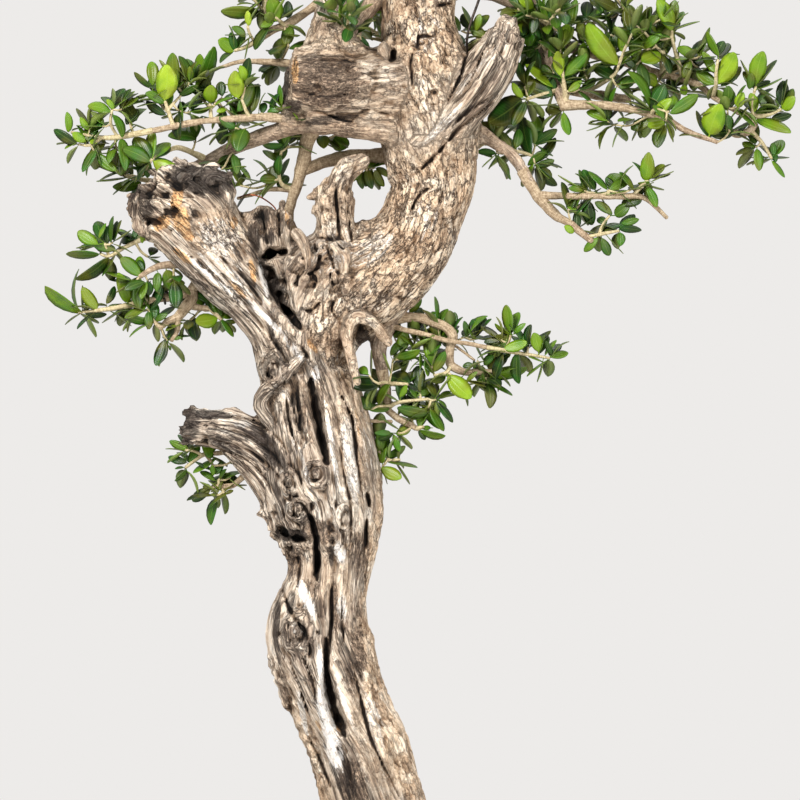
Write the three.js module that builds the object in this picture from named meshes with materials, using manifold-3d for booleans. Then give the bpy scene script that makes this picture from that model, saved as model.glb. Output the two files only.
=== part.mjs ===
// An olive bonsai in a plain stoneware tray: an old, hollowed trunk with dead limbs, living branches,
// leafy sprays, soil, pot, drain screens and wires. Millimetres, +Z up, ground at z = 0, with the
// origin under the middle of the pot. -Y is the front.
import * as THREE from 'three';
import { mergeVertices } from 'three/addons/utils/BufferGeometryUtils.js';
import Module from 'manifold-3d';

const wasm = await Module();
wasm.setup();

// ---------------------------------------------------------------- driving dimensions

const GAP = 0.35;               // clearance between neighbouring pieces
const OVERCUT = 5;              // how far a cutter reaches past what it cuts
const POT = { length: 340, depth: 250, height: 72, corner: 46, wall: 12, floor: 10, foot: 9 };
const POT_FOOT = { length: 54, width: 26, fromEnd: 72, fromSide: 42, sunk: 2 };
const FILLET = 6;               // where the pot's wall meets its floor inside
const SPLAY = 8;                // how far the wall leans out inside, from its foot to its lip
const SOIL_TOP = 74;
const SOIL_EDGE = 67;           // where the soil meets the pot's wall
const DRAIN = { radius: 9, sides: 16, x: 80, screen: 34, screenThickness: 1.6 };
const BLADE_THICKNESS = 1.5;    // at the midrib of a leaf
const STALK = 0.12;             // a leaf's stalk against its length
const LEAF_LENGTH = [17, 25];
const SLENDER = 0.42;           // width of a leaf against its length
const LEAST_WIDTH = 0.36;       // of a listed leaf against its length
const MOST_WIDTH = 0.6;
const SLANT = 1.05;             // true length of a listed leaf against its length from the front
const LEAF_CLEARANCE = 1.5;     // between a leaf and the wood
const BROAD = 10;               // a leaf wider than this has a fuller blade
const BROAD_SECTIONS = [[0.3, 0.46], [0.72, 0.38]];   // share of the length, half width as a share
const NARROW_SECTIONS = [[0.45, 0.5]];
const PAIR_SPACING = 12;        // between leaf pairs on a shoot
const PAIR_SPREAD = { out: 0.8, onward: 0.6, up: 0.15, stray: 0.5 };
const SHOOT = { first: 0.3, length: [20, 30], turn: 2.4, stray: 0.6, lift: 0.8, onward: 0.6 };
const SWINGS = [0, 0.3, -0.3, 0.6, -0.6, 0.9, -0.9];  // radians, tried in turn to clear a neighbour
const COIL_STEPS = 6;           // straight lengths in one turn of a coil

// ---------------------------------------------------------------- trunk and deadwood, [x, y, z, radius]

const TRUNK = [
  [-24, 2, 48, 40], [-25, 2, 72, 46], [-27, 1, 98, 42], [-33, 0, 125, 39], [-41, -1, 160, 37.5],
  [-46, -2, 180, 37], [-55, -3, 200, 36], [-64.5, -3, 220, 37.5], [-71, -3, 240, 39.5],
  [-75.5, -3, 260, 39], [-74.5, -3, 280, 35], [-70, -2, 300, 31], [-67, -1, 318, 32],
  [-67, 0, 335, 36.5], [-71, 0, 358, 43], [-75, 0, 380, 46], [-77, 0, 400, 45], [-79, 0, 420, 41.5],
  [-81, 0, 440, 37.5], [-85, 0, 458, 33], [-87, 0, 472, 34], [-84, 0, 490, 38], [-76, 0, 508, 42],
  [-64, 0, 526, 41], [-45, 0, 538, 34],
];
const RIGHT_LIMB = [
  [-62, 2, 514, 34], [-42, 0, 525, 36], [-24, 0, 539, 34], [-7, 0, 556, 32.5], [3, 0, 579, 31],
  [9, 0, 600, 31.5], [8, 0, 620, 35], [6, 0, 642, 38.5], [4, 0, 662, 41], [2, 0, 682, 37.5],
  [1, 2, 702, 31], [-1, 4, 720, 28.5], [-1, 6, 740, 27.5], [0, 8, 765, 25], [3, 8, 790, 21],
  [8, 6, 815, 16], [9, 2, 836, 11],
];
const FIST = [
  [-93, 0, 440, 17], [-98, -3, 458, 20], [-103, -5, 477, 21], [-112, -8, 496, 21],
  [-127, -10, 516, 21.5], [-143, -12, 536, 26], [-158, -12, 556, 30], [-173, -12, 576, 34],
  [-186, -12, 587, 30],
];
const KNUCKLE = [[-152, -10, 562, 20], [-163, -10, 590, 20]];
const BROKEN_STUB = [[-107, -4, 538, 18], [-112, -5, 556, 16.5], [-111, -5, 575, 13]];
const HOLE_STUB = [
  [-58, -14, 540, 18], [-61, -16, 565, 15], [-64, -17, 585, 14.5], [-61, -17, 600, 11],
  [-54, -16, 612, 9], [-43, -14, 618, 5],
];
const HOLE_STUB_SPUR = [[-66, -17, 590, 8], [-74, -18, 591, 5], [-82, -18, 591, 2]];
const UPPER_STEM = [
  [-58, -10, 672, 26], [-66, -8, 694, 24], [-68, -4, 712, 17], [-66, 2, 734, 12], [-64, 8, 756, 9],
];
const SAWN_STUB = [
  [-5, -4, 668, 30], [-30, -14, 671, 30], [-60, -20, 672, 29.5], [-80, -24, 674, 28.5],
  [-98, -27, 677, 25],
];
const RIGHT_JIN = [
  [4, -14, 636, 24], [24, -18, 655, 22], [42, -20, 675, 20.5], [54, -20, 692, 18],
  [61, -20, 706, 13], [65, -20, 720, 5],
];
const LOWER_JIN = [
  [-92, 0, 355, 18], [-104, -4, 376, 21], [-118, -8, 396, 21], [-136, -12, 411, 18],
  [-155, -14, 417, 14], [-174, -16, 418.5, 10.5],
];
const LOWER_SPUR = [[-100, -6, 352, 12], [-110, -7, 354, 7], [-121, -8, 353, 2.2]];
const ARM_STRAND = [
  [-119, -18, 426, 6], [-116, -24, 440, 6.5], [-109, -29, 452, 6.5], [-99, -32, 463, 6],
  [-90, -33, 468, 5],
];
const LOOP_STRAND = [
  [-24, -18, 500, 8.5], [-40, -26, 502, 8], [-53, -29, 496, 7], [-58, -29, 481, 6.5],
  [-54, -28, 466, 6], [-51, -26, 452, 6], [-47, -24, 438, 5],
];
const FRONT_KNOB = [[-16, -24, 680, 6], [-22, -28, 690, 6.5], [-27, -30, 701, 5]];
const ROOTS = [
  [[-45, -10, 104, 22], [-72, -22, 82, 14], [-94, -32, 60, 7]],
  [[-22, -26, 102, 20], [-13, -52, 80, 13], [-4, -74, 58, 6]],
  [[-2, 5, 102, 20], [24, 2, 82, 14], [46, -4, 60, 7]],
  [[-38, 26, 102, 20], [-50, 50, 80, 12], [-60, 70, 58, 6]],
  [[-8, 26, 102, 18], [10, 50, 80, 12], [20, 68, 58, 6]],
];

// Hollows in the old wood: centre, half sizes and the lean of each, in degrees about Y.
const HOLLOWS = [
  { at: [-97, -38, 526], size: [18, 26, 24], lean: -12 },    // the big dark hollow
  { at: [-71, -42, 532], size: [7, 18, 13], lean: 10 },
  { at: [-43, -24, 486], size: [8, 16, 9], lean: 0 },        // inside the loop strand
  { at: [-69, -44, 226], size: [4.5, 20, 24], lean: 16 },    // crevice low on the trunk
  { at: [-76, -46, 418], size: [3.5, 16, 28], lean: 10 },    // long slit
  { at: [-97, -42, 430], size: [6, 14, 17], lean: 12 },
  { at: [-20, -30, 695], size: [4, 24, 12], lean: -14 },     // gap beside the sawn stub
];

// ---------------------------------------------------------------- living branches, [x, y, z, radius]

const BRANCHES = [
  // left, under the sawn stub, then its upper and lower arms
  [[-18, -20, 640, 12], [-40, -28, 642, 9.5], [-62, -32, 645, 9], [-82, -32, 645.5, 8.5],
    [-98, -28, 645, 7.5]],
  [[-88, -31, 647, 5], [-110, -30, 649.5, 3.2], [-130, -28, 649.3, 2.8], [-171, -24, 645.8, 2.5],
    [-200, -22, 640, 2.4]],
  [[-92, -28, 644, 6.5], [-118, -14, 636, 6.2], [-137, 0, 629.5, 5.4], [-150, 10, 623, 5],
    [-170, 22, 614.5, 4.4], [-180, 26, 610.5, 4], [-199, 28, 603, 2.5]],
  // the thin stem that climbs behind the hole, with its two side twigs
  [[-90, 10, 552, 6], [-99, 10, 575, 4.2], [-95, 9, 592, 4.2], [-89, 6, 612, 4.4], [-85, 0, 630, 5],
    [-80, -14, 643, 6]],
  [[-90, 6, 610, 4], [-76, 10, 616, 4.6], [-58, 13, 621, 5.2], [-38, 13, 622, 6], [-14, 10, 622, 7]],
  [[-96, 9, 597, 2.6], [-112, 8, 597, 1.8], [-137, 4, 590, 1.4]],
  // left, above the sawn stub
  [[-48, -12, 680, 11], [-54, -10, 697, 8], [-56, -4, 718, 6.8], [-74, 4, 762, 6], [-84, 8, 782, 4.6]],
  [[-12, 4, 754, 11], [-30, 4, 744, 8], [-39, 2, 731, 6.4], [-48, -4, 717, 5.4], [-54, -8, 703, 5]],
  [[-66, 2, 744, 5], [-101, -2, 719, 3.3], [-121, -4, 709, 2.6]],
  [[-84, -16, 690, 4], [-103, -12, 691, 3], [-134, -12, 692, 2], [-152, -12, 687, 1]],
  // left middle, behind the fist
  [[-128, 6, 516, 9], [-150, 8, 527, 5.5], [-166, 7, 527, 4.5], [-172, 4, 520, 4.2], [-193, -3, 515, 3.2],
    [-204, -4, 512.9, 2.8]],
  [[-171, 4, 520, 4], [-172, 2, 513, 4.4], [-182, -2, 500.7, 3.4], [-189, -4, 498, 2.5]],
  [[-182, -2, 501, 3], [-182, -2, 491, 2.3], [-186.5, -2, 483, 1.6]],
  [[-174, 2, 510, 3.4], [-157, 3, 507.3, 2.3]],
  // lower left, under the jin
  [[-116, 2, 400, 6], [-130, 5, 398.5, 3.2], [-142, 6, 399.5, 2.3], [-160, 6, 398.4, 1.7]],
  [[-108, 0, 390, 6], [-120, 3, 387.5, 3.2], [-128, 3, 384.7, 2.7], [-140.5, 3, 374.6, 2.5],
    [-148, 2, 373.8, 2.5]],
  // middle right
  [[-34, 2, 515, 11], [-19, 2, 501, 5.6], [2, -2, 500, 3.9], [19, -5, 493.5, 3.6], [24.5, -5, 487, 3.6],
    [22.8, -4, 477, 3.6], [23, -4, 466, 3.6], [31, -3, 460.3, 3.4], [39, -3, 459.3, 2.9]],
  [[-32, 0, 500, 6], [-19, -2, 493.6, 3], [-9.5, -6, 490.8, 2.4], [36, -12, 481, 2], [50, -12, 478, 1.9]],
  [[-32, 0, 510, 10], [-25, 1, 493, 7], [-31, 2, 479, 6.5], [-26, 3, 450, 4.4], [-24, 1, 430, 3]],
  [[-24, 1, 431, 3], [-16.4, 0, 424.7, 2.8], [-2.6, -3, 417.3, 2.2]],
  [[-46, 2, 424, 4], [-38, 0, 423, 1.8], [-21, 0, 422.5, 1.5]],
  [[-40, 2, 391, 4], [-30, 2, 392.6, 1.7], [-20, 0, 393.6, 1.3]],
  // right, below the jin
  [[16, 4, 626, 16], [36, 2, 638, 9.5], [46, 0, 638.4, 7], [66, -4, 625, 5.6], [74.3, -5, 615, 5],
    [89.4, -8, 589.8, 4.3], [102.8, -8, 576.4, 3.6], [112.8, -8, 570.5, 3]],
  [[88, -8, 592, 3.6], [150, -12, 591.2, 2.5]],
  // right, above the jin: front arm, dead arm, back arm, upper arm
  [[2, 6, 746, 15], [26, 16, 751, 11], [50, 22, 750, 9.5], [74, 24, 740, 9], [90, 22, 722, 8],
    [96, 18, 700, 7], [100, 10, 682, 6], [109, 0, 659, 4]],
  [[106, 1, 660, 4], [139.6, -8, 659.3, 3.3], [156, -10, 656.8, 3], [186.5, -10, 648.4, 2.4]],
  [[98, 14, 690, 5], [106, 16, 675, 4.4], [140, 16, 667, 4], [158, 14, 665, 3.2]],
  [[92, 20, 714, 6], [112, 26, 705, 5], [138, 28, 698, 4.2], [165, 26, 690, 3.6], [181, 22, 684, 3.2],
    [198, 16, 680, 2.9], [210, 14, 675.2, 2.7], [240, 8, 654.3, 2.3]],
  [[48, 22, 750, 8], [84, 30, 762, 6], [134, 32, 772, 3.4]],
  // towards the back, lower down
  [[-74, 24, 500, 14], [-88, 44, 514, 7]],
  [[6, 22, 596, 13], [18, 44, 612, 7]],
  [[-2, 24, 690, 12], [-11, 44, 701, 7]],
  // crown
  [[0, 8, 768, 14], [-30, 14, 788, 8], [-46, 15, 796, 6.4]],
  [[3, 8, 780, 13], [36, 14, 795, 8], [50, 15, 800, 6.4]],
  [[4, 6, 800, 10], [-5, -20, 816, 6.8]],
  [[6, 6, 806, 10], [14, 28, 820, 6.6]],
];

// ---------------------------------------------------------------- leafy sprays
//
// twig: the points its stem runs through, [x, y, z, radius], from inside the branch that bears it.
// sides: shoots that leave the stem. leaves: [base x, base z, tip x, tip z, width seen from the
// front, lean], where lean, if given, is how far the tip comes forward (-) or goes back (+).
// shoots: how many leafy shoots grow on by the rule in shootsAlong, past the leaves that are listed.

const SPRAYS = {
  left_tip: {
    twig: [[-200, -22, 640, 2.4], [-228, -20, 635, 2], [-241, -18, 635.4, 1.6], [-261, -16, 639, 1]],
    sides: [[[-226, -20, 635.2, 1.4], [-231, -24, 645, 1.2], [-230, -26, 656, 1]],
      [[-238, -18, 635, 1.4], [-247, -20, 629, 1.1], [-255, -20, 630, 1]],
      [[-214, -21, 636.8, 1.3], [-217, -14, 646, 1]]],
    leaves: [[-212.5, 648.3, -225.4, 665.1, 9], [-220.3, 645, -210.6, 656, 8.5],
      [-230.6, 653.5, -248, 658, 8], [-262.9, 639.3, -264.2, 653.5, 5.5], [-257, 630.2, -273.9, 640.6, 6],
      [-250, 631.5, -260.3, 638, 7], [-248, 640.6, -253.9, 649.6, 5.5], [-241.6, 627, -251.9, 608.9, 7],
      [-241, 621.8, -227.4, 609.6, 8], [-222.9, 633.5, -219.6, 609.6, 8]],
  },
  left_high: {
    twig: [[-184, -23, 642.5, 1.8], [-190.6, -24, 662, 1.2]],
    sides: [[[-187, -24, 652, 1.2], [-194, -18, 660, 1.1], [-200, -16, 668, 1]],
      [[-188, -24, 656, 1.2], [-181, -20, 664, 1.1], [-176, -18, 669, 1]]],
    leaves: [[-190.6, 663.2, -189.3, 689, 15, -8], [-199.6, 674.2, -200.9, 692.2, 8.5],
      [-181.5, 674.2, -184.7, 698, 9.5], [-175.7, 669, -177, 687, 6.5, 8],
      [-191.2, 661.2, -204.8, 667.7, 8], [-190, 651.6, -204.8, 662.5, 5.5, 9],
      [-178.3, 653.5, -177.9, 662.5, 6.5]],
  },
  left_inner: {
    twig: [[-156, -26, 647.6, 1.7], [-157, -18, 661, 1.1]],
    sides: [[[-156, -22, 655, 1.2], [-162, -12, 663, 1.1], [-167, -8, 668, 1]],
      [[-156, -20, 657, 1.2], [-149, -18, 664, 1]]],
    leaves: [[-156.3, 661.2, -155.7, 674.2, 10, -6], [-166.7, 667, -154.4, 702.6, 8.5],
      [-162, 667.7, -157.6, 680, 8], [-166, 678, -165.4, 690.3, 6.5, 8],
      [-147.9, 666.4, -149.2, 677.4, 7, 6], [-138.2, 665, -153, 658.7, 5]],
  },
  left_stub: {
    twig: [[-127, -28, 649.3, 1.6], [-130, -32, 655, 1.3], [-133, -34, 663, 1]],
    leaves: [[-129.8, 668, -133.7, 688.4, 6.5, 6], [-135.7, 663.8, -137.6, 683.9, 11.5, -8],
      [-133, 656, -124.7, 674.8, 8], [-126, 653.5, -120.8, 675.4, 7.5, 6], [-137, 650, -149.9, 648.6, 8]],
  },
  left_low: {
    twig: [[-160, 16, 619, 2.8], [-170, 10, 624, 2.3], [-181, 0, 628, 2], [-192, -10, 624, 1.6],
      [-201, -20, 618, 1.2]],
    leaves: [[-202.2, 617.3, -221.6, 626.4, 11, -4], [-202.2, 618, -214.5, 635.4, 12, 8],
      [-200.9, 618, -199.6, 640.6, 8, -8], [-198.6, 619.5, -178.3, 610.3, 9, 2],
      [-199, 616.7, -179.2, 603, 12, -22], [-201.5, 616, -203.5, 604, 5.5, -4],
      [-170, 634, -188.6, 637.7, 8, 12]],
  },
  left_end: {
    twig: [[-199, 28, 603, 2.4], [-219, 16, 606.5, 1.4], [-227, 12, 609.5, 1]],
    leaves: [[-219.6, 605.7, -242.9, 603, 5, 6], [-210, 602.5, -231.3, 597.6, 6.5],
      [-226.7, 610, -229, 624.5, 5], [-210, 606, -212.5, 619.3, 5, 8]],
    shoots: 1,
  },
  left_under: {
    twig: [[-136, 0, 630, 1.8], [-132, -16, 636, 1.4], [-131, -26, 641, 1.1]],
    leaves: [[-131.1, 641.2, -135.7, 624.4, 13, -5], [-142.8, 641, -149, 630, 8],
      [-124, 640, -110, 634, 7]],
  },
  left_hang: {
    twig: [[-96, 9, 597, 2], [-104, 4, 601, 1.5], [-106, 0, 612, 1.2], [-104, -4, 625, 1]],
    leaves: [[-104, 614, -118, 625.7, 6], [-106.6, 604.4, -120.2, 604.4, 8], [-105, 601, -98.8, 609, 8, -6],
      [-104, 628, -118.5, 631.5, 5], [-104, 617, -95, 627, 7, -8]],
  },
  top_left_tip: {
    twig: [[-121, -4, 709, 2.4], [-130, -5, 703.5, 1.7], [-139, -6, 700.5, 1.2]],
    sides: [[[-124, -4, 707, 1.3], [-128, -8, 714, 1.1], [-129, -10, 719, 1]]],
    leaves: [[-128.5, 719.4, -129.2, 731, 5], [-139.5, 700, -151.2, 708.4, 10, -5],
      [-137.6, 701.3, -142.1, 714.2, 6, 5], [-131, 711, -141, 718, 6], [-132, 701, -126, 690, 6]],
  },
  top_left_base: {
    twig: [[-101, -2, 719, 1.9], [-108, -13, 725, 1]],
    leaves: [[-106.6, 722, -112.4, 741.5, 12, -5], [-109.8, 723, -120, 717, 6],
      [-99, 719.4, -104.6, 703.2, 9, -8], [-101, 722, -95, 738, 8, 5]],
  },
  top_left_rise: {
    twig: [[-118, -3, 711, 2.6], [-116, -2, 739, 1.9], [-108, 2, 770, 1.2]],
    leaves: [[-119, 729.7, -149, 729.5, 6.5, -6], [-115, 738, -102, 748, 7]],
    shoots: 3,
  },
  left_mid_upper: {
    twig: [[-180, -8, 570, 2.4], [-215.5, -12, 555.8, 1.7], [-232, -14, 546.5, 1.4], [-239, -15, 548, 1]],
    sides: [[[-213, -12, 556.5, 1.3], [-209, -8, 550, 1.1], [-204, -6, 546, 1]],
      [[-233, -14, 547, 1.2], [-236, -17, 556, 1]]],
    leaves: [[-240.8, 552.7, -255.7, 565.2, 9.5, -4], [-230, 550.5, -244.5, 552.8, 6.5, 5],
      [-234.2, 555.8, -232, 570, 5.5, 4], [-215.4, 557.5, -223.5, 559, 6.5, 4],
      [-214.9, 559, -209.4, 570.6, 5], [-203, 546, -199, 554, 7], [-236, 545.4, -257.8, 529.4, 5.5, -6]],
  },
  left_mid_stub: {
    twig: [[-160, -8, 541, 4], [-193.4, -12, 539.3, 2.6], [-210, -14, 531, 2]],
    leaves: [[-209.4, 531.6, -224.3, 545.4, 10, -5], [-205.5, 530.2, -221, 522.1, 7, -5],
      [-190, 536.5, -184, 521, 10, -7], [-195.6, 533.8, -196.7, 519.5, 7, -9],
      [-202.8, 531, -204.8, 518.8, 6, -7], [-206.6, 537, -213, 545.6, 6, 8]],
  },
  left_mid_tip: {
    twig: [[-204, -4, 512.9, 2.8], [-226.5, -5, 508, 2], [-256, -4, 504.2, 1]],
    leaves: [[-219.3, 511.7, -225.9, 534.3, 9.5, 4], [-217, 510.6, -225.8, 519.5, 5, -8],
      [-234.7, 509.6, -228.6, 523.9, 5, 7], [-242.5, 506.8, -253.4, 522.8, 9, -4],
      [-253, 504, -281, 523.6, 5.5], [-208, 510.5, -221, 501.2, 7, -7]],
  },
  left_mid_drop: {
    twig: [[-189, -4, 498, 2.5], [-194.5, -5, 493.5, 2], [-199, -7, 497.5, 1.4]],
    leaves: [[-199.4, 498.5, -198.6, 510.5, 8, -10], [-201, 497.8, -219.8, 498.7, 5, 4],
      [-197.8, 498, -188, 504.5, 5, -8]],
  },
  left_mid_inner: {
    twig: [[-157, 3, 507.3, 2.2], [-149, -1, 499, 1.3]],
    leaves: [[-152, 499.6, -167.5, 496.8, 11.5, -5], [-150.3, 501.8, -156, 518.4, 8.5, 8],
      [-148.7, 499, -139.9, 485.8, 5.5], [-154, 504.5, -167, 515, 7, -10]],
  },
  low_left_tip: {
    twig: [[-160, 6, 398.4, 1.8], [-164.6, 5, 396.7, 1.6], [-176, 3, 388, 1.1]],
    sides: [[[-163, 5, 397.3, 1.3], [-170, 2, 400.5, 1.1], [-176, 0, 401, 1]],
      [[-161, 6, 398, 1.3], [-156, 2, 391, 1.1], [-154, 1, 385, 1]]],
    leaves: [[-173.5, 401.6, -188.2, 408.5, 5.5], [-174.7, 391.6, -188.8, 396.2, 5.5],
      [-172.7, 391.6, -166.8, 403.9, 6.5, 6], [-153.4, 395, -170.1, 382.5, 6, -6],
      [-153, 384.7, -147.7, 394.3, 5.5], [-174.7, 386.4, -183.6, 377.8, 5]],
  },
  low_left_fork: {
    twig: [[-148, 2, 373.8, 2.5], [-155.5, 2, 373.2, 2.3]],
    sides: [[[-151, 2, 373.8, 1.3], [-151, 0, 379, 1.1]], [[-149.5, 2, 373.8, 1.3], [-147, -3, 369, 1]]],
    leaves: [[-154.3, 378.4, -165.6, 384.7, 5], [-150, 379.5, -141.1, 386, 5],
      [-156.6, 372, -171, 362.9, 8, -5], [-146, 368.2, -158.3, 357.5, 5, -6]],
  },
  shoot_tip: {
    twig: [[50, -12, 478, 1.9], [97, -12, 470.1, 1]],
    sides: [[[64, -12, 476, 1.3], [68, -9, 487, 1]]],
    leaves: [[72.6, 473.5, 73.7, 451.1, 7.5, -4], [64.4, 478, 80, 483.2, 8.5, -9],
      [80.6, 474, 79.4, 490, 6, 6], [89.2, 472.7, 85.2, 488.8, 8.5, -5], [69.7, 488.5, 79.4, 497, 5],
      [96.7, 470.7, 110.8, 473.5, 6], [61, 480, 48.4, 482.6, 5, 7]],
  },
  knee: {
    twig: [[39, -3, 459.3, 2.8], [55, -2, 460.5, 1.5]],
    sides: [[[46, -2, 460, 1.4], [43, -8, 468, 1]]],
    leaves: [[50.2, 457.4, 69.1, 442.5, 5.5, -5], [51.7, 459.2, 60.9, 453.6, 5, 5],
      [53.6, 460.3, 69.7, 463.8, 5], [51.3, 462, 65.7, 473, 8, -6], [43.3, 468.5, 34, 462, 5, -6]],
  },
  elbow: {
    twig: [[23, -4, 466, 1.9], [20, -7, 459.5, 1.5], [11, -7, 457, 1.1]],
    leaves: [[20.9, 456.9, 37.5, 439.7, 13.5, -6], [10, 460.3, 19.2, 475.3, 7, 5],
      [9.8, 455.3, 18.6, 446.9, 6.5], [10, 458, -4, 463, 5, 6]],
  },
  inner_right: {
    twig: [[-26, 3, 450, 2.2], [-19, -4, 451, 1.6], [-9, -8, 450.5, 1.2]],
    sides: [[[-21, -2, 451, 1.4], [-27, -14, 452, 1.2], [-31, -24, 451, 1]]],
    leaves: [[-7.8, 451.1, -22.7, 456.7, 13, -6], [-31.2, 450, -53.2, 452.3, 11.5, -6],
      [-24.2, 449.4, -35.9, 464, 8, -8], [-11, 448.5, -2, 441, 5]],
  },
  inner_low: {
    twig: [[-24, 1, 433, 2], [-16, -5, 437, 1.5], [6, -8, 439.5, 1]],
    sides: [[[-20, -2, 434.6, 1.3], [-32, -8, 434, 1]]],
    leaves: [[4.5, 435.3, -17, 431.4, 7, -7], [-30.4, 431.6, -22.7, 422.2, 6.5, -5],
      [-33, 431.6, -45, 440.8, 8, -16], [-32.2, 436, -33.3, 445, 6.5, -6], [9, 440.2, 22.6, 445.4, 5],
      [-2, 442, 8.8, 448.7, 5]],
  },
  low_right: {
    twig: [[-2.6, -3, 417.3, 2.1], [3, -5, 418.8, 1]],
    leaves: [[1, 419.8, -2.2, 430, 5.5, 8], [2.5, 418.4, 18.6, 412, 5], [0.1, 416, 4.2, 406.2, 5, -5],
      [1, 420, 9, 427.6, 5, -7]],
  },
  bottom_right: {
    twig: [[-20, 0, 393.6, 1.4], [-15, -2, 394, 1]],
    leaves: [[-18, 395.5, -8.3, 404, 5, 5], [-16.5, 393, 2.5, 388, 5.5],
      [-17.8, 391, -10.1, 378.5, 9.5, -6]],
  },
  right_low_root: {
    twig: [[66, -4, 625, 1.9], [75, 6, 625, 1.5], [85, 12, 622, 1.2]],
    leaves: [[82.7, 622, 76.8, 648.8, 10, -4], [86.9, 625.7, 102.8, 642.5, 7, 4], [88, 621, 103, 630, 8, 8],
      [87.7, 616, 103, 602.4, 5.5], [87, 620, 101, 616, 5, -8], [73, 628, 64, 640, 7, 12]],
  },
  bar: {
    twig: [[141, -12, 591.2, 1.7], [141, -15, 595.5, 1.2]],
    leaves: [[140.5, 596.6, 126.5, 609.9, 6, -4], [141.8, 595.8, 156.5, 601.5, 7, -4]],
  },
  bar_end: {
    twig: [[150, -12, 591.2, 2.5], [168, -12, 590, 1.9], [185, -12, 575, 1.5]],
    sides: [[[159, -12, 591.5, 1.7], [167, -12, 600, 1.4], [171, -13, 604, 1]]],
    leaves: [[168.9, 603.2, 170.6, 624, 10, -4], [166, 602, 157.9, 616.6, 5, 6],
      [173, 604.9, 184.2, 615.6, 6], [169.8, 590.2, 179.3, 598, 6, -10], [165.6, 589, 151, 583, 9.5, -6],
      [161, 596.5, 148.8, 609, 5.5, -6]],
  },
  right_low_tip: {
    twig: [[112.8, -8, 570.5, 3], [129, -8, 557.5, 2.3]],
    sides: [[[126, -8, 561, 1.6], [139.6, -9, 563.8, 1.3], [149, -9, 565.5, 1]],
      [[134, -8.5, 562.6, 1.3], [137, -6, 570, 1.1], [142, -5, 577, 1]]],
    leaves: [[126.7, 565, 123.4, 583.4, 9.5, -5], [117, 567.5, 115, 580.7, 6, 5],
      [142.8, 578, 131.3, 587, 6], [145, 577, 158, 583, 9], [149.3, 566.4, 163.9, 573.9, 5],
      [150, 565, 151, 553.5, 6.5], [136.3, 562.6, 141.6, 547, 7, -4], [129, 556.6, 119.9, 548.4, 6]],
  },
  jin_side: {
    twig: [[104, 6, 672, 1.9], [80, -12, 664, 1.1]],
    leaves: [[77, 662.5, 52.5, 646.5, 18, -8], [79.8, 665.2, 70.3, 677, 5.5],
      [92.3, 669.4, 79.3, 689.3, 9, -5], [80.5, 666.2, 98.6, 664.5, 10, -10]],
  },
  right_rise: {
    twig: [[110, 0, 658.5, 2.4], [107.5, -5, 679, 1.3]],
    leaves: [[106.3, 681.9, 102.8, 700, 8, -4], [108.6, 681.9, 124.6, 697.8, 9, 4],
      [109.1, 670.2, 121.2, 677.7, 5.5, -6]],
  },
  right_heart: {
    twig: [[123, 16, 670, 2], [136, 6, 676, 1.6], [146, -2, 683, 1.3], [149, -6, 690, 1]],
    leaves: [[148, 690.3, 124.6, 719.6, 14, -6], [146, 684, 130, 690, 9, 5], [148, 683, 160, 673, 8],
      [134, 675, 121, 682, 7, -5], [150, 690, 156, 706, 7]],
  },
  right_front: {
    twig: [[173, -10, 652.6, 1.8], [176, -17, 656, 1.4], [186, -19, 654, 1]],
    leaves: [[172.5, 656, 155.7, 684.4, 9, -5], [177.1, 658.8, 185.2, 677.2, 11, 5],
      [187.4, 653.4, 207.5, 666.8, 7.5], [181.3, 654.8, 190.2, 666.5, 8, -8], [180, 653, 168, 645, 8, -6]],
  },
  right_front_tip: {
    twig: [[186.5, -10, 648.4, 2.4], [200, -8, 640, 2.2], [223, -5, 632, 1.7]],
    leaves: [[216.7, 637.5, 225, 660, 15, -6], [219.5, 635.7, 236, 640, 10, 6], [200, 642, 197, 655, 7],
      [206, 637, 200, 626, 6]],
  },
  right_back: {
    twig: [[220, 12, 667, 1.9], [222, 4, 674, 1.5], [222, 0, 684, 1.2], [223.5, -2, 694, 1]],
    leaves: [[222.5, 676, 235.9, 698.6, 13, -6], [220.7, 677, 208.3, 687, 9, -4],
      [223.9, 677.4, 241, 690.6, 8, 8], [220.9, 686.3, 211.6, 699.5, 6], [223.2, 695, 215, 712.4, 5],
      [223.9, 695, 228.6, 707.9, 7, 5]],
  },
  right_end: {
    twig: [[240, 8, 654.3, 2.3], [252, 6, 651.8, 1.9], [262, 4, 653, 1.4], [271, 2, 657, 1.1]],
    sides: [[[250, 6, 652, 1.5], [249, 3, 662, 1.2], [252, 1, 674, 1]],
      [[251, 6, 652, 2], [248.5, 6, 642, 1.9], [257, 6, 631.7, 1.5], [264, 6, 620, 1]]],
    leaves: [[251.9, 676, 256.9, 699.5, 11, -4], [254.4, 673.9, 267.8, 690.6, 5.5, 5],
      [247.8, 669.9, 244.7, 683.6, 6, 5], [249, 655, 242.7, 667.3, 7.5, -5],
      [256.9, 653.8, 267.5, 666, 7, -6], [256.9, 651.3, 278.8, 640.2, 9, -5],
      [272.5, 657.8, 281.5, 668.8, 8], [272.3, 656, 281.3, 652.6, 6, 6], [264.6, 618.3, 272.7, 605.7, 5],
      [261, 625.3, 268.3, 633.7, 5]],
  },
  right_mid: {
    twig: [[181, 22, 684, 2], [184, 12, 690, 1.6], [183, 6, 698, 1.3], [177, 2, 704, 1]],
    leaves: [[184, 688, 168, 683, 8, -6], [184.5, 691, 195, 701, 10, -5], [181, 699, 166, 695, 10, -5],
      [178, 703.8, 186.7, 714.9, 7], [185, 691, 201, 688, 8, 6], [174.8, 705, 163, 712, 8]],
  },
  right_top: {
    twig: [[165, 26, 690, 2], [165, 14, 703, 1.6], [163, 6, 713, 1.3], [157.5, 0, 722, 1]],
    leaves: [[157.2, 723, 156.4, 737.3, 11, -4], [161, 718, 172, 731, 6], [163, 709, 150, 716, 7],
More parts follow.
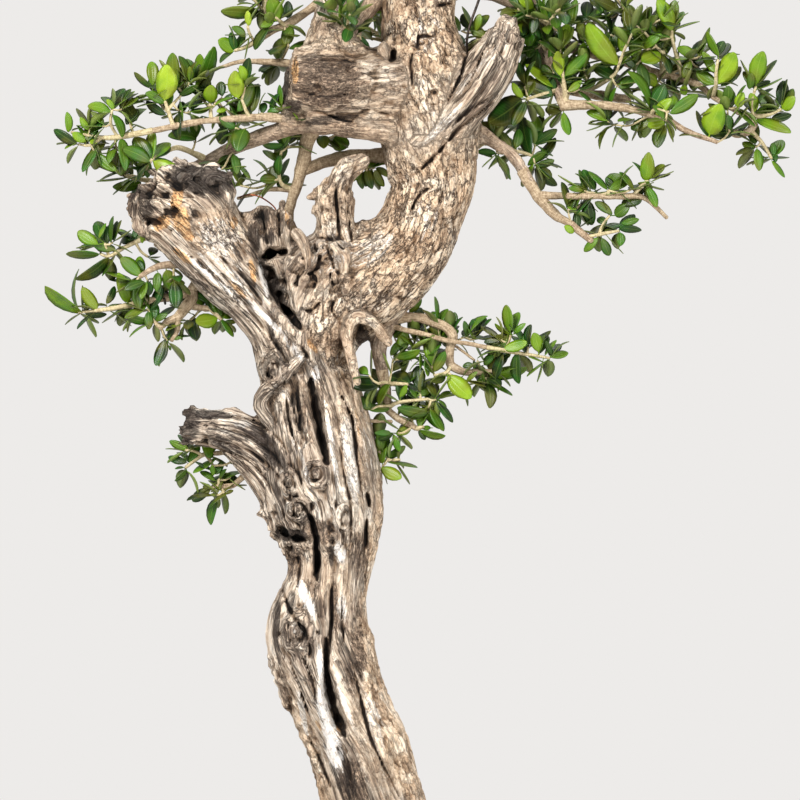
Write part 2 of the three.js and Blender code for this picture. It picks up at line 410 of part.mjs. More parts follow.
      [164.8, 700, 152, 697, 7, -5]],
  },
  right_top_end: {
    twig: [[198, 16, 680, 2], [190, 6, 707, 1.3], [189, 2, 716, 1]],
    leaves: [[189, 716.3, 179, 739, 10, -4], [188.6, 714.4, 173, 722.5, 8, 6], [190.9, 716.3, 208, 724, 5],
      [193.8, 699, 206.2, 706.8, 8, -5], [195.5, 688, 208, 697, 7]],
  },
  right_arch: {
    twig: [[92, 21, 716, 2], [98, -4, 723, 1.1]],
    leaves: [[99.4, 725, 114, 735, 7], [97, 724.8, 89.4, 739.8, 6], [96, 719.7, 84, 713, 7, -6],
      [99, 721, 112, 714.6, 8, -6], [95.5, 717, 104, 704, 7, -5]],
    shoots: 1,
  },
  behind_jin: {
    twig: [[14, 16, 696, 5], [32, 16, 702, 2.2], [48, 8, 712, 1]],
    leaves: [[46.5, 713, 36.5, 721, 8, 4], [40, 706, 47.5, 698, 7, 4], [49, 713, 60, 722, 7, 4]],
  },
  left_collar: {
    twig: [[-56, -6, 711, 2], [-54.5, -22, 717, 1]],
    leaves: [[-54.8, 718, -46.6, 739, 10, -5], [-56.5, 718, -75.4, 729, 5],
      [-55.3, 714.6, -57.5, 703.8, 6, -5], [-53, 714, -39, 704, 8, -4]],
  },
  upper_right: {
    twig: [[112, 32, 768, 4.6], [138, 31, 774, 3.2], [166, 26, 778, 1.6]],
    shoots: 4,
  },
  upper_left: {
    twig: [[-74, 4, 762, 6], [-88, 7, 789, 4], [-106, 6, 808, 1.8]],
    shoots: 4,
  },
  back_low: {
    twig: [[-88, 44, 514, 7], [-112, 68, 532, 4], [-130, 84, 542, 1.8]],
    shoots: 3,
  },
  back_mid: {
    twig: [[18, 44, 612, 7], [38, 66, 628, 4], [53, 84, 638, 1.8]],
    shoots: 3,
  },
  back_high: {
    twig: [[-11, 44, 701, 7], [-25, 66, 712, 4], [-37, 86, 719, 1.8]],
    shoots: 3,
  },
  crown_left: {
    twig: [[-46, 15, 796, 6.4], [-84, 16, 812, 4], [-122, 12, 824, 1.6]],
    shoots: 4,
  },
  crown_right: {
    twig: [[50, 15, 800, 6.4], [88, 14, 811, 4], [126, 10, 820, 1.6]],
    shoots: 4,
  },
  crown_front: {
    twig: [[-5, -20, 816, 6.8], [-12, -46, 829, 4.2], [-18, -76, 839, 1.6]],
    shoots: 4,
  },
  crown_back: {
    twig: [[14, 28, 820, 6.6], [24, 52, 833, 4.2], [33, 78, 844, 1.6]],
    shoots: 4,
  },
  crown_top: {
    twig: [[9, 1, 836, 9], [6, 0, 858, 5.6], [2, 0, 882, 2.4]],
    shoots: 5,
  },
};

// ---------------------------------------------------------------- wires

// Fixed routes go from wood to wood, and stop a hair short of it at both ends.
const GUY_WIRE = {
  radius: 1.1,
  route: [[38, 2, 690], [35, 4, 703], [37, 6, 718], [43, 8, 736], [48, 12, 752]],
};
const COPPER_WIRE = {
  radius: 0.7,
  route: [[-136, 4, 590], [-130, -1, 592.5], [-120, -4, 591], [-109, -5, 582], [-107, -5, 572]],
};
const TRAINING_WIRE = {
  radius: 0.8,
  from: [-182, 0, 517.3],
  to: [-193, -3, 515],
  branchRadius: 3.6,
  turns: 2.5,
};

// ---------------------------------------------------------------- colours

const bark = new THREE.MeshStandardMaterial({ color: 0x9c8468, roughness: 0.95 });
const foliage = new THREE.MeshStandardMaterial({ color: 0x4f7230, roughness: 0.5 });
const stoneware = new THREE.MeshStandardMaterial({ color: 0x6b5546, roughness: 0.85 });
const substrate = new THREE.MeshStandardMaterial({ color: 0x7a6248, roughness: 1 });
const blackMesh = new THREE.MeshStandardMaterial({ color: 0x22241f, roughness: 0.6 });
const darkWire = new THREE.MeshStandardMaterial({ color: 0x3a302a, roughness: 0.5, metalness: 0.6 });
const copper = new THREE.MeshStandardMaterial({ color: 0x8d4a2c, roughness: 0.45, metalness: 0.8 });

// ---------------------------------------------------------------- helpers

// Seeded draws in 0..1, the same on every run.
function seededDraw(seed) {
  let state = seed >>> 0;
  return () => {
    state = (state + 0x6d2b79f5) >>> 0;
    let t = Math.imul(state ^ (state >>> 15), 1 | state);
    t = (t + Math.imul(t ^ (t >>> 7), 61 | t)) ^ t;
    return ((t ^ (t >>> 14)) >>> 0) / 4294967296;
  };
}

function seedOf(name) {
  return [...name].reduce((sum, letter) => (sum * 31 + letter.charCodeAt(0)) >>> 0, 7);
}

// A value in 0..1 that depends only on a place.
function placeDraw(x, z) {
  const wave = Math.sin(12.9898 * x + 78.233 * z) * 43758.5453;
  return wave - Math.floor(wave);
}

function closedGeometry(positions, triangles) {
  const geometry = new THREE.BufferGeometry();
  geometry.setAttribute('position', new THREE.Float32BufferAttribute(positions, 3));
  geometry.setIndex(triangles);
  return geometry;
}

function solid(geometry) {
  geometry.deleteAttribute('normal');
  geometry.deleteAttribute('uv');
  const merged = mergeVertices(geometry, 1e-3);
  return new wasm.Manifold(new wasm.Mesh({
    numProp: 3,
    vertProperties: merged.attributes.position.array,
    triVerts: new Uint32Array(merged.index.array),
  }));
}

function moved(geometry, [x, y, z]) {
  geometry.translate(x, y, z);
  return geometry;
}

function union(solids) {
  return solids.reduce((sum, next) => sum.add(next));
}

// The largest of the bodies that a cut leaves.
function largestBody(manifold) {
  return manifold.decompose().reduce((best, next) => (next.volume() > best.volume() ? next : best));
}

function piece(name, manifold, material) {
  const { vertProperties, triVerts, numProp } = manifold.getMesh();
  if (numProp !== 3) throw new Error(`${name} carries more than positions`);
  const result = new THREE.Mesh(closedGeometry([...vertProperties], [...triVerts]), material);
  result.name = name;
  return result;
}

const PLAIN_LIMB = { sides: 6, lobes: 0, ridge: 0, uneven: 0, twist: 0, end: 0.5, grow: 0, seed: 1 };

// A tapered limb of wood along points [x, y, z, radius]. Its section has `lobes` ridges, which turn
// about it by `twist` radians a millimetre, and a seeded unevenness. `grow` makes it fatter all round.
function limb(points, options) {
  const { sides, lobes, ridge, uneven, twist, end, grow, seed } = { ...PLAIN_LIMB, ...options };
  const draw = seededDraw(seed);
  const centres = points.map(([x, y, z]) => new THREE.Vector3(x, y, z));
  const positions = [];
  const triangles = [];
  const turned = new THREE.Quaternion();
  let tangent = new THREE.Vector3().subVectors(centres[1], centres[0]).normalize();
  const side = new THREE.Vector3(1, 0, 0);
  if (Math.abs(tangent.x) > 0.9) side.set(0, 0, 1);
  side.addScaledVector(tangent, -side.dot(tangent)).normalize();
  let travelled = 0;
  centres.forEach((centre, i) => {
    const before = centres[Math.max(i - 1, 0)];
    const after = centres[Math.min(i + 1, centres.length - 1)];
    const next = new THREE.Vector3().subVectors(after, before).normalize();
    side.applyQuaternion(turned.setFromUnitVectors(tangent, next));
    tangent = next;
    const across = new THREE.Vector3().crossVectors(tangent, side);
    travelled += centre.distanceTo(before);
    for (let j = 0; j < sides; j += 1) {
      const angle = (2 * Math.PI * j) / sides;
      const relief = 1 + ridge * Math.sin(lobes * angle + twist * travelled) + uneven * (draw() - 0.5);
      const radius = points[i][3] * relief + grow;
      const vertex = centre.clone()
        .addScaledVector(side, radius * Math.cos(angle))
        .addScaledVector(across, radius * Math.sin(angle));
      positions.push(vertex.x, vertex.y, vertex.z);
    }
  });
  const rings = centres.length;
  for (let i = 0; i < rings - 1; i += 1) {
    for (let j = 0; j < sides; j += 1) {
      const a = i * sides + j;
      const b = i * sides + ((j + 1) % sides);
      triangles.push(a, b, b + sides, a, b + sides, a + sides);
    }
  }
  [[0, 1], [rings - 1, rings - 2]].forEach(([ring, neighbour], last) => {
    const outward = centres[ring].clone().sub(centres[neighbour]).normalize();
    const tip = centres[ring].clone().addScaledVector(outward, end * points[ring][3] + grow);
    const apex = positions.length / 3;
    positions.push(tip.x, tip.y, tip.z);
    for (let j = 0; j < sides; j += 1) {
      const a = ring * sides + j;
      const b = ring * sides + ((j + 1) % sides);
      if (last) triangles.push(a, b, apex);
      else triangles.push(b, a, apex);
    }
  });
  return closedGeometry(positions, triangles);
}

// How many sides a stem has, by its radius.
function sidesFor(radius) {
  if (radius > 10) return 6;
  if (radius > 5) return 5;
  return radius > 1.6 ? 4 : 3;
}

// The distance from a point to the skin of a chain of round sections.
function distanceToLimb(point, points) {
  let best = Infinity;
  const a = new THREE.Vector3();
  const b = new THREE.Vector3();
  const span = new THREE.Vector3();
  const offset = new THREE.Vector3();
  for (let i = 0; i < points.length - 1; i += 1) {
    a.set(...points[i]);
    b.set(...points[i + 1]);
    span.subVectors(b, a);
    offset.subVectors(point, a);
    const t = THREE.MathUtils.clamp(offset.dot(span) / span.lengthSq(), 0, 1);
    const radius = THREE.MathUtils.lerp(points[i][3], points[i + 1][3], t);
    best = Math.min(best, offset.addScaledVector(span, -t).length() - radius);
  }
  return best;
}

// ---------------------------------------------------------------- the tree's wood

const DEADWOOD = { sides: 8, lobes: 3, ridge: 0.05, uneven: 0.08, twist: 0.03, end: 0.25 };
const OLD_WOOD = [
  [TRUNK, { sides: 12, lobes: 4, ridge: 0.035, uneven: 0.035, twist: 0.012, seed: 11 }],
  [RIGHT_LIMB, { sides: 12, lobes: 4, ridge: 0.035, uneven: 0.035, twist: 0.014, seed: 12 }],
  [FIST, { ...DEADWOOD, sides: 11, end: 0.55, seed: 13 }],
  [KNUCKLE, { ...DEADWOOD, end: 0.9, seed: 14 }],
  [BROKEN_STUB, { ...DEADWOOD, end: 0.5, uneven: 0.2, seed: 15 }],
  [HOLE_STUB, { ...DEADWOOD, sides: 7, seed: 16 }],
  [HOLE_STUB_SPUR, { sides: 6, seed: 17 }],
  [SAWN_STUB, { ...DEADWOOD, sides: 11, end: 0.02, seed: 18 }],
  [UPPER_STEM, { ...DEADWOOD, sides: 7, end: 0.5, seed: 25 }],
  [RIGHT_JIN, { ...DEADWOOD, uneven: 0.12, seed: 19 }],
  [LOWER_JIN, { ...DEADWOOD, end: 0.1, seed: 20 }],
  [LOWER_SPUR, { sides: 6, seed: 21 }],
  [ARM_STRAND, { sides: 6, seed: 22 }],
  [LOOP_STRAND, { sides: 7, seed: 23 }],
  [FRONT_KNOB, { sides: 7, seed: 24 }],
  ...ROOTS.map((points, i) => [points, { sides: 6, uneven: 0.1, seed: 30 + i }]),
];
const LIVE_WOOD = BRANCHES.map((points, i) => {
  const thickest = Math.max(...points.map((point) => point[3]));
  return [points, { sides: sidesFor(thickest), seed: 50 + i }];
});
const WOOD = [...OLD_WOOD, ...LIVE_WOOD];

function inflated([points, options]) {
  return solid(limb(points, { ...options, grow: GAP / Math.cos(Math.PI / options.sides) }));
}

function hollow({ at, size, lean }) {
  const ball = new THREE.SphereGeometry(1, 7, 5);
  ball.scale(...size);
  ball.rotateY(THREE.MathUtils.degToRad(lean));
  return solid(moved(ball, at));
}

const wood = largestBody(union(WOOD.map(([points, options]) => solid(limb(points, options))))
  .subtract(union(HOLLOWS.map(hollow))));
const woodClearance = union(WOOD.map(inflated));

function clearOfWood(point, margin) {
  return WOOD.every(([points]) => distanceToLimb(point, points) > margin);
}

// ---------------------------------------------------------------- wires

function wire(radius, route, sides = 5) {
  return limb(route.map((point) => [...point, radius]), { sides, end: 0.3 });
}

function coilRoute({ from, to, branchRadius, radius, turns }) {
  const a = new THREE.Vector3(...from);
  const axis = new THREE.Vector3(...to).sub(a);
  const along = axis.clone().normalize();
  const side = new THREE.Vector3(0, 1, 0).addScaledVector(along, -along.y).normalize();
  const across = new THREE.Vector3().crossVectors(along, side);
  const reach = branchRadius + radius + 2 * GAP;
  const steps = turns * COIL_STEPS;
  return Array.from({ length: steps + 1 }, (_, i) => {
    const angle = (2 * Math.PI * i) / COIL_STEPS;
    return a.clone().addScaledVector(axis, i / steps)
      .addScaledVector(side, reach * Math.cos(angle))
      .addScaledVector(across, reach * Math.sin(angle))
      .toArray();
  });
}

const guyWire = largestBody(solid(wire(GUY_WIRE.radius, GUY_WIRE.route)).subtract(woodClearance));
const copperWire = largestBody(solid(wire(COPPER_WIRE.radius, COPPER_WIRE.route)).subtract(woodClearance));
const trainingWire = solid(wire(TRAINING_WIRE.radius, coilRoute(TRAINING_WIRE), 4));
const wires = union([guyWire, copperWire, trainingWire]);

// ---------------------------------------------------------------- leaves

// One leaf from its root on the twig to its tip: a thin blade with a raised midrib. `blade` is where
// the blade begins, `facing` the way its upper side looks. A broad leaf has two sections across it, a
// narrow one has one.
function leaf({ root, blade, tip, width, facing }, fatten = 0) {
  const axis = new THREE.Vector3().subVectors(tip, blade).normalize();
  const side = new THREE.Vector3().crossVectors(axis, facing).normalize();
  const normal = new THREE.Vector3().crossVectors(side, axis);
  const sections = width > BROAD ? BROAD_SECTIONS : NARROW_SECTIONS;
  const vertices = [root.clone()];
  sections.forEach(([along, half]) => {
    const middle = new THREE.Vector3().lerpVectors(blade, tip, along);
    vertices.push(
      middle.clone().addScaledVector(side, half * width + fatten).addScaledVector(normal, -fatten),
      middle.clone().addScaledVector(normal, BLADE_THICKNESS + fatten),
      middle.clone().addScaledVector(side, -half * width - fatten).addScaledVector(normal, -fatten),
    );
  });
  const tipIndex = vertices.length;
  vertices.push(tip.clone());
  const triangles = [];
  for (let j = 0; j < 3; j += 1) {
    const k = (j + 1) % 3;
    triangles.push(0, 1 + j, 1 + k);
    for (let i = 1; i < tipIndex - 3; i += 3) {
      triangles.push(i + j, i + 3 + j, i + 3 + k, i + j, i + 3 + k, i + k);
    }
    triangles.push(tipIndex - 3 + j, tipIndex, tipIndex - 3 + k);
  }
  return solid(closedGeometry(vertices.flatMap((v) => v.toArray()), triangles));
}

// The point of a spray's stems that is nearest to a place seen from the front.
function nearestOnStems(stems, x, z) {
  let best = { distance: Infinity };
  stems.forEach((points) => {
    for (let i = 0; i < points.length - 1; i += 1) {
      const [ax, , az] = points[i];
      const [bx, , bz] = points[i + 1];
      const lengthSquared = (bx - ax) ** 2 + (bz - az) ** 2 || 1;
      const along = ((x - ax) * (bx - ax) + (z - az) * (bz - az)) / lengthSquared;
      const t = THREE.MathUtils.clamp(along, i ? 0 : 0.25, 1);
      const spot = points[i].map((value, k) => THREE.MathUtils.lerp(value, points[i + 1][k], t));
      const distance = Math.hypot(x - spot[0], z - spot[2]);
      if (distance < best.distance) best = { distance, spot };
    }
  });
  return new THREE.Vector3(...best.spot);
}

// A listed leaf. Its length out of the picture plane makes up the true length of so wide a blade,
// and a blade that looks too narrow for its length is turned edge-on.
function listedLeaf(stems, [x0, z0, x1, z1, width, lean]) {
  const root = nearestOnStems(stems, x0, z0);
  const blade = new THREE.Vector3(x0, root.y, z0);
  const flat = Math.hypot(x1 - x0, z1 - z0);
  const length = Math.max(SLANT * flat, width / MOST_WIDTH);
  const sign = placeDraw(x0, z0) > 0.5 ? 1 : -1;
  const depth = lean ?? sign * Math.sqrt(length ** 2 - flat ** 2);
  const tip = new THREE.Vector3(x1, root.y + depth, z1);
  const trueWidth = Math.max(width, LEAST_WIDTH * length);
  const roll = Math.acos(Math.min(1, width / trueWidth)) * (placeDraw(z0, x0) > 0.5 ? 1 : -1);
  const axis = new THREE.Vector3().subVectors(tip, blade).normalize();
  const facing = new THREE.Vector3(0, -1, 0.35).applyAxisAngle(axis, roll);
  return { root, blade, tip, width: trueWidth, facing };
}

// Leaf pairs up a shoot, each pair turned a quarter from the last.
function pairsAlong(points, draw) {
  const leaves = [];
  const start = new THREE.Vector3(...points[0]);
  const end = new THREE.Vector3(...points[points.length - 1]);
  const along = end.clone().sub(start);
  const pairs = Math.max(1, Math.floor(along.length() / PAIR_SPACING));
  const heading = along.clone().normalize();
  const side = new THREE.Vector3(0, 0, 1).cross(heading).normalize();
  for (let i = 1; i <= pairs; i += 1) {
    for (let half = 0; half < 2; half += 1) {
      const turn = (i % 2) * (Math.PI / 2) + half * Math.PI + PAIR_SPREAD.stray * (draw() - 0.5);
      const out = side.clone().applyAxisAngle(heading, turn);
      const direction = out.multiplyScalar(PAIR_SPREAD.out).addScaledVector(heading, PAIR_SPREAD.onward);
      direction.z += PAIR_SPREAD.up;
      leaves.push(freeLeaf(start.clone().addScaledVector(along, i / (pairs + 0.3)), direction, draw));
    }
  }
  return leaves;
}

function freeLeaf(root, direction, draw) {
  const heading = direction.clone().normalize();
  const length = THREE.MathUtils.lerp(...LEAF_LENGTH, draw());
  const blade = root.clone().addScaledVector(heading, STALK * length);
  const tip = root.clone().addScaledVector(heading, length);
  const facing = new THREE.Vector3(0.5 * (draw() - 0.5), 0.5 * (draw() - 0.5), 1);
  return { root, blade, tip, width: SLENDER * length, facing };
}

// Leafy shoots that leave a stem in a spiral round it, with the last one at its tip.
function shootsAlong(stem, count, draw) {
  const curve = new THREE.CatmullRomCurve3(stem.map(([x, y, z]) => new THREE.Vector3(x, y, z)));
  return Array.from({ length: count }, (_, i) => {
    const t = THREE.MathUtils.lerp(SHOOT.first, 1, i / Math.max(1, count - 1));
    const base = curve.getPointAt(t);
    const heading = curve.getTangentAt(t);
    const side = new THREE.Vector3(0, 0, 1).cross(heading).normalize();
    const up = new THREE.Vector3().crossVectors(heading, side);
    const angle = i * SHOOT.turn + SHOOT.stray * (draw() - 0.5);
    const lift = SHOOT.lift * Math.abs(Math.sin(angle));
    const out = side.multiplyScalar(Math.cos(angle)).addScaledVector(up, lift);
    const isLast = i === count - 1;
    const direction = isLast ? heading : out.addScaledVector(heading, SHOOT.onward).normalize();
    const length = THREE.MathUtils.lerp(...SHOOT.length, draw());
    const tip = base.clone().addScaledVector(direction, length);
    return [[...base.toArray(), 1.3], [...tip.toArray(), 1]];
  });
}

// ---------------------------------------------------------------- sprays

const placedLeaves = [];
const stemsOf = {};
const shootsOf = {};
Object.entries(SPRAYS).forEach(([name, { twig, sides = [], shoots = 0 }]) => {
  shootsOf[name] = shoots ? shootsAlong(twig, shoots, seededDraw(seedOf(name))) : [];
  stemsOf[name] = [twig, ...sides, ...shootsOf[name]];
});

function stemSolid(stems) {
  const limbs = stems.map((points) => solid(limb(points, { sides: sidesFor(points[0][3]) })));
  return largestBody(union(limbs).subtract(woodClearance).subtract(wires));
}

const stemSolids = {};
Object.keys(stemsOf).forEach((name) => {
  stemSolids[name] = stemSolid(stemsOf[name]);
});

function boxesMeet(a, b) {
  return [0, 1, 2].every((k) => a.min[k] <= b.max[k] && b.min[k] <= a.max[k]);
}

// Whether a leaf stands clear of the wood, the wires and every other spray so far, and its blade,
// unless it may cross them, of the blades of its own spray.
function fits(name, shape, mayCross) {
  const { blade, tip } = shape;
  const spots = [0.35, 0.7, 1].map((t) => new THREE.Vector3().lerpVectors(blade, tip, t));
  if (!spots.every((spot) => clearOfWood(spot, LEAF_CLEARANCE))) return false;
  const whole = leaf(shape, GAP);
  const bounds = whole.boundingBox();
  const bare = leaf({ ...shape, root: blade });
  const stems = Object.entries(stemSolids).map(([owner, manifold]) => ({ owner, whole: manifold }));
  const others = [...placedLeaves, ...stems, { owner: 'wires', whole: wires }]
    .filter((other) => boxesMeet(bounds, other.whole.boundingBox()));
  return others.every((other) => {
    if (other.owner !== name) return whole.intersect(other.whole).isEmpty();
    return mayCross || !other.bare || bare.intersect(other.bare).isEmpty();
  });
}

// A leaf that would cross a neighbour is bent forward, back or sideways until it stands clear.
function bent(shape, swing) {
  const arm = new THREE.Vector3().subVectors(shape.tip, shape.root);
  const hinge = new THREE.Vector3().crossVectors(arm, new THREE.Vector3(0, 1, 0)).normalize();
  const turn = (point) => point.clone().sub(shape.root).applyAxisAngle(hinge, swing).add(shape.root);
  return { ...shape, blade: turn(shape.blade), tip: turn(shape.tip) };
}

function placeLeaf(name, shape, mayCross) {
  const tries = SWINGS.map((swing) => ({ tried: bent(shape, swing), crossing: false }));
  if (mayCross) tries.push(...SWINGS.map((swing) => ({ tried: bent(shape, swing), crossing: true })));
  const place = tries.find(({ tried, crossing }) => fits(name, tried, crossing));
  if (!place) return [];
  const { tried } = place;
  placedLeaves.push({ owner: name, whole: leaf(tried, GAP), bare: leaf({ ...tried, root: tried.blade }) });
  return [leaf(tried)];
}

function spray(name) {
  const { twig, sides = [], leaves = [] } = SPRAYS[name];
  const draw = seededDraw(seedOf(name) + 1);
  const listed = leaves.map((row) => listedLeaf([twig, ...sides], row));
  const ruled = shootsOf[name].flatMap((points) => pairsAlong(points, draw));
  const blades = [
    ...listed.flatMap((shape) => placeLeaf(name, shape, true)),
    ...ruled.flatMap((shape) => placeLeaf(name, shape, false)),
  ];
  return largestBody(union([stemSolids[name], ...blades]).subtract(woodClearance).subtract(wires));
}

// ---------------------------------------------------------------- pot, soil and drain screens

// A ring of points on a rectangle with rounded corners, inset by d from the pot's outer size.
function roundedRing(inset, z, steps = 3) {
  const halfX = POT.length / 2 - inset;
  const halfY = POT.depth / 2 - inset;
  const corner = Math.max(POT.corner - inset, 6);
  const ring = [];
  [[1, 1, 0], [-1, 1, 1], [-1, -1, 2], [1, -1, 3]].forEach(([signX, signY, quarter]) => {
    for (let i = 0; i <= steps; i += 1) {
      const angle = (Math.PI / 2) * (quarter + i / steps);
      ring.push([signX * (halfX - corner) + corner * Math.cos(angle),
        signY * (halfY - corner) + corner * Math.sin(angle), z]);
    }
  });
  return ring;
}

// A closed skin through rings of equal count, with a flat face at the first and the last ring.
function skin(rings) {
  const count = rings[0].length;
  const positions = rings.flat(2);
  const triangles = [];
  for (let i = 0; i < rings.length - 1; i += 1) {
    for (let j = 0; j < count; j += 1) {
      const a = i * count + j;
      const b = i * count + ((j + 1) % count);
      triangles.push(a, b, b + count, a, b + count, a + count);
    }
  }
  const last = (rings.length - 1) * count;
  for (let j = 1; j < count - 1; j += 1) {
    triangles.push(0, j + 1, j);
    triangles.push(last, last + j, last + j + 1);
  }
  return closedGeometry(positions, triangles);
}

const floorTop = POT.foot + POT.floor;

// The pot's outside, from its lower edge to its lip: how far each ring is inset, and its height.
const POT_OUTSIDE = [
  [22, POT.foot], [16, POT.foot + 4],
  [8, POT.height - 16], [6, POT.height - 10],
  [0, POT.height - 8], [0, POT.height - 1], [1, POT.height],
];

// The soil's mound, from the pot's wall inwards: how far each ring is inset, and its height.
const MOUND = [[GAP, SOIL_EDGE - 3], [6, SOIL_EDGE], [30, SOIL_TOP - 2], [60, SOIL_TOP]];

// The pot's inside at a height, inset by a further clearance.
function insideRing(z, clearance) {
  const rise = THREE.MathUtils.clamp((z - floorTop - FILLET) / (POT.height - floorTop - FILLET), 0, 1);
  const round = Math.max(0, 1 - (z - floorTop) / FILLET);
  return roundedRing(POT.wall + SPLAY * (1 - rise) + FILLET * round + clearance, z);
}

function pot() {
  const outside = skin(POT_OUTSIDE.map(([inset, z]) => roundedRing(inset, z)));
  const inside = skin([
    insideRing(floorTop, 0), insideRing(floorTop + FILLET, 0), insideRing(POT.height, 0),
    roundedRing(POT.wall, POT.height + OVERCUT),
  ]);
  const footHeight = POT.foot + POT_FOOT.sunk;
  const feet = [-1, 1].flatMap((x) => [-1, 1].map((y) => {
    const footX = x * (POT.length / 2 - POT_FOOT.fromEnd);
    const footY = y * (POT.depth / 2 - POT_FOOT.fromSide);
    return box(POT_FOOT.length, POT_FOOT.width, footHeight, [footX, footY, footHeight / 2]);
  }));
  const holeDepth = 2 * (POT.floor + OVERCUT);
  const holes = [-1, 1].map((x) => {
    const hole = new THREE.CylinderGeometry(DRAIN.radius, DRAIN.radius, holeDepth, DRAIN.sides);
    return solid(moved(hole.rotateX(Math.PI / 2), [x * DRAIN.x, 0, floorTop]));
  });
  return union([solid(outside).subtract(solid(inside)), ...feet]).subtract(union(holes));
}

function box(sizeX, sizeY, sizeZ, centre) {
  return solid(moved(new THREE.BoxGeometry(sizeX, sizeY, sizeZ), centre));
}

// A square of flat mesh with four openings, which lies on the pot's floor over a drain hole.
function drainScreen(x) {
  const z = floorTop + GAP + DRAIN.screenThickness / 2;
  const steps = [-DRAIN.screen / 4, DRAIN.screen / 4];
  const side = DRAIN.screen / 3;
  const openings = steps.flatMap((i) => steps.map((j) => box(side, side, OVERCUT, [x + i, j, z])));
  return box(DRAIN.screen, DRAIN.screen, DRAIN.screenThickness, [x, 0, z]).subtract(union(openings));
}

// The hollow under the soil that a drain screen lies in.
function screenPocket(x) {
  const side = DRAIN.screen + 2 * GAP;
  const top = floorTop + DRAIN.screenThickness + 2 * GAP;
  const depth = 2 * OVERCUT;
  return box(side, side, depth, [x, 0, top - depth / 2]);
}

function soil() {
  const body = skin([
    insideRing(floorTop + GAP, GAP), insideRing(floorTop + FILLET, GAP),
    ...MOUND.map(([inset, z]) => insideRing(z, inset)),
  ]);
  const pockets = [-1, 1].map((x) => screenPocket(x * DRAIN.x));
  return largestBody(solid(body).subtract(union(pockets)).subtract(woodClearance));
}

// ---------------------------------------------------------------- assembly

const bonsai = new THREE.Group();
bonsai.add(piece('trunk', wood, bark));
Object.keys(SPRAYS).forEach((name) => bonsai.add(piece(`spray_${name}`, spray(name), foliage)));
bonsai.add(piece('pot', pot(), stoneware));
bonsai.add(piece('soil', soil(), substrate));
bonsai.add(piece('drain_screen_left', drainScreen(-DRAIN.x), blackMesh));
bonsai.add(piece('drain_screen_right', drainScreen(DRAIN.x), blackMesh));
bonsai.add(piece('guy_wire', guyWire, darkWire));
bonsai.add(piece('copper_wire', copperWire, copper));
bonsai.add(piece('training_wire', trainingWire, darkWire));

export default bonsai;
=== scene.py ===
"""The looks of an olive bonsai in a plain stoneware tray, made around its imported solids.

Shapes are worked out in millimetres, +Z up with -Y to the front, and put into the scene in metres.
The old wood is one field of distances that is meshed at the end: limbs are chains of round sections
that melt into each other, with grain and bark raised on them, then grooves, ridges, knots and
hollows worked into the side that faces the front. Thin branches are tubes, and each leaf is a blade.
"""

import math

import bmesh
import bpy
import numpy as np
import openvdb
from mathutils import Matrix, Vector


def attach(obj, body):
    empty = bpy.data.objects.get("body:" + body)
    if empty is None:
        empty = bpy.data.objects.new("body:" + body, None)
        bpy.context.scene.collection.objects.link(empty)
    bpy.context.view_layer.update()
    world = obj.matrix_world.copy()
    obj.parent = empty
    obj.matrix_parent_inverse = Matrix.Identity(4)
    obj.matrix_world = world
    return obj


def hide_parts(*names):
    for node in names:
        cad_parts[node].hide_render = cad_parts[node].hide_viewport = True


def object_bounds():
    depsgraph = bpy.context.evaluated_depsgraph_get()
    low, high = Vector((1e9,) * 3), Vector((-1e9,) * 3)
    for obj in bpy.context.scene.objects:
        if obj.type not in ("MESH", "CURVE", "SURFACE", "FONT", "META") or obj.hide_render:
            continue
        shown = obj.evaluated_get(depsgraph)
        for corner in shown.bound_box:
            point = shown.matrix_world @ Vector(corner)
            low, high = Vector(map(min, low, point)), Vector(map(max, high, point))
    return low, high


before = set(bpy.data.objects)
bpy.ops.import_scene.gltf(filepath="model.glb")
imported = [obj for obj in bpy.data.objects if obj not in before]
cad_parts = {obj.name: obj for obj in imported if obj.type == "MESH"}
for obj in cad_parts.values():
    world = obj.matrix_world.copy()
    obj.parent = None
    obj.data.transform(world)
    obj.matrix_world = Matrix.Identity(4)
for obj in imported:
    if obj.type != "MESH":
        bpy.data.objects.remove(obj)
cad_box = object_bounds()

MM = 0.001
BOX_LOW, BOX_HIGH = (np.array(corner) / MM for corner in cad_box)
VOXEL = 1.42     # of the old wood's field
BAND = 7.0                              # how far from its skin the field is worked
BOX_MARGIN = 0.02                       # how far all shapes stay inside the solids' box
THIN = 4.4                              # radius under which a branch is a tube beside the field
TRUNK_SIZE = 44                         # limbs thicker than this carry both bark and bare wood

# ---------------------------------------------------------------- old wood, (x, y, z, radius)

TRUNK = [
    (-24, 2, 48, 40), (-25, 2, 72, 46), (-27, 1, 98, 42), (-33, 0, 125, 39), (-41, -1, 160, 37.5),
    (-46, -2, 180, 37), (-55, -3, 200, 36), (-64.5, -3, 220, 37.5), (-71, -3, 240, 39.5),
    (-75.5, -3, 260, 39), (-74.5, -3, 280, 35), (-70, -2, 300, 31), (-67, -1, 318, 32),
    (-67, 0, 335, 36.5), (-71, 0, 358, 43), (-75, 0, 380, 46), (-77, 0, 400, 45), (-79, 0, 420, 41.5),
    (-81, 0, 440, 37.5), (-85, 0, 458, 33), (-87, 0, 472, 34), (-84, 0, 490, 38), (-76, 0, 508, 42),
    (-64, 0, 526, 41), (-45, 0, 538, 34),
]
RIGHT_LIMB = [
    (-62, 2, 514, 34), (-42, 0, 525, 36), (-24, 0, 539, 34), (-7, 0, 556, 32.5), (3, 0, 579, 31),
    (9, 0, 600, 31.5), (8, 0, 620, 35), (6, 0, 642, 38.5), (4, 0, 662, 41), (2, 0, 682, 37.5),
    (1, 2, 702, 31), (-1, 4, 720, 28.5), (-1, 6, 740, 27.5), (0, 8, 765, 25), (3, 8, 790, 21),
    (8, 6, 815, 16), (9, 2, 836, 11),
]
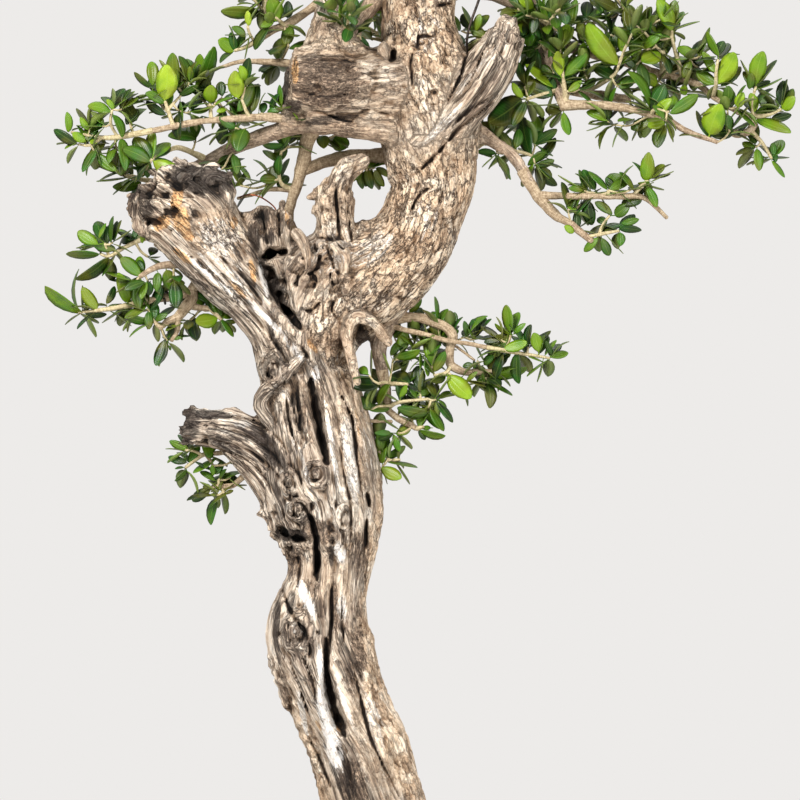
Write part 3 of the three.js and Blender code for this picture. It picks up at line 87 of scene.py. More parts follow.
FIST = [
    (-93, 0, 440, 17), (-98, -3, 458, 20), (-103, -5, 477, 21), (-112, -8, 496, 21),
    (-127, -10, 516, 21.5), (-143, -12, 536, 26), (-158, -12, 556, 30), (-173, -12, 576, 33),
    (-187, -12, 588, 28),
]
KNUCKLE = [(-152, -10, 562, 20), (-163, -10, 590, 19)]
TWISTS = [
    [(-92, -26, 563, 5), (-87, -33, 556, 4.6), (-84, -37, 548, 3.4), (-84, -38, 541, 2)],
    [(-93, -29, 522, 4), (-86, -35, 515, 5), (-77, -37, 517, 5), (-71, -37, 526, 4.4), (-74, -37, 534, 3)],
    [(-63, -35, 553, 3.4), (-57, -37, 544, 4.4), (-57, -37, 535, 4), (-62, -37, 529, 2.4)],
]
CLAWS = [
    [(-204, -20, 588, 11), (-208, -22, 578, 9), (-206, -24, 566, 5)],
    [(-182, -24, 588, 10), (-178, -30, 600, 7), (-168, -30, 609, 4)],
    [(-164, -22, 596, 10), (-155, -24, 606, 7), (-146, -22, 604, 4)],
    [(-152, -20, 584, 9), (-146, -24, 592, 7), (-144, -24, 584, 4)],
    [(-196, -18, 600, 8), (-188, -22, 607, 5), (-178, -24, 607, 3)],
]
STUB_SIDE = [(-118, -8, 540, 12), (-126, -8, 560, 11), (-124, -8, 577, 8.5)]
STUB_SPIKE = [(-106, -6, 560, 7), (-103, -6, 575, 5.5), (-103, -6, 586, 3)]
UPPER_STEM = [
    (-58, -10, 672, 26), (-66, -8, 694, 24), (-68, -4, 712, 17), (-66, 2, 734, 12), (-64, 8, 756, 9),
]
BROKEN_STUB = [(-107, -4, 538, 18), (-112, -5, 556, 16.5), (-111, -5, 575, 13)]
HOLE_STUB = [
    (-58, -14, 540, 18), (-61, -16, 565, 15), (-64, -17, 585, 14.5), (-61, -17, 600, 11),
    (-54, -16, 612, 9), (-43, -14, 618, 5),
]
HOLE_STUB_SPUR = [(-66, -17, 590, 8), (-74, -18, 591, 5), (-82, -18, 591, 2)]
SAWN_STUB = [
    (-5, -4, 668, 30), (-30, -14, 671, 30), (-60, -20, 672, 29.5), (-80, -24, 674, 28.5),
    (-98, -27, 677, 25),
]
RIGHT_JIN = [
    (4, -14, 636, 24), (24, -18, 655, 22), (42, -20, 675, 20.5), (54, -20, 692, 18),
    (61, -20, 706, 13), (65, -20, 720, 5),
]
LOWER_JIN = [
    (-92, 0, 355, 18), (-104, -4, 376, 21), (-118, -8, 396, 21), (-136, -12, 411, 18),
    (-155, -14, 417, 14), (-174, -16, 418.5, 10.5),
]
LOWER_SPUR = [(-100, -6, 352, 12), (-110, -7, 354, 7), (-121, -8, 353, 2.2)]
ARM_STRAND = [
    (-89, -33, 389, 2.5), (-98, -29, 402, 4.5), (-109, -23, 420, 5.5), (-119, -20, 434, 6),
    (-115, -22, 445, 6), (-105, -28, 455, 6), (-94, -33, 465, 4.5), (-86, -34, 473, 2),
]
LOOP_STRAND = [
    (-24, -20, 482, 4), (-31, -27, 491, 5), (-40, -32, 499, 5), (-47, -34, 501, 4.8), (-53, -34, 497, 4.6),
    (-55, -33, 488, 4.5), (-53, -32, 476, 4.4), (-50, -30, 463, 4), (-47, -27, 452, 3),
]
FRONT_KNOB = [(-16, -24, 680, 6), (-22, -28, 690, 6.5), (-27, -30, 701, 4.5)]
BULGE = [(-95, -6, 278, 13), (-99, -7, 262, 14)]
ROOTS = [
    [(-45, -10, 104, 22), (-72, -22, 82, 14), (-94, -32, 60, 7)],
    [(-22, -26, 102, 20), (-13, -52, 80, 13), (-4, -74, 58, 6)],
    [(-2, 5, 102, 20), (24, 2, 82, 14), (46, -4, 60, 7)],
    [(-38, 26, 102, 20), (-50, 50, 80, 12), (-60, 70, 58, 6)],
    [(-8, 26, 102, 18), (10, 50, 80, 12), (20, 68, 58, 6)],
]

# Each limb with how dead it is (0 bark, 1 bare wood), how far it reaches past its last point as a
# share of its radius there (None: it ends round), and how softly it melts into the rest, in mm.
LIMBS = [
    (TRUNK, 0.9, None, 0), (RIGHT_LIMB, 0.0, None, 12), (FIST, 1.0, 0.55, 9), (KNUCKLE, 0.9, 0.9, 7),
    (BROKEN_STUB, 0.8, 0.5, 6), (STUB_SIDE, 0.8, 0.2, 5), (STUB_SPIKE, 0.8, None, 4),
    *[(claw, 1.0, None, 3) for claw in CLAWS], (UPPER_STEM, 0.2, None, 9),
    (HOLE_STUB, 0.25, None, 8), (HOLE_STUB_SPUR, 0.3, None, 4),
    (SAWN_STUB, 0.4, 0.03, 10), (RIGHT_JIN, 0.95, None, 8), (LOWER_JIN, 1.0, 0.1, 9),
    (LOWER_SPUR, 1.0, None, 5), (ARM_STRAND, 0.9, None, 3), (LOOP_STRAND, 0.2, None, 3),
    (FRONT_KNOB, 0.7, None, 3), (BULGE, 0.9, None, 8),
    *[(root, 0.1, None, 14) for root in ROOTS],
]

# Right of this line, seen from the front, the trunk's bark is alive: (x, z) from the bottom up.
LIVE_EDGE = [
    (20, 40), (2, 100), (-12, 140), (-20, 160), (-32, 182), (-40, 205), (-42, 238), (-50, 256),
    (-46, 285), (-45, 300), (-40, 325), (-36, 350), (-32, 375), (-33, 400), (-38, 424), (-52, 447),
    (-72, 468), (-86, 490), (-84, 512), (-78, 540), (-70, 570),
]

# Rough, burnt or gnarled places: centre, reach, height and size of their lumps.
BURRS = [
    ((-190, -12, 590), 44, 4.8, 6.5), ((-155, -14, 600), 26, 3.2, 7), ((-112, -8, 572), 22, 2.6, 6),
    ((-176, -16, 418), 26, 3.2, 5.5), ((-74, -34, 538), 34, 3.4, 5), ((-84, -38, 348), 32, 2.6, 9),
    ((-106, -14, 338), 30, 3.0, 6), ((-106, -6, 226), 32, 1.8, 6), ((-90, -6, 172), 34, 1.8, 6),
    ((-150, -10, 428), 24, 1.8, 6), ((-62, -18, 590), 36, 2.6, 7), ((-60, -28, 674), 46, 2.6, 11),
    ((-92, -34, 268), 24, 2.2, 8), ((66, -20, 712), 22, 2.2, 6), ((0, -30, 690), 40, 1.8, 9),
]

# Ellipsoids cut out of the old wood: centre, half sizes, lean about Y in degrees.
HOLLOWS = [
    ((-108, -38, 524), (8.5, 34, 23), -27), ((-42, -24, 484), (9, 14, 13), 0),
]

# What is worked into the front of the old wood, along lines of (x, z): half width and depth of each
# groove, and half width and height of each ridge.
GROOVES = [
    (3.2, 17, [(-82, 455), (-78.5, 436), (-74, 414), (-69, 389)]),
    (6, 4, [(-95, 456), (-93, 438), (-89, 420), (-85, 402)]),
    (1.3, 5, [(-100, 440), (-98, 424), (-92, 404)]), (1.0, 4, [(-92, 455), (-91, 434), (-88, 408)]),
    (0.9, 3, [(-96, 446), (-94, 430), (-90, 414)]), (3.4, 12, [(-119, 545), (-108, 550), (-99, 549)]),
    (2.6, 10, [(-103, 510), (-95, 500), (-89, 490)]),
    (1.3, 5, [(-80, 557), (-75, 546), (-78, 536), (-88, 530)]),
    (1.1, 4, [(-90, 508), (-82, 505), (-74, 512)]), (1.0, 3.5, [(-62, 516), (-66, 506), (-60, 498)]),
    (1.2, 4.5, [(-69, 550), (-65, 540), (-67, 531), (-63, 522)]),
    (1.1, 3.5, [(-84, 524), (-79, 523), (-77, 528), (-81, 533)]),
    (1.2, 4, [(-66, 540), (-61, 532), (-62, 524)]), (1.0, 3, [(-78, 560), (-66, 558), (-54, 548)]),
    (1.6, 14, [(-70, 262), (-70.5, 246), (-69.5, 232), (-67, 222)]),
    (4.2, 22, [(-70, 236), (-67.5, 222), (-64, 209), (-60, 198), (-56, 188)]),
    (1.7, 6, [(-66, 302), (-66, 272), (-68, 256), (-69, 244)]), (1.8, 6, [(-90, 480), (-82, 469)]),
    (1.3, 4.5, [(-78, 470), (-64, 450), (-55, 435), (-50, 420), (-48, 400), (-45, 380), (-42, 366)]),
    (1.6, 5, [(-40, 371), (-38, 358)]), (1.6, 5.5, [(-40, 350), (-41, 326)]),
    (2.6, 8, [(-107, 344), (-96, 336), (-82, 334)]),
    (2.6, 12, [(-86, 358), (-79, 343), (-76.5, 322), (-77, 303)]),
    (3.5, 3.5, [(-60, 187), (-54, 165), (-50, 138)]), (1.1, 4, [(-84, 188), (-75, 170), (-66, 148)]),
    (1.3, 4, [(-50, 240), (-44, 215), (-36, 185), (-24, 160), (-14, 140)]),
    (1.2, 4, [(11, 733), (24, 736)]), (1.2, 4, [(-1, 700), (-1, 710), (11, 711), (12, 720)]),
    (1.1, 4, [(-4, 702), (-7, 690), (-5, 670)]), (1.3, 3, [(22, 640), (30, 648.6), (41, 657.4), (58, 668)]),
    (1.3, 4, [(11, 599), (0, 592), (-9, 576)]),
    (1.5, 4, [(57, 664), (40, 650), (28, 640), (15, 625), (0, 610), (-9, 604)]),
    (2.3, 9, [(-101, 507), (-87, 491)]), (2.2, 6, [(-19, 701), (-22, 690)]),
    (1.0, 2, [(-190, 562), (-152, 528), (-121, 495), (-101, 470), (-90, 450)]),
    (0.9, 1.8, [(-178, 553), (-141, 520), (-113, 488), (-95, 462)]),
    (1.0, 2, [(-162, 556), (-132, 530), (-110, 502)]),
    (1.0, 2.5, [(-150, 520), (-125, 497), (-107, 470), (-100, 448)]),
    (1.1, 2, [(-172, 411), (-142, 406), (-119, 395), (-101, 376), (-92, 352)]),
    (1.0, 1.8, [(-168, 420), (-136, 415), (-113, 401), (-97, 382)]),
    (0.9, 1.8, [(-152, 403), (-126, 392), (-109, 370)]),
    (1.0, 2, [(-160, 425), (-130, 425), (-108, 412), (-95, 396)]),
    (1.2, 3, [(-60, 420), (-58, 390), (-52, 360), (-52, 330)]),
    (1.0, 2.8, [(-66, 385), (-62, 355), (-60, 340)]),
    (1.3, 4, [(-104, 300), (-96, 280), (-84, 262), (-82, 240)]),
    (1.0, 3, [(-98, 245), (-90, 225), (-82, 200)]), (1.0, 3, [(-88, 250), (-80, 228), (-76, 210)]),
    (1.0, 3, [(-58, 300), (-58, 275), (-57, 255)]), (1.1, 3, [(-92, 330), (-90, 310), (-92, 296)]),
    (1.4, 5, [(-118, 582), (-116, 566), (-112, 550)]), (1.2, 4, [(-106, 580), (-105, 560)]),
    (1.0, 2, [(-58, 640), (-40, 655), (-20, 650)]), (0.9, 2, [(-90, 690), (-60, 692), (-35, 686)]),
    (0.9, 2, [(-88, 668), (-66, 664), (-40, 672)]), (1.0, 2.5, [(-82, 655), (-60, 648), (-30, 640)]),
    (1.1, 4, [(36, 700), (30, 680), (20, 660)]), (1.0, 3, [(48, 700), (40, 682), (28, 664)]),
    (1.3, 5, [(-64, 606), (-62, 585), (-60, 560)]), (1.0, 3, [(-56, 590), (-53, 570), (-50, 552)]),
]
RIDGES = [
    (4.0, 5, [(-127, 556), (-124, 536), (-115, 514), (-98, 492), (-81, 472), (-62, 447), (-50, 430)]),
    (2.4, 4, [(-76, 240), (-73, 205), (-67, 185), (-62, 163)]),
    (2.0, 2, [(-90, 308), (-82, 288), (-77, 278)]),
    (5.0, 4, [(-63, 248), (-59, 232), (-54, 212), (-51, 195), (-46, 180)]),
    (5.0, 3, [(-92, 203), (-83, 172), (-75, 138)]),
    (3.0, 3.5, [(22, 650), (36, 664), (50, 684), (61, 706)]),
    (3.0, 3, [(-50, 256), (-41, 236), (-36, 200), (-25, 167), (-12, 138)]),
    (2.2, 3.5, [(-98, 548), (-100, 536), (-95, 522)]), (2, 3, [(-70, 560), (-76, 552), (-74, 543)]),
    (3.0, 3, [(-196, 566), (-165, 537), (-133, 508), (-111, 480), (-98, 455)]),
    (2.5, 2.5, [(-172, 562), (-140, 530), (-116, 500), (-96, 472)]),
    (3.0, 3, [(-70, 392), (-64, 360), (-60, 330), (-60, 305)]),
    (2.6, 2.6, [(-84, 410), (-86, 385), (-84, 362)]), (3, 2, [(-116, 420), (-102, 396), (-95, 372)]),
    (3.0, 1.6, [(-165, 415), (-136, 410), (-114, 396), (-99, 374)]),
]

# Knots, seen from the front: x, z, half width, half height, how far they stand out, how dark they are.
KNOTS = [
    (-110, 461, 5.5, 8, 3.5, 0.6), (-98, 377, 6, 8, 3.5, 0.6), (-78, 383.5, 7.5, 8.5, 3.5, 0.5),
    (-91, 357, 6.5, 6.5, 4, 0.6), (-56, 352, 5.5, 9.5, 3, 0.5), (-92, 266, 9.5, 12, 3, 0.15),
    (-168, 577, 6, 6, -2.5, 0.9), (-46, 664, 5, 6, -1.5, 0.5), (10, 668, 5, 4, -1.2, 0.35),
    (-84, 343, 4, 5, 3, 0.4), (-66, 338, 5, 8, 2.5, 0.3),
]

# Stains by colour, seen from the front: x, z, half width, half height, lean in degrees, strength.
# The dark ones are partly charred and rotten wood and partly painted shade in the hollows, recesses and deep
# slits.
# Those of bark show where bark is left on bare wood.
STAINS_AND_SHADE = {
    "orange": [
        (-181, 589, 5.5, 12, -14, 1), (-178, 573, 8, 13, 18, 1), (-192, 571, 9, 6, 30, 1),
        (-173, 561, 5, 7, 42, 0.9), (-177, 546, 3.5, 12, 48, 0.9), (-93, 684, 3.5, 12, 0, 1),
        (-136, 521, 2.5, 11, 45, 0.9), (-81, 479, 2.5, 8, 38, 0.8), (-125, 535, 3, 14, 8, 0.8),
        (-139, 571, 4, 6, 0, 0.8), (-99, 578, 3, 12, 0, 0.7), (-116, 500, 2.5, 12, 45, 0.6),
        (-60, 196, 3.5, 6, 0, 0.8), (-76, 196, 3, 10, 10, 0.5), (8, 628, 5, 12, 20, 0.3),
        (10, 712, 6, 16, 0, 0.3), (-46, 420, 3, 20, 8, 0.4), (-174, 410, 5, 5, 0, 0.5)],
    "dark": [
        (-207, 587, 13, 19, 0, 0.7), (-164, 603, 31, 13, -8, 1), (-150, 598, 8, 12, 0, 0.7),
        (-101, 677, 4, 24, 0, 1), (-94, 658, 8, 6, 0, 0.9), (-66, 648, 26, 5, 8, 0.7),
        (-180, 421, 19, 25, 0, 1), (-158, 428, 22, 4, -4, 0.9), (-110, 526, 6, 27, 27, 1),
        (-136, 548, 3, 14, 20, 0.6), (-118, 576, 8, 8, 0, 0.75), (-124, 560, 6, 15, 8, 0.8),
        (-112, 560, 8, 7, 0, 0.6), (-100, 590, 3, 8, 0, 0.5), (-43, 486, 7, 9, 0, 0.9),
        (-92, 430, 6, 24, 10, 0.6), (-113, 403, 8, 27, 38, 1), (-140, 412, 26, 5, -8, 0.6),
        (-128, 414, 2, 16, 55, 0.7), (-146, 404, 3, 20, 66, 0.7), (-150, 416, 16, 3, -6, 0.6),
        (-104, 366, 5, 14, 25, 0.7), (-96, 338, 16, 6, 0, 0.9), (-86, 350, 10, 7, 0, 0.6),
        (30, 650, 24, 2.5, 40, 0.6), (-107, 270, 3, 22, -4, 0.85), (-97, 288, 4, 12, -12, 0.6),
        (-54, 352, 5, 12, 0, 0.5), (-160, 535, 2, 26, 47, 0.5), (-124, 512, 2, 26, 44, 0.45),
        (-106, 478, 3, 24, 25, 0.75), (-77, 322, 4, 22, 0, 0.8), (-66, 326, 3, 16, 0, 0.7),
        (-60, 600, 6, 16, -8, 0.5), (-62, 160, 5, 20, 12, 0.6), (-105, 462, 9, 12, 0, 0.5),
        (-88, 690, 14, 5, 0, 0.5), (-70, 664, 24, 3, 6, 0.5), (-52, 152, 6, 16, 10, 0.7),
        (-106, 250, 3, 16, 8, 0.7)],
    "brown": [
        (-84, 425, 8, 30, 8, 0.6), (-92, 266, 13, 15, 0, 0.5), (-50, 152, 13, 24, 10, 1),
        (-82, 160, 5, 26, 12, 0.7), (-72, 340, 20, 12, 0, 0.7), (-44, 320, 8, 30, 0, 0.6),
        (-64, 285, 4, 26, 0, 0.8), (-102, 222, 5, 26, 12, 0.7), (-70, 676, 34, 26, 0, 1),
        (-95, 318, 10, 16, 0, 0.8), (-100, 350, 12, 10, 0, 0.6), (-60, 594, 13, 24, 0, 0.5),
        (-78, 536, 14, 14, 0, 0.5), (-60, 640, 20, 14, 0, 0.6), (-46, 250, 8, 24, 4, 0.8),
        (-84, 300, 12, 8, 0, 0.6), (-113, 572, 16, 18, 0, 0.7), (-52, 228, 6, 20, 12, 0.6)],
    "pale": [
        (-150, 558, 20, 22, 30, 0.65), (-138, 528, 15, 46, 45, 0.6), (-66, 548, 26, 20, 20, 0.5),
        (-156, 531, 3, 36, 48, 0.9), (-114, 499, 3, 26, 47, 0.95), (-117, 528, 3, 20, 14, 1),
        (-95, 478, 4, 18, 38, 0.8), (-85, 291, 5.2, 21, 24, 1), (-74, 238, 3.5, 24, 4, 1),
        (-72, 214, 7, 24, 5, 1), (-68, 194, 7, 14, 9, 1), (-63.5, 178, 8.5, 21, 11, 1),
        (-92, 268, 6, 8, 10, 0.5), (-56, 212, 2.5, 24, 20, 1), (-58, 284, 5, 14, 2, 0.7),
        (-66, 405, 3, 48, 9, 0.75), (-52, 395, 7, 44, 7, 0.75), (-38, 410, 12, 46, 6, 0.4),
        (-131, 421, 10, 4, 8, 0.75), (-60, 325, 6, 10, 12, 1), (-84, 380, 3, 30, 14, 0.5),
        (-104, 445, 4, 12, 40, 0.6), (-78, 458, 5, 9, 10, 0.85), (40, 682, 4, 30, -38, 0.6),
        (18, 645, 4, 28, -45, 0.7), (-35, 552, 26, 12, 40, 0.6), (4, 575, 12, 26, -15, 0.45),
        (4, 712, 15, 24, 0, 0.45), (-34, 196, 8, 34, 14, 0.6), (-60, 470, 5, 14, 0, 0.4),
        (-92, 405, 3, 22, 20, 0.5), (-88, 205, 3, 24, 12, 0.7), (24, 600, 9, 20, -10, 0.35),
        (6, 640, 12, 12, 0, 0.35), (-44, 300, 4, 12, 0, 0.4)],
    "bark": [
        (-148, 562, 26, 24, 30, 1), (-50, 400, 14, 60, 6, 0.7), (-96, 205, 8, 40, 12, 0.8),
        (-60, 300, 12, 24, 0, 0.4), (-36, 180, 14, 50, 18, 0.6), (-88, 440, 9, 16, 0, 0.5)],
}

# ---------------------------------------------------------------- living branches, (x, y, z, radius)

BRANCHES = [
    # left, under the sawn stub
    [(-18, -20, 640, 12), (-40, -28, 642, 9.5), (-62, -32, 645, 9), (-82, -32, 645.5, 8.5),
     (-98, -28, 645, 7)],
    [(-88, -31, 647, 5.5), (-110, -30, 649.5, 3.4), (-130, -28, 649.3, 2.9), (-150, -26, 648, 2.6),
     (-171, -24, 645.7, 2.4), (-200, -22, 640, 2.2)],
    [(-92, -28, 644, 6.5), (-118, -14, 636, 6.2), (-137, 0, 629.5, 5.4), (-150, 10, 623, 5),
     (-160, 16, 618, 5), (-170, 22, 614.5, 4.6), (-180, 26, 609, 4), (-199, 28, 603, 2.4)],
    # the thin stem that climbs behind the hole
    [(-90, 10, 552, 6), (-99, 10, 575, 4), (-95, 9, 592, 4.2), (-89, 6, 612, 4.8), (-85, 0, 630, 5.6),
     (-80, -14, 643, 6)],
    [(-90, 6, 610, 4), (-76, 10, 616, 4.6), (-58, 13, 621, 5.2), (-38, 13, 622, 6), (-14, 10, 622, 7)],
    [(-96, 9, 597, 2.6), (-112, 8, 597, 1.8), (-126, 6, 593, 1.5), (-137, 4, 590, 1.2)],
    # left, above the sawn stub
    [(-48, -12, 680, 11), (-54, -10, 697, 8), (-56, -4, 718, 6.8), (-66, 1, 742, 6.3), (-74, 4, 762, 6),
     (-84, 8, 782, 4.6)],
    [(-12, 4, 754, 11), (-30, 4, 744, 8), (-39, 2, 731, 6.4), (-48, -4, 717, 5.4), (-54, -8, 703, 5)],
    [(-66, 2, 744, 5), (-79.5, 1, 734, 3.6), (-90, 0, 726.6, 3.3), (-101, -2, 720, 3.2),
     (-112, -3, 715.5, 3), (-121, -4, 709, 2.5)],
    [(-84, -16, 690, 4), (-103, -12, 691, 2.8), (-118, -12, 692, 2.2), (-134, -12, 692, 1.8),
     (-145, -12, 689, 1.4), (-152, -12, 687, 1)],
    # left middle, behind the fist
    [(-128, 6, 516, 9), (-150, 8, 527, 5.5), (-166, 7, 527, 4.2), (-172, 4, 520, 3.8),
     (-182, 0, 517.3, 3.3), (-193, -3, 515, 3), (-204, -4, 512.9, 2.6)],
    [(-171, 4, 520, 4), (-172, 2, 513, 4.4), (-177, 0, 507, 4.2), (-182, -2, 500.7, 3.4),
     (-189, -4, 498, 2.6), (-195.6, -5, 492, 2)],
    [(-182, -2, 501, 2.6), (-182, -2, 491, 2.1), (-186.5, -2, 483, 1.5)],
    [(-174, 2, 510, 3), (-165, 3, 508, 2.2), (-157, 3, 507.3, 1.8)],
    # lower left, under the jin
    [(-116, 2, 400, 6), (-130, 5, 398.5, 3), (-142, 6, 399.5, 2), (-151, 6, 399, 1.8),
     (-160, 6, 398.4, 1.6)],
    [(-108, 0, 390, 6), (-120, 3, 387.5, 2.8), (-128, 3, 384.7, 2.4), (-135, 3, 379, 2.3),
     (-140.5, 3, 374.6, 2.3), (-148, 2, 373.8, 2.3)],
    # middle right
    [(-34, 2, 515, 11), (-27, 2, 504, 7), (-19, 2, 500, 5), (-9.5, 0, 500.5, 4), (2, -2, 500, 3.7),
     (11, -4, 496.5, 3.6), (19, -5, 493.5, 3.5), (24.5, -5, 487, 3.5), (22.6, -4, 477, 3.4),
     (22.6, -4, 466, 3.2), (31, -3, 460.3, 3), (39, -3, 459.3, 2.7)],
    [(-32, 0, 500, 6), (-25, -1, 495, 3), (-19, -2, 493.6, 2.2), (-9.5, -6, 490.8, 2), (4, -8, 488, 1.9),
     (20, -10, 483.3, 1.8), (36, -12, 481, 1.7), (50, -12, 478, 1.6)],
    [(-32, 0, 510, 10), (-25, 1, 493, 7), (-31, 2, 479, 6.5), (-28.5, 3, 461, 5), (-26, 3, 450, 4),
     (-25, 2, 442, 3.2), (-24, 1, 430, 2.8)],
    [(-24, 1, 431, 2.8), (-16.4, 0, 424.7, 2.7), (-9.5, -2, 421.3, 2.4), (-2.6, -3, 417.3, 2.1)],
    [(-46, 2, 424, 3), (-38, 0, 423, 1.6), (-21, 0, 422.5, 1.4)],
    [(-40, 2, 391, 3), (-30, 2, 392.6, 1.4), (-20, 0, 393.6, 1.1)],
    [(27, -5, 479, 1.2), (35, -5, 473, 1.1), (41, -5, 468.4, 1)],
    # right, below the jin
    [(16, 4, 626, 16), (28, 3, 636, 11), (38, 2, 641, 8.5), (46, 0, 638.4, 6.8), (56, -2, 631.7, 5.6),
     (66, -4, 625, 5.1), (74.3, -5, 615, 4.8), (79, -6, 606.5, 4.5), (84, -7, 598, 4.3),
     (89.4, -8, 589.8, 4.1), (96, -8, 583, 4.1), (102.8, -8, 576.4, 3.6), (112.8, -8, 570.5, 3.1)],
    [(88, -8, 592, 3.2), (116, -11, 591.4, 2.6), (150, -12, 591.2, 2.4)],
    # right, above the jin: front arm, dead arm, back arm, upper arm
    [(2, 6, 746, 15), (26, 16, 751, 11), (50, 22, 750, 9.5), (74, 24, 740, 9), (90, 22, 722, 8),
     (96, 18, 700, 7), (100, 10, 682, 6), (109, 0, 659, 4.2)],
    [(106, 1, 660, 4.4), (122.9, -4, 660, 3.6), (139.6, -8, 659.3, 3.2), (156, -10, 656.8, 3),
     (173, -10, 652.6, 2.6), (186.5, -10, 648.4, 2.3)],
    [(98, 14, 690, 5), (106, 16, 675, 4.4), (122.9, 16, 670, 4), (140, 16, 667, 3.6), (158, 14, 665, 2.9)],
    [(92, 20, 714, 6), (112, 26, 705, 5), (138, 28, 698, 4.2), (165, 26, 690, 3.4), (181, 22, 684, 2.9),
     (198, 16, 680, 2.6), (210, 14, 675.2, 2.4), (220, 12, 667, 2.2), (230, 10, 660.1, 2),
     (240, 8, 654.3, 1.9)],
    [(48, 22, 750, 8), (66, 27, 757, 7), (84, 30, 762, 6), (112, 32, 768, 4.6), (134, 32, 772, 3.4)],
    [(230, 9, 642, 2.2), (237, 8, 639, 3.4), (246, 7, 640, 3.2), (252, 6, 647, 2.4)],
    # towards the back, lower down
    [(-74, 24, 500, 14), (-82, 34, 508, 10), (-88, 44, 514, 7)],
    [(6, 22, 596, 13), (12, 34, 604, 9.5), (18, 44, 612, 7)],
    [(-2, 24, 690, 12), (-7, 35, 696, 9), (-11, 44, 701, 7)],
    # crown
    [(0, 8, 768, 14), (-16, 12, 779, 10.5), (-30, 14, 788, 8), (-46, 15, 796, 6.4)],
    [(3, 8, 780, 13), (20, 12, 789, 10), (36, 14, 795, 8), (50, 15, 800, 6.4)],
    [(4, 6, 800, 10), (0, -8, 808, 8.4), (-5, -20, 816, 6.8)],
    [(6, 6, 806, 10), (10, 18, 813, 8.2), (14, 28, 820, 6.6)],
]

# ---------------------------------------------------------------- sprays
#
# For each spray its stems, the first of them grown from a branch: (x, y, z, radius).

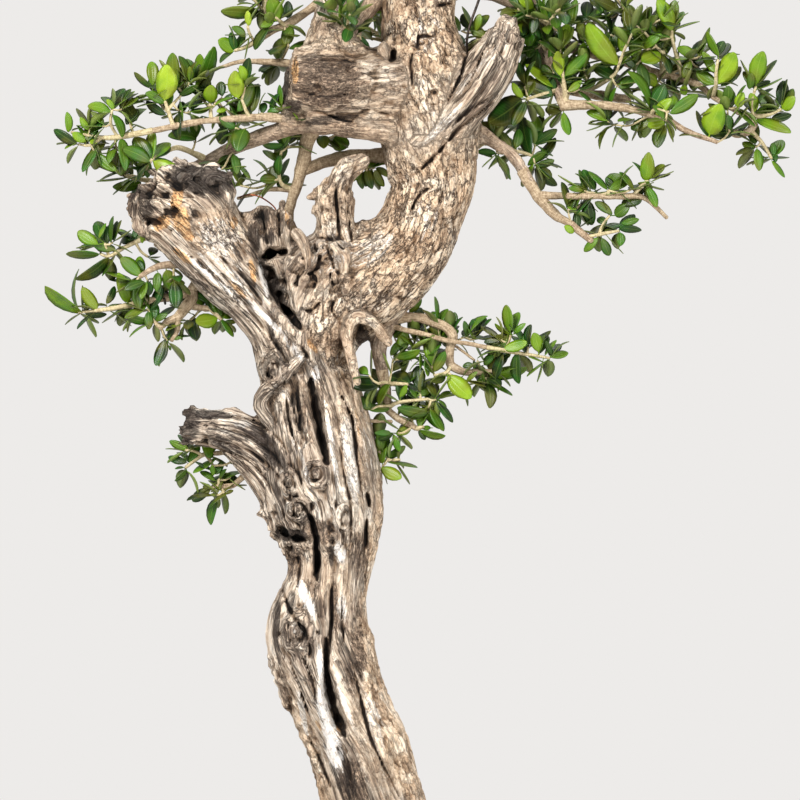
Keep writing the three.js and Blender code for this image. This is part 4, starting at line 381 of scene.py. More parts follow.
STEMS = {
    "left_tip": [
        [(-200, -22, 640, 2.4), (-228, -20, 635, 2), (-241, -18, 635.4, 1.6), (-261, -16, 639, 1)],
        [(-226, -20, 635.2, 1.4), (-231, -24, 645, 1.2), (-230, -26, 656, 1)],
        [(-238, -18, 635, 1.4), (-247, -20, 629, 1.1), (-255, -20, 630, 1)],
        [(-214, -21, 636.8, 1.3), (-217, -14, 646, 1)]],
    "left_high": [[(-184, -23, 642.5, 1.8), (-190.6, -24, 662, 1.2)],
        [(-187, -24, 652, 1.2), (-194, -18, 660, 1.1), (-200, -16, 668, 1)],
        [(-188, -24, 656, 1.2), (-181, -20, 664, 1.1), (-176, -18, 669, 1)]],
    "left_inner": [[(-156, -26, 647.6, 1.7), (-157, -18, 661, 1.1)],
        [(-156, -22, 655, 1.2), (-162, -12, 663, 1.1), (-167, -8, 668, 1)],
        [(-156, -20, 657, 1.2), (-149, -18, 664, 1)]],
    "left_stub": [[(-127, -28, 649.3, 1.6), (-130, -32, 655, 1.3), (-133, -34, 663, 1)]],
    "left_low": [[(-160, 16, 619, 2.8), (-170, 10, 624, 2.3), (-181, 0, 628, 2), (-192, -10, 624, 1.6),
         (-201, -20, 618, 1.2)]],
    "left_end": [[(-199, 28, 603, 2.4), (-219, 16, 606.5, 1.4), (-227, 12, 609.5, 1)]],
    "left_under": [[(-136, 0, 630, 1.8), (-132, -16, 636, 1.4), (-131, -26, 641, 1.1)]],
    "left_hang": [[(-96, 9, 597, 2), (-104, 4, 601, 1.5), (-106, 0, 612, 1.2), (-104, -4, 625, 1)]],
    "top_left_tip": [[(-121, -4, 709, 2.4), (-130, -5, 703.5, 1.7), (-139, -6, 700.5, 1.2)],
        [(-124, -4, 707, 1.3), (-128, -8, 714, 1.1), (-129, -10, 719, 1)]],
    "top_left_base": [[(-101, -2, 719, 1.9), (-108, -13, 725, 1)]],
    "top_left_rise": [[(-118, -3, 711, 2.6), (-116, -2, 739, 1.9), (-108, 2, 770, 1.2)]],
    "left_mid_upper": [
        [(-180, -8, 570, 2.4), (-215.5, -12, 555.8, 1.7), (-232, -14, 546.5, 1.4), (-239, -15, 548, 1)],
        [(-213, -12, 556.5, 1.3), (-209, -8, 550, 1.1), (-204, -6, 546, 1)],
        [(-233, -14, 547, 1.2), (-236, -17, 556, 1)]],
    "left_mid_stub": [[(-160, -8, 541, 4), (-193.4, -12, 539.3, 2.6), (-210, -14, 531, 2)]],
    "left_mid_tip": [[(-204, -4, 512.9, 2.8), (-226.5, -5, 508, 2), (-256, -4, 504.2, 1)]],
    "left_mid_drop": [[(-189, -4, 498, 2.5), (-194.5, -5, 493.5, 2), (-199, -7, 497.5, 1.4)]],
    "left_mid_inner": [[(-157, 3, 507.3, 2.2), (-149, -1, 499, 1.3)]],
    "low_left_tip": [[(-160, 6, 398.4, 1.8), (-164.6, 5, 396.7, 1.6), (-176, 3, 388, 1.1)],
        [(-163, 5, 397.3, 1.3), (-170, 2, 400.5, 1.1), (-176, 0, 401, 1)],
        [(-161, 6, 398, 1.3), (-156, 2, 391, 1.1), (-154, 1, 385, 1)]],
    "low_left_fork": [[(-148, 2, 373.8, 2.5), (-155.5, 2, 373.2, 2.3)],
        [(-151, 2, 373.8, 1.3), (-151, 0, 379, 1.1)], [(-149.5, 2, 373.8, 1.3), (-147, -3, 369, 1)]],
    "shoot_tip": [[(50, -12, 478, 1.9), (97, -12, 470.1, 1)], [(64, -12, 476, 1.3), (68, -9, 487, 1)]],
    "knee": [[(39, -3, 459.3, 2.8), (55, -2, 460.5, 1.5)], [(46, -2, 460, 1.4), (43, -8, 468, 1)]],
    "elbow": [[(23, -4, 466, 1.9), (20, -7, 459.5, 1.5), (11, -7, 457, 1.1)]],
    "inner_right": [[(-26, 3, 450, 2.2), (-19, -4, 451, 1.6), (-9, -8, 450.5, 1.2)],
        [(-21, -2, 451, 1.4), (-27, -14, 452, 1.2), (-31, -24, 451, 1)]],
    "inner_low": [[(-24, 1, 433, 2), (-16, -5, 437, 1.5), (6, -8, 439.5, 1)],
        [(-20, -2, 434.6, 1.3), (-32, -8, 434, 1)]],
    "low_right": [[(-2.6, -3, 417.3, 2.1), (3, -5, 418.8, 1)]],
    "bottom_right": [[(-20, 0, 393.6, 1.4), (-15, -2, 394, 1)]],
    "right_low_root": [[(66, -4, 625, 1.9), (75, 6, 625, 1.5), (85, 12, 622, 1.2)]],
    "bar": [[(141, -12, 591.2, 1.7), (141, -15, 595.5, 1.2)]],
    "bar_end": [[(150, -12, 591.2, 2.5), (168, -12, 590, 1.9), (185, -12, 575, 1.5)],
        [(159, -12, 591.5, 1.7), (167, -12, 600, 1.4), (171, -13, 604, 1)]],
    "right_low_tip": [[(112.8, -8, 570.5, 3), (129, -8, 557.5, 2.3)],
        [(126, -8, 561, 1.6), (139.6, -9, 563.8, 1.3), (149, -9, 565.5, 1)],
        [(134, -8.5, 562.6, 1.3), (137, -6, 570, 1.1), (142, -5, 577, 1)]],
    "jin_side": [[(104, 6, 672, 1.9), (80, -12, 664, 1.1)]],
    "right_rise": [[(110, 0, 658.5, 2.4), (107.5, -5, 679, 1.3)]],
    "right_heart": [[(123, 16, 670, 2), (136, 6, 676, 1.6), (146, -2, 683, 1.3), (149, -6, 690, 1)]],
    "right_front": [[(173, -10, 652.6, 1.8), (176, -17, 656, 1.4), (186, -19, 654, 1)]],
    "right_front_tip": [[(186.5, -10, 648.4, 2.4), (200, -8, 640, 2.2), (223, -5, 632, 1.7)]],
    "right_back": [[(220, 12, 667, 1.9), (222, 4, 674, 1.5), (222, 0, 684, 1.2), (223.5, -2, 694, 1)]],
    "right_end": [[(240, 8, 654.3, 2.3), (252, 6, 651.8, 1.9), (262, 4, 653, 1.4), (271, 2, 657, 1.1)],
        [(250, 6, 652, 1.5), (249, 3, 662, 1.2), (252, 1, 674, 1)],
        [(251, 6, 652, 2), (248.5, 6, 642, 1.9), (257, 6, 631.7, 1.5), (264, 6, 620, 1)]],
    "right_mid": [[(181, 22, 684, 2), (184, 12, 690, 1.6), (183, 6, 698, 1.3), (177, 2, 704, 1)]],
    "right_top": [[(165, 26, 690, 2), (165, 14, 703, 1.6), (163, 6, 713, 1.3), (157.5, 0, 722, 1)]],
    "right_top_end": [[(198, 16, 680, 2), (190, 6, 707, 1.3), (189, 2, 716, 1)]],
    "right_arch": [[(92, 21, 716, 2), (98, -4, 723, 1.1)]],
    "behind_jin": [[(14, 16, 696, 5), (32, 16, 702, 2.2), (48, 8, 712, 1)]],
    "left_collar": [[(-56, -6, 711, 2), (-54.5, -22, 717, 1)]],
    "upper_right": [[(112, 32, 768, 4.6), (138, 31, 774, 3.2), (166, 26, 778, 1.6)]],
    "upper_left": [[(-74, 4, 762, 6), (-88, 7, 789, 4), (-106, 6, 808, 1.8)]],
    "back_low": [[(-88, 44, 514, 7), (-112, 68, 532, 4), (-130, 84, 542, 1.8)]],
    "back_mid": [[(18, 44, 612, 7), (38, 66, 628, 4), (53, 84, 638, 1.8)]],
    "back_high": [[(-11, 44, 701, 7), (-25, 66, 712, 4), (-37, 86, 719, 1.8)]],
    "crown_left": [[(-46, 15, 796, 6.4), (-84, 16, 812, 4), (-122, 12, 824, 1.6)]],
    "crown_right": [[(50, 15, 800, 6.4), (88, 14, 811, 4), (126, 10, 820, 1.6)]],
    "crown_front": [[(-5, -20, 816, 6.8), (-12, -46, 829, 4.2), (-18, -76, 839, 1.6)]],
    "crown_back": [[(14, 28, 820, 6.6), (24, 52, 833, 4.2), (33, 78, 844, 1.6)]],
    "crown_top": [[(9, 1, 836, 9), (6, 0, 858, 5.6), (2, 0, 882, 2.4)]],
    "hole_tuft": [[(-38, 13, 622, 1.6), (-40, 6, 615, 1.3), (-40, 0, 611, 1)]],
    "right_hide": [[(96, 18, 700, 1.8), (93, 9, 704, 1.4), (90, 4, 708, 1.1)]],
    "right_hide_low": [[(98, 14, 688, 1.8), (100, 5, 686, 1.4), (101, 0, 684, 1.1)]],
    "right_hide_top": [[(78, 24, 738, 1.8), (76, 14, 735, 1.4), (74, 8, 732, 1.1)]],
}
# How many leafy shoots grow on by rule from a spray's first stem.
SHOOTS = {
    "left_end": 1, "top_left_rise": 3, "right_arch": 1, "upper_right": 5, "upper_left": 5, "back_low": 3,
    "back_mid": 3, "back_high": 3, "crown_left": 5, "crown_right": 5, "crown_front": 5, "crown_back": 4,
    "crown_top": 6,
}

# The leaves that are placed one by one: where the blade begins and ends seen from the front (x, z, x, z),
# how wide it looks, and its tone, from 0 dark bluish green to 1 pale yellow green.
# The tone is partly the leaf's own colour and partly painted light: shaded leaves dark, lit and shone-through
# ones pale.
LEAVES = {
    "right_hide": [(90, 706, 84, 724, 8, 0.2), (92, 706, 98, 723, 8, 0.4), (94, 704, 108, 712, 7, 0.25),
        (88, 704, 76, 712, 7, 0.15), (92, 700, 104, 694, 7, 0.3), (88, 699, 80, 688, 7, 0.1),
        (93, 698, 95, 682, 7, 0.2), (96, 702, 110, 702, 6, 0.5), (86, 702, 74, 700, 6, 0.3)],
    "right_hide_low": [(101, 684, 110, 694, 7, 0.3), (102, 682, 115, 678, 7, 0.2),
        (100, 680, 98, 666, 7, 0.15), (99, 684, 90, 690, 6, 0.35), (98, 682, 88, 674, 6, 0.1)],
    "right_hide_top": [(74, 733, 66, 746, 7, 0.3), (76, 733, 84, 746, 7, 0.45), (78, 731, 92, 732, 7, 0.2),
        (72, 730, 60, 728, 7, 0.2), (74, 728, 74, 714, 7, 0.3), (79, 728, 90, 718, 6, 0.1)],
    "hole_tuft": [(-46, 612, -43, 597, 6, 0.25), (-40, 612, -36, 597, 7, 0.2), (-34, 611, -27, 599, 6, 0.3),
        (-45, 612, -52, 602, 5, 0.35), (-36, 612, -41, 599, 5, 0.15), (-33, 613, -23, 606, 5, 0.3)],
    "left_tip": [(-212, 648, -225, 665, 9, 0.1), (-220, 645, -211, 656, 8.5, 0.12),
        (-222, 656, -220, 670, 4, 0.1), (-231, 654, -248, 658, 8, 0.6), (-229, 656, -234, 663, 4.5, 0.8),
        (-231, 660, -227, 668, 4, 0.1), (-263, 639, -264, 654, 5.5, 0.75), (-257, 630, -274, 641, 6, 0.1),
        (-250, 632, -260, 638, 7, 0.7), (-248, 641, -254, 650, 5, 0.7), (-247, 643, -244, 651, 4, 0.35),
        (-238, 643, -241, 648, 5.5, 0.1), (-247, 632, -241, 641, 5, 0.15), (-241, 632, -247, 631, 4, 0.8),
        (-242, 627, -252, 609, 7, 0.3), (-241, 622, -227, 610, 8, 0.5), (-227, 625, -229, 612, 5, 0.08),
        (-223, 634, -220, 610, 8, 0.4)],
    "left_high": [(-191, 663, -189, 689, 15, 0.9), (-200, 674, -201, 692, 8.5, 0.6),
        (-182, 674, -185, 698, 9.5, 0.5), (-176, 669, -177, 687, 6.5, 0.15),
        (-172, 677, -172, 688, 4.5, 0.55), (-191, 661, -205, 668, 8, 0.45), (-200, 672, -214, 684, 3, 0.3),
        (-190, 652, -205, 662, 5, 0.08), (-180, 666, -166, 674, 4, 0.3), (-178, 654, -178, 662, 6.5, 0.1),
        (-171, 654, -158, 656, 5, 0.4)],
    "left_inner": [(-156, 661, -156, 674, 10, 0.75), (-167, 667, -154, 703, 8.5, 0.45),
        (-162, 668, -158, 680, 8, 0.2), (-148, 666, -149, 677, 7, 0.12), (-166, 678, -165, 690, 6.5, 0.2),
        (-138, 665, -153, 659, 4, 0.65), (-145, 656, -152, 654, 4.5, 0.75),
        (-131, 647, -142, 659, 8, 0.08)],
    "left_stub": [(-130, 676, -134, 688, 6.5, 0.75), (-136, 664, -138, 684, 11.5, 0.85),
        (-136, 654, -125, 675, 8, 0.4), (-125, 654, -121, 675, 7.5, 0.15),
        (-118, 653, -116, 661, 5.5, 0.15), (-101, 654, -114, 668, 4.5, 0.5),
        (-103, 659, -105, 674, 4, 0.45), (-102, 655, -114, 654, 5, 0.35), (-89, 645, -95, 653, 3, 0.7),
        (-88, 644, -83, 652, 3, 0.65)],
    "left_low": [(-202, 617, -222, 626, 11, 0.35), (-202, 618, -214, 635, 12, 0.25),
        (-201, 618, -200, 641, 8, 0.6), (-200, 618, -178, 608, 10, 0.15), (-199, 617, -179, 603, 12, 0.8),
        (-202, 616, -204, 605, 5.5, 0.4), (-210, 605, -212, 617, 4, 0.1), (-168, 635, -189, 637, 9, 0.35)],
    "left_end": [(-220, 606, -243, 603, 4, 0.4), (-210, 602, -231, 599, 6.5, 0.45),
        (-227, 610, -229, 624, 5, 0.3)],
    "left_under": [(-131, 641, -136, 624, 13, 0.3), (-146, 643, -149, 630, 9, 0.12),
        (-138, 642, -150, 650, 8, 0.3), (-143, 622, -150, 613, 8, 0.2), (-150, 610, -142, 600, 6, 0.3)],
    "left_hang": [(-139, 599, -130, 611, 3, 0.2), (-104, 616, -118, 626, 6, 0.35),
        (-107, 604, -120, 604, 8, 0.3), (-107, 599, -99, 607, 8, 0.1), (-103, 630, -118, 630, 3.5, 0.25),
        (-99, 629, -108, 637, 6, 0.25), (-61, 638, -60, 626, 12, 0.45), (-73, 637, -72, 627, 9, 0.35)],
    "top_left_tip": [(-128, 719, -129, 730, 5, 0.95), (-140, 700, -151, 708, 10, 0.8),
        (-138, 701, -142, 714, 6, 0.2), (-110, 723, -119, 718, 6, 0.5), (-131, 711, -141, 718, 6, 0.4)],
    "top_left_base": [(-107, 722, -112, 739, 12, 0.6), (-96, 718, -101, 704, 9, 0.35),
        (-108, 689, -120, 686, 7, 0.1), (-98, 702, -76, 704, 8, 0.25), (-99, 725, -99, 738, 7, 0.08)],
    "top_left_rise": [(-121, 730, -149, 730, 6, 0.45), (-115, 738, -102, 748, 7, 0.4),
        (-116, 742, -126, 756, 8, 0.3)],
    "left_mid_upper": [(-241, 555, -256, 565, 9.5, 0.6), (-228, 552, -244, 554, 6, 0.35),
        (-240, 560, -235, 571, 3.5, 0.6), (-234, 556, -232, 570, 5.5, 0.08), (-231, 556, -229, 576, 4, 0.3),
        (-229, 557, -223, 573, 4, 0.2), (-240, 548, -265, 548, 3, 0.35), (-234, 545, -258, 529, 5, 0.2),
        (-215, 558, -223, 558, 6.5, 0.05), (-215, 559, -209, 570, 5, 0.15), (-208, 556, -208, 567, 4, 0.8),
        (-202, 547, -199, 553, 7, 0.1)],
    "left_mid_stub": [(-209, 532, -224, 545, 10, 0.5), (-207, 536, -212, 543, 6, 0.05),
        (-215, 526, -221, 531, 3, 0.2), (-206, 527, -221, 521, 7, 0.25), (-190, 536, -184, 521, 10, 0.55),
        (-196, 534, -197, 520, 6.5, 0.4), (-203, 527, -203, 517, 6, 0.15), (-184, 528, -176, 526, 4, 0.4)],
    "left_mid_tip": [(-219, 512, -226, 534, 9.5, 0.7), (-217, 511, -225, 520, 5, 0.6),
        (-235, 511, -229, 524, 5, 0.1), (-242, 507, -253, 523, 9, 0.72), (-256, 507, -256, 537, 2.5, 0.4),
        (-253, 504, -281, 524, 5.5, 0.62), (-251, 504, -235, 503, 3, 0.1)],
    "left_mid_drop": [(-204, 508, -202, 528, 3, 0.55), (-205, 510, -221, 500, 7, 0.45),
        (-215, 506, -230, 503, 3, 0.3), (-199, 498, -199, 512, 8, 0.2), (-203, 497, -220, 501, 4.5, 0.3),
        (-198, 498, -189, 503, 5, 0.35), (-189, 482, -193, 483, 5, 0.05), (-189, 480, -187, 476, 2, 0.3),
        (-184, 484, -179, 486, 3, 0.4)],
    "left_mid_inner": [(-177, 496, -169, 495, 4.5, 0.6), (-152, 500, -168, 497, 11.5, 0.65),
        (-166, 507, -178, 516, 8, 0.08), (-158, 512, -169, 519, 5, 0.2), (-149, 502, -155, 518, 8.5, 0.35),
        (-149, 499, -140, 486, 5, 0.4), (-146, 498, -137, 498, 3, 0.3), (-147, 500, -142, 502, 5, 0.6),
        (-165, 526, -159, 522, 4, 0.15)],
    "low_left_tip": [(-174, 402, -188, 408, 5.5, 0.55), (-176, 400, -191, 402, 2, 0.2),
        (-175, 405, -177, 411, 4.5, 0.25), (-178, 396, -169, 405, 3, 0.25),
        (-175, 392, -189, 396, 5.5, 0.12), (-177, 388, -184, 387, 2.5, 0.2),
        (-175, 386, -184, 378, 2.5, 0.3), (-173, 392, -166, 406, 6.5, 0.4), (-153, 395, -170, 384, 6, 0.55),
        (-160, 399, -153, 403, 3, 0.2), (-154, 383, -148, 393, 5.5, 0.3), (-155, 382, -156, 390, 4, 0.55),
        (-136, 396, -142, 391, 4, 0.3)],
    "low_left_fork": [(-154, 378, -165, 385, 5, 0.4), (-151, 378, -145, 387, 3.5, 0.25),
        (-141, 381, -146, 382, 5, 0.25), (-144, 374, -139, 382, 3.5, 0.15),
        (-157, 373, -163, 374, 4.5, 0.1), (-157, 372, -171, 363, 8, 0.1), (-153, 367, -157, 368, 2.5, 0.4),
        (-149, 372, -157, 370, 3, 0.08), (-144, 369, -158, 358, 4.5, 0.25),
        (-147, 368, -140, 371, 3, 0.12)],
    "elbow": [(21, 457, 38, 440, 13.5, 0.8), (35, 453, 43, 460, 4, 0.5), (10, 460, 19, 475, 7, 0.35),
        (9, 464, 0, 473, 2.5, 0.3), (9, 452, 19, 457, 6.5, 0.35), (11, 474, 0, 485, 2.5, 0.15),
        (8, 479, 1, 484, 5.5, 0.3), (3, 472, 16, 480, 4.5, 0.35), (0, 474, 0, 462, 2.5, 0.55),
        (36, 486, 33, 498, 4.5, 0.25), (42, 484, 36, 492, 3, 0.35), (24, 491, 24, 499, 5, 0.1),
        (28, 491, 18, 502, 3.5, 0.1), (16, 486, 29, 491, 7.5, 0.5), (13, 498, 9, 505, 6, 0.45)],
    "inner_right": [(-8, 451, -23, 456, 13.5, 0.05), (-30, 450, -53, 452, 11.5, 0.03),
        (-22, 445, -36, 462, 8, 0.12), (-39, 458, -45, 463, 6.5, 0.6), (-4, 477, -15, 487, 4.5, 0.45),
        (-22, 472, -14, 483, 6, 0.5), (-20, 471, 0, 476, 4.5, 0.55), (-8, 504, 1, 515, 5, 0.45),
        (-2, 493, -12, 506, 3.5, 0.12), (-20, 486, -12, 490, 5.5, 0.4)],
    "knee": [(40, 465, 32, 464, 4.5, 0.25), (49, 452, 40, 468, 4, 0.35), (48, 455, 43, 452, 4, 0.4),
        (50, 453, 69, 442, 5.5, 0.4), (51, 459, 60, 455, 5, 0.08), (52, 455, 80, 463, 3.5, 0.55),
        (54, 460, 70, 464, 5, 0.6), (51, 462, 66, 473, 8, 0.06), (43, 470, 64, 475, 4, 0.45),
        (48, 465, 55, 472, 6, 0.3)],
    "shoot_tip": [(73, 474, 74, 451, 7.5, 0.2), (63, 477, 80, 482, 8.5, 0.68), (81, 479, 79, 490, 6, 0.45),
        (89, 475, 85, 489, 8.5, 0.66), (70, 488, 79, 496, 4.5, 0.6), (68, 488, 56, 496, 2, 0.6),
        (67, 484, 57, 487, 3, 0.1), (60, 484, 48, 482, 5, 0.1), (63, 480, 53, 489, 2, 0.25),
        (99, 472, 94, 483, 4, 0.2), (97, 471, 111, 474, 6, 0.55), (92, 467, 81, 471, 3, 0.5)],
    "inner_low": [(-2, 442, 9, 448, 4, 0.5), (0, 445, -12, 452, 3.5, 0.1), (-15, 441, -10, 450, 4.5, 0.6),
        (-6, 441, -21, 446, 3, 0.15), (6, 429, -17, 433, 7, 0.3), (-39, 432, -23, 432, 6.5, 0.4),
        (-37, 432, -45, 441, 8, 0.25), (-30, 435, -31, 443, 6.5, 0.05), (14, 440, 23, 445, 4.5, 0.5),
        (13, 439, 20, 433, 3, 0.35), (6, 432, 9, 436, 4, 0.1), (4, 430, 15, 417, 3.5, 0.45)],
    "low_right": [(0, 418, 0, 427, 5.5, 0.5), (-7, 425, 2, 428, 5, 0.45), (2, 418, 8, 418, 3.5, 0.5),
        (0, 416, 19, 412, 3.5, 0.45), (-1, 416, 4, 409, 5, 0.1), (-18, 413, -7, 418, 6.5, 0.5),
        (-22, 414, -34, 414, 4, 0.3), (-20, 414, -31, 409, 4.5, 0.2), (-20, 413, -15, 400, 4.5, 0.5)],
    "bottom_right": [(-26, 396, -11, 404, 4.5, 0.42), (-24, 392, -2, 388, 5.5, 0.35),
        (-29, 388, -14, 380, 9.5, 0.75), (-34, 411, -37, 420, 4, 0.15), (-31, 400, -34, 409, 4, 0.3)],
    "jin_side": [(76, 664, 52, 647, 19, 0.12), (78, 660, 103, 661, 3.5, 0.15), (77, 665, 69, 676, 5, 0.75),
        (100, 674, 79, 690, 9, 0.8), (78, 675, 99, 668, 14, 0.08)],
    "behind_jin": [(50, 712, 38, 718, 8, 0.35), (35, 701, 46, 710, 7, 0.35), (50, 712, 43, 723, 2, 0.3),
        (40, 716, 52, 728, 7, 0.3), (30, 716, 22, 728, 7, 0.3)],
    "right_rise": [(105, 682, 103, 700, 8, 0.85), (109, 682, 125, 698, 9, 0.5),
        (111, 670, 121, 678, 5.5, 0.65), (106, 655, 94, 657, 7, 0.1), (121, 672, 132, 680, 6, 0.3)],
    "right_heart": [(148, 690, 125, 720, 14, 0.75), (123, 707, 119, 722, 8, 0.45),
        (147, 680, 130, 690, 10, 0.15), (150, 672, 160, 681, 9, 0.35)],
    "right_front": [(172, 656, 155, 684, 9, 0.45), (173, 657, 183, 675, 11, 0.15),
        (187, 653, 208, 667, 7.5, 0.5), (177, 652, 188, 664, 8, 0.8), (174, 648, 158, 642, 9, 0.35),
        (183, 646, 170, 643, 9, 0.7), (140, 648, 125, 655, 7, 0.6), (142, 644, 135, 627, 4, 0.5)],
    "right_front_tip": [(217, 638, 225, 660, 16, 0.8), (218, 637, 235, 640, 11, 0.1),
        (238, 658, 242, 669, 7, 0.8), (233, 641, 230, 652, 7, 0.35), (230, 660, 231, 674, 8, 0.35)],
    "right_back": [(222, 676, 236, 699, 14, 0.82), (222, 676, 208, 686, 9, 0.5),
        (226, 674, 241, 689, 8, 0.2), (221, 685, 212, 700, 6, 0.6), (224, 697, 215, 715, 4.5, 0.5),
        (223, 697, 228, 708, 7, 0.15)],
    "right_end": [(252, 676, 257, 700, 12, 0.65), (254, 677, 268, 694, 5.5, 0.1),
        (251, 674, 263, 678, 4, 0.08), (247, 672, 248, 684, 6, 0.35), (251, 655, 248, 669, 7.5, 0.75),
        (252, 652, 270, 660, 8, 0.5), (252, 649, 278, 639, 10, 0.62), (264, 649, 279, 653, 7, 0.1),
        (272, 657, 281, 666, 9, 0.75), (273, 660, 280, 672, 6.5, 0.3), (270, 660, 270, 667, 6, 0.4),
        (264, 618, 274, 606, 5, 0.6), (266, 623, 265, 632, 5, 0.3), (267, 617, 267, 624, 4, 0.1),
        (260, 620, 250, 622, 3, 0.1), (251, 628, 242, 632, 6, 0.45)],
    "right_mid": [(178, 676, 168, 683, 9, 0.7), (190, 684, 193, 697, 11, 0.45),
        (206, 697, 193, 703, 8, 0.65), (211, 697, 209, 704, 6, 0.5), (170, 702, 160, 717, 8, 0.6),
        (180, 699, 166, 692, 12, 0.7), (168, 703, 181, 713, 7, 0.65), (200, 668, 197, 675, 6, 0.8),
        (185, 676, 206, 686, 9, 0.1), (210, 688, 198, 692, 9, 0.08), (161, 689, 153, 696, 6, 0.2)],
    "right_top": [(157, 723, 156, 736, 11, 0.6), (163, 718, 174, 734, 6, 0.25),
        (171, 712, 172, 724, 5, 0.5)],
    "right_top_end": [(189, 716, 178, 739, 11, 0.72), (176, 710, 190, 720, 10, 0.45),
        (190, 716, 210, 723, 3.5, 0.5)],
    "right_arch": [(150, 730, 131, 739, 8, 0.2), (145, 726, 130, 726, 5, 0.3),
        (127, 724, 114, 724, 7, 0.12), (99, 727, 114, 735, 7, 0.25), (96, 724, 89, 739, 5, 0.55),
        (85, 733, 74, 739, 8, 0.8), (85, 732, 68, 724, 3, 0.4), (81, 715, 73, 719, 9, 0.75),
        (75, 708, 91, 715, 5, 0.15), (87, 706, 107, 709, 6.5, 0.2), (106, 714, 98, 723, 5, 0.5),
        (107, 712, 112, 720, 7, 0.65)],
    "left_collar": [(-55, 718, -48, 739, 11, 0.15), (-58, 720, -77, 729, 3, 0.15),
        (-50, 715, -33, 723, 3.5, 0.2), (-56, 714, -64, 718, 3.5, 0.25), (-53, 717, -56, 706, 8, 0.2),
        (-44, 711, -42, 696, 8.5, 0.12), (-38, 698, -45, 682, 12, 0.15)],
    "right_low_root": [(83, 622, 77, 652, 10, 0.08), (87, 632, 103, 642, 7, 0.3),
        (87, 617, 102, 636, 8, 0.1), (84, 633, 92, 640, 6, 0.2), (81, 615, 94, 625, 5, 0.35),
        (87, 615, 101, 619, 5, 0.35), (88, 614, 103, 600, 5.5, 0.15), (56, 623, 68, 604, 2.5, 0.3),
        (55, 640, 46, 647, 7, 0.1), (57, 624, 43, 625, 4, 0.15), (68, 628, 60, 640, 7, 0.1),
        (72, 628, 74, 642, 7, 0.3)],
    "bar": [(122, 596, 111, 597, 5.5, 0.4), (128, 594, 116, 608, 3, 0.25), (140, 596, 126, 610, 6, 0.4),
        (145, 599, 139, 605, 5, 0.08), (141, 595, 156, 602, 7, 0.45), (160, 596, 149, 609, 5.5, 0.4)],
    "bar_end": [(169, 603, 171, 624, 10, 0.65), (168, 604, 159, 617, 4, 0.3), (174, 605, 183, 615, 6, 0.6),
        (173, 602, 190, 610, 2.5, 0.5), (172, 602, 163, 601, 2, 0.5), (170, 598, 177, 583, 6.5, 0.5),
        (166, 588, 151, 586, 9.5, 0.12)],
    "right_low_tip": [(125, 588, 129, 570, 9.5, 0.15), (110, 583, 118, 582, 3, 0.55),
        (117, 566, 117, 580, 6, 0.1), (115, 564, 108, 569, 5.5, 0.7), (144, 578, 131, 587, 6, 0.35),
        (146, 577, 157, 585, 9, 0.35), (151, 571, 164, 574, 5, 0.4), (149, 568, 166, 566, 4, 0.15),
        (138, 565, 151, 570, 4, 0.08), (150, 564, 150, 554, 6.5, 0.4), (136, 560, 142, 547, 7, 0.3),
        (133, 560, 123, 550, 6, 0.5), (140, 571, 133, 575, 6, 0.25)],
}

# ---------------------------------------------------------------- draws and noise

MASK = 0xFFFFFFFF


def seeded_draw(seed):
    """Seeded draws in 0..1, the same on every run."""
    state = seed & MASK

    def draw():
        nonlocal state
        state = (state + 0x6D2B79F5) & MASK
        t = ((state ^ (state >> 15)) * (1 | state)) & MASK
        t = (t + (((t ^ (t >> 7)) * (61 | t)) & MASK) & MASK) ^ t
        return (t ^ (t >> 14)) / 4294967296

    return draw


def seed_of(name):
    total = 7
    for letter in name:
        total = (total * 31 + ord(letter)) & MASK
    return total


def place_draw(x, z):
    wave = math.sin(12.9898 * x + 78.233 * z) * 43758.5453
    return wave - math.floor(wave)


LATTICE = np.random.default_rng(5).uniform(-1, 1, (64, 64, 64)).astype(np.float32)


def noise(x, y, z):
    """Smooth noise in -1..1 over places whose x, y and z are numbers or arrays that broadcast."""
    cell = [np.floor(c).astype(np.int32) for c in (x, y, z)]
    part = [c - i for c, i in zip((x, y, z), cell)]
    fx, fy, fz = [p * p * (3 - 2 * p) for p in part]
    ix, iy, iz = [c & 63 for c in cell]
    jx, jy, jz = [(c + 1) & 63 for c in cell]
    near = LATTICE[ix, iy, iz] * (1 - fx) + LATTICE[jx, iy, iz] * fx
    near = near * (1 - fy) + (LATTICE[ix, jy, iz] * (1 - fx) + LATTICE[jx, jy, iz] * fx) * fy
    far = LATTICE[ix, iy, jz] * (1 - fx) + LATTICE[jx, iy, jz] * fx
    far = far * (1 - fy) + (LATTICE[ix, jy, jz] * (1 - fx) + LATTICE[jx, jy, jz] * fx) * fy
    return near * (1 - fz) + far * fz


def smoothstep(low, high, value):
    t = np.clip((value - low) / (high - low), 0, 1)
    return t * t * (3 - 2 * t)


def bell(value, middle, width):
    """1 at the middle, and falling off on both sides of it."""
    return np.exp(-((value - middle) / width) ** 2)


# ---------------------------------------------------------------- curves and frames

def unit(v):
    v = np.asarray(v, float)
    return v / np.linalg.norm(v)


def finer(points, step):
    """Points about `step` mm apart on a smooth curve through points that may carry a radius."""
    p = np.array(points, float)
    ends = np.vstack([2 * p[0] - p[1], p, 2 * p[-1] - p[-2]])
    out = []
    for a, b, c, d in zip(ends, ends[1:], ends[2:], ends[3:]):
        count = max(1, round(float(np.linalg.norm((c - b)[:3])) / step))
        for t in np.arange(count) / count:
            out.append(0.5 * (2 * b + (c - a) * t + (2 * a - 5 * b + 4 * c - d) * t * t
                              + (3 * b - a - 3 * c + d) * t ** 3))
    return np.array([*out, p[-1]])


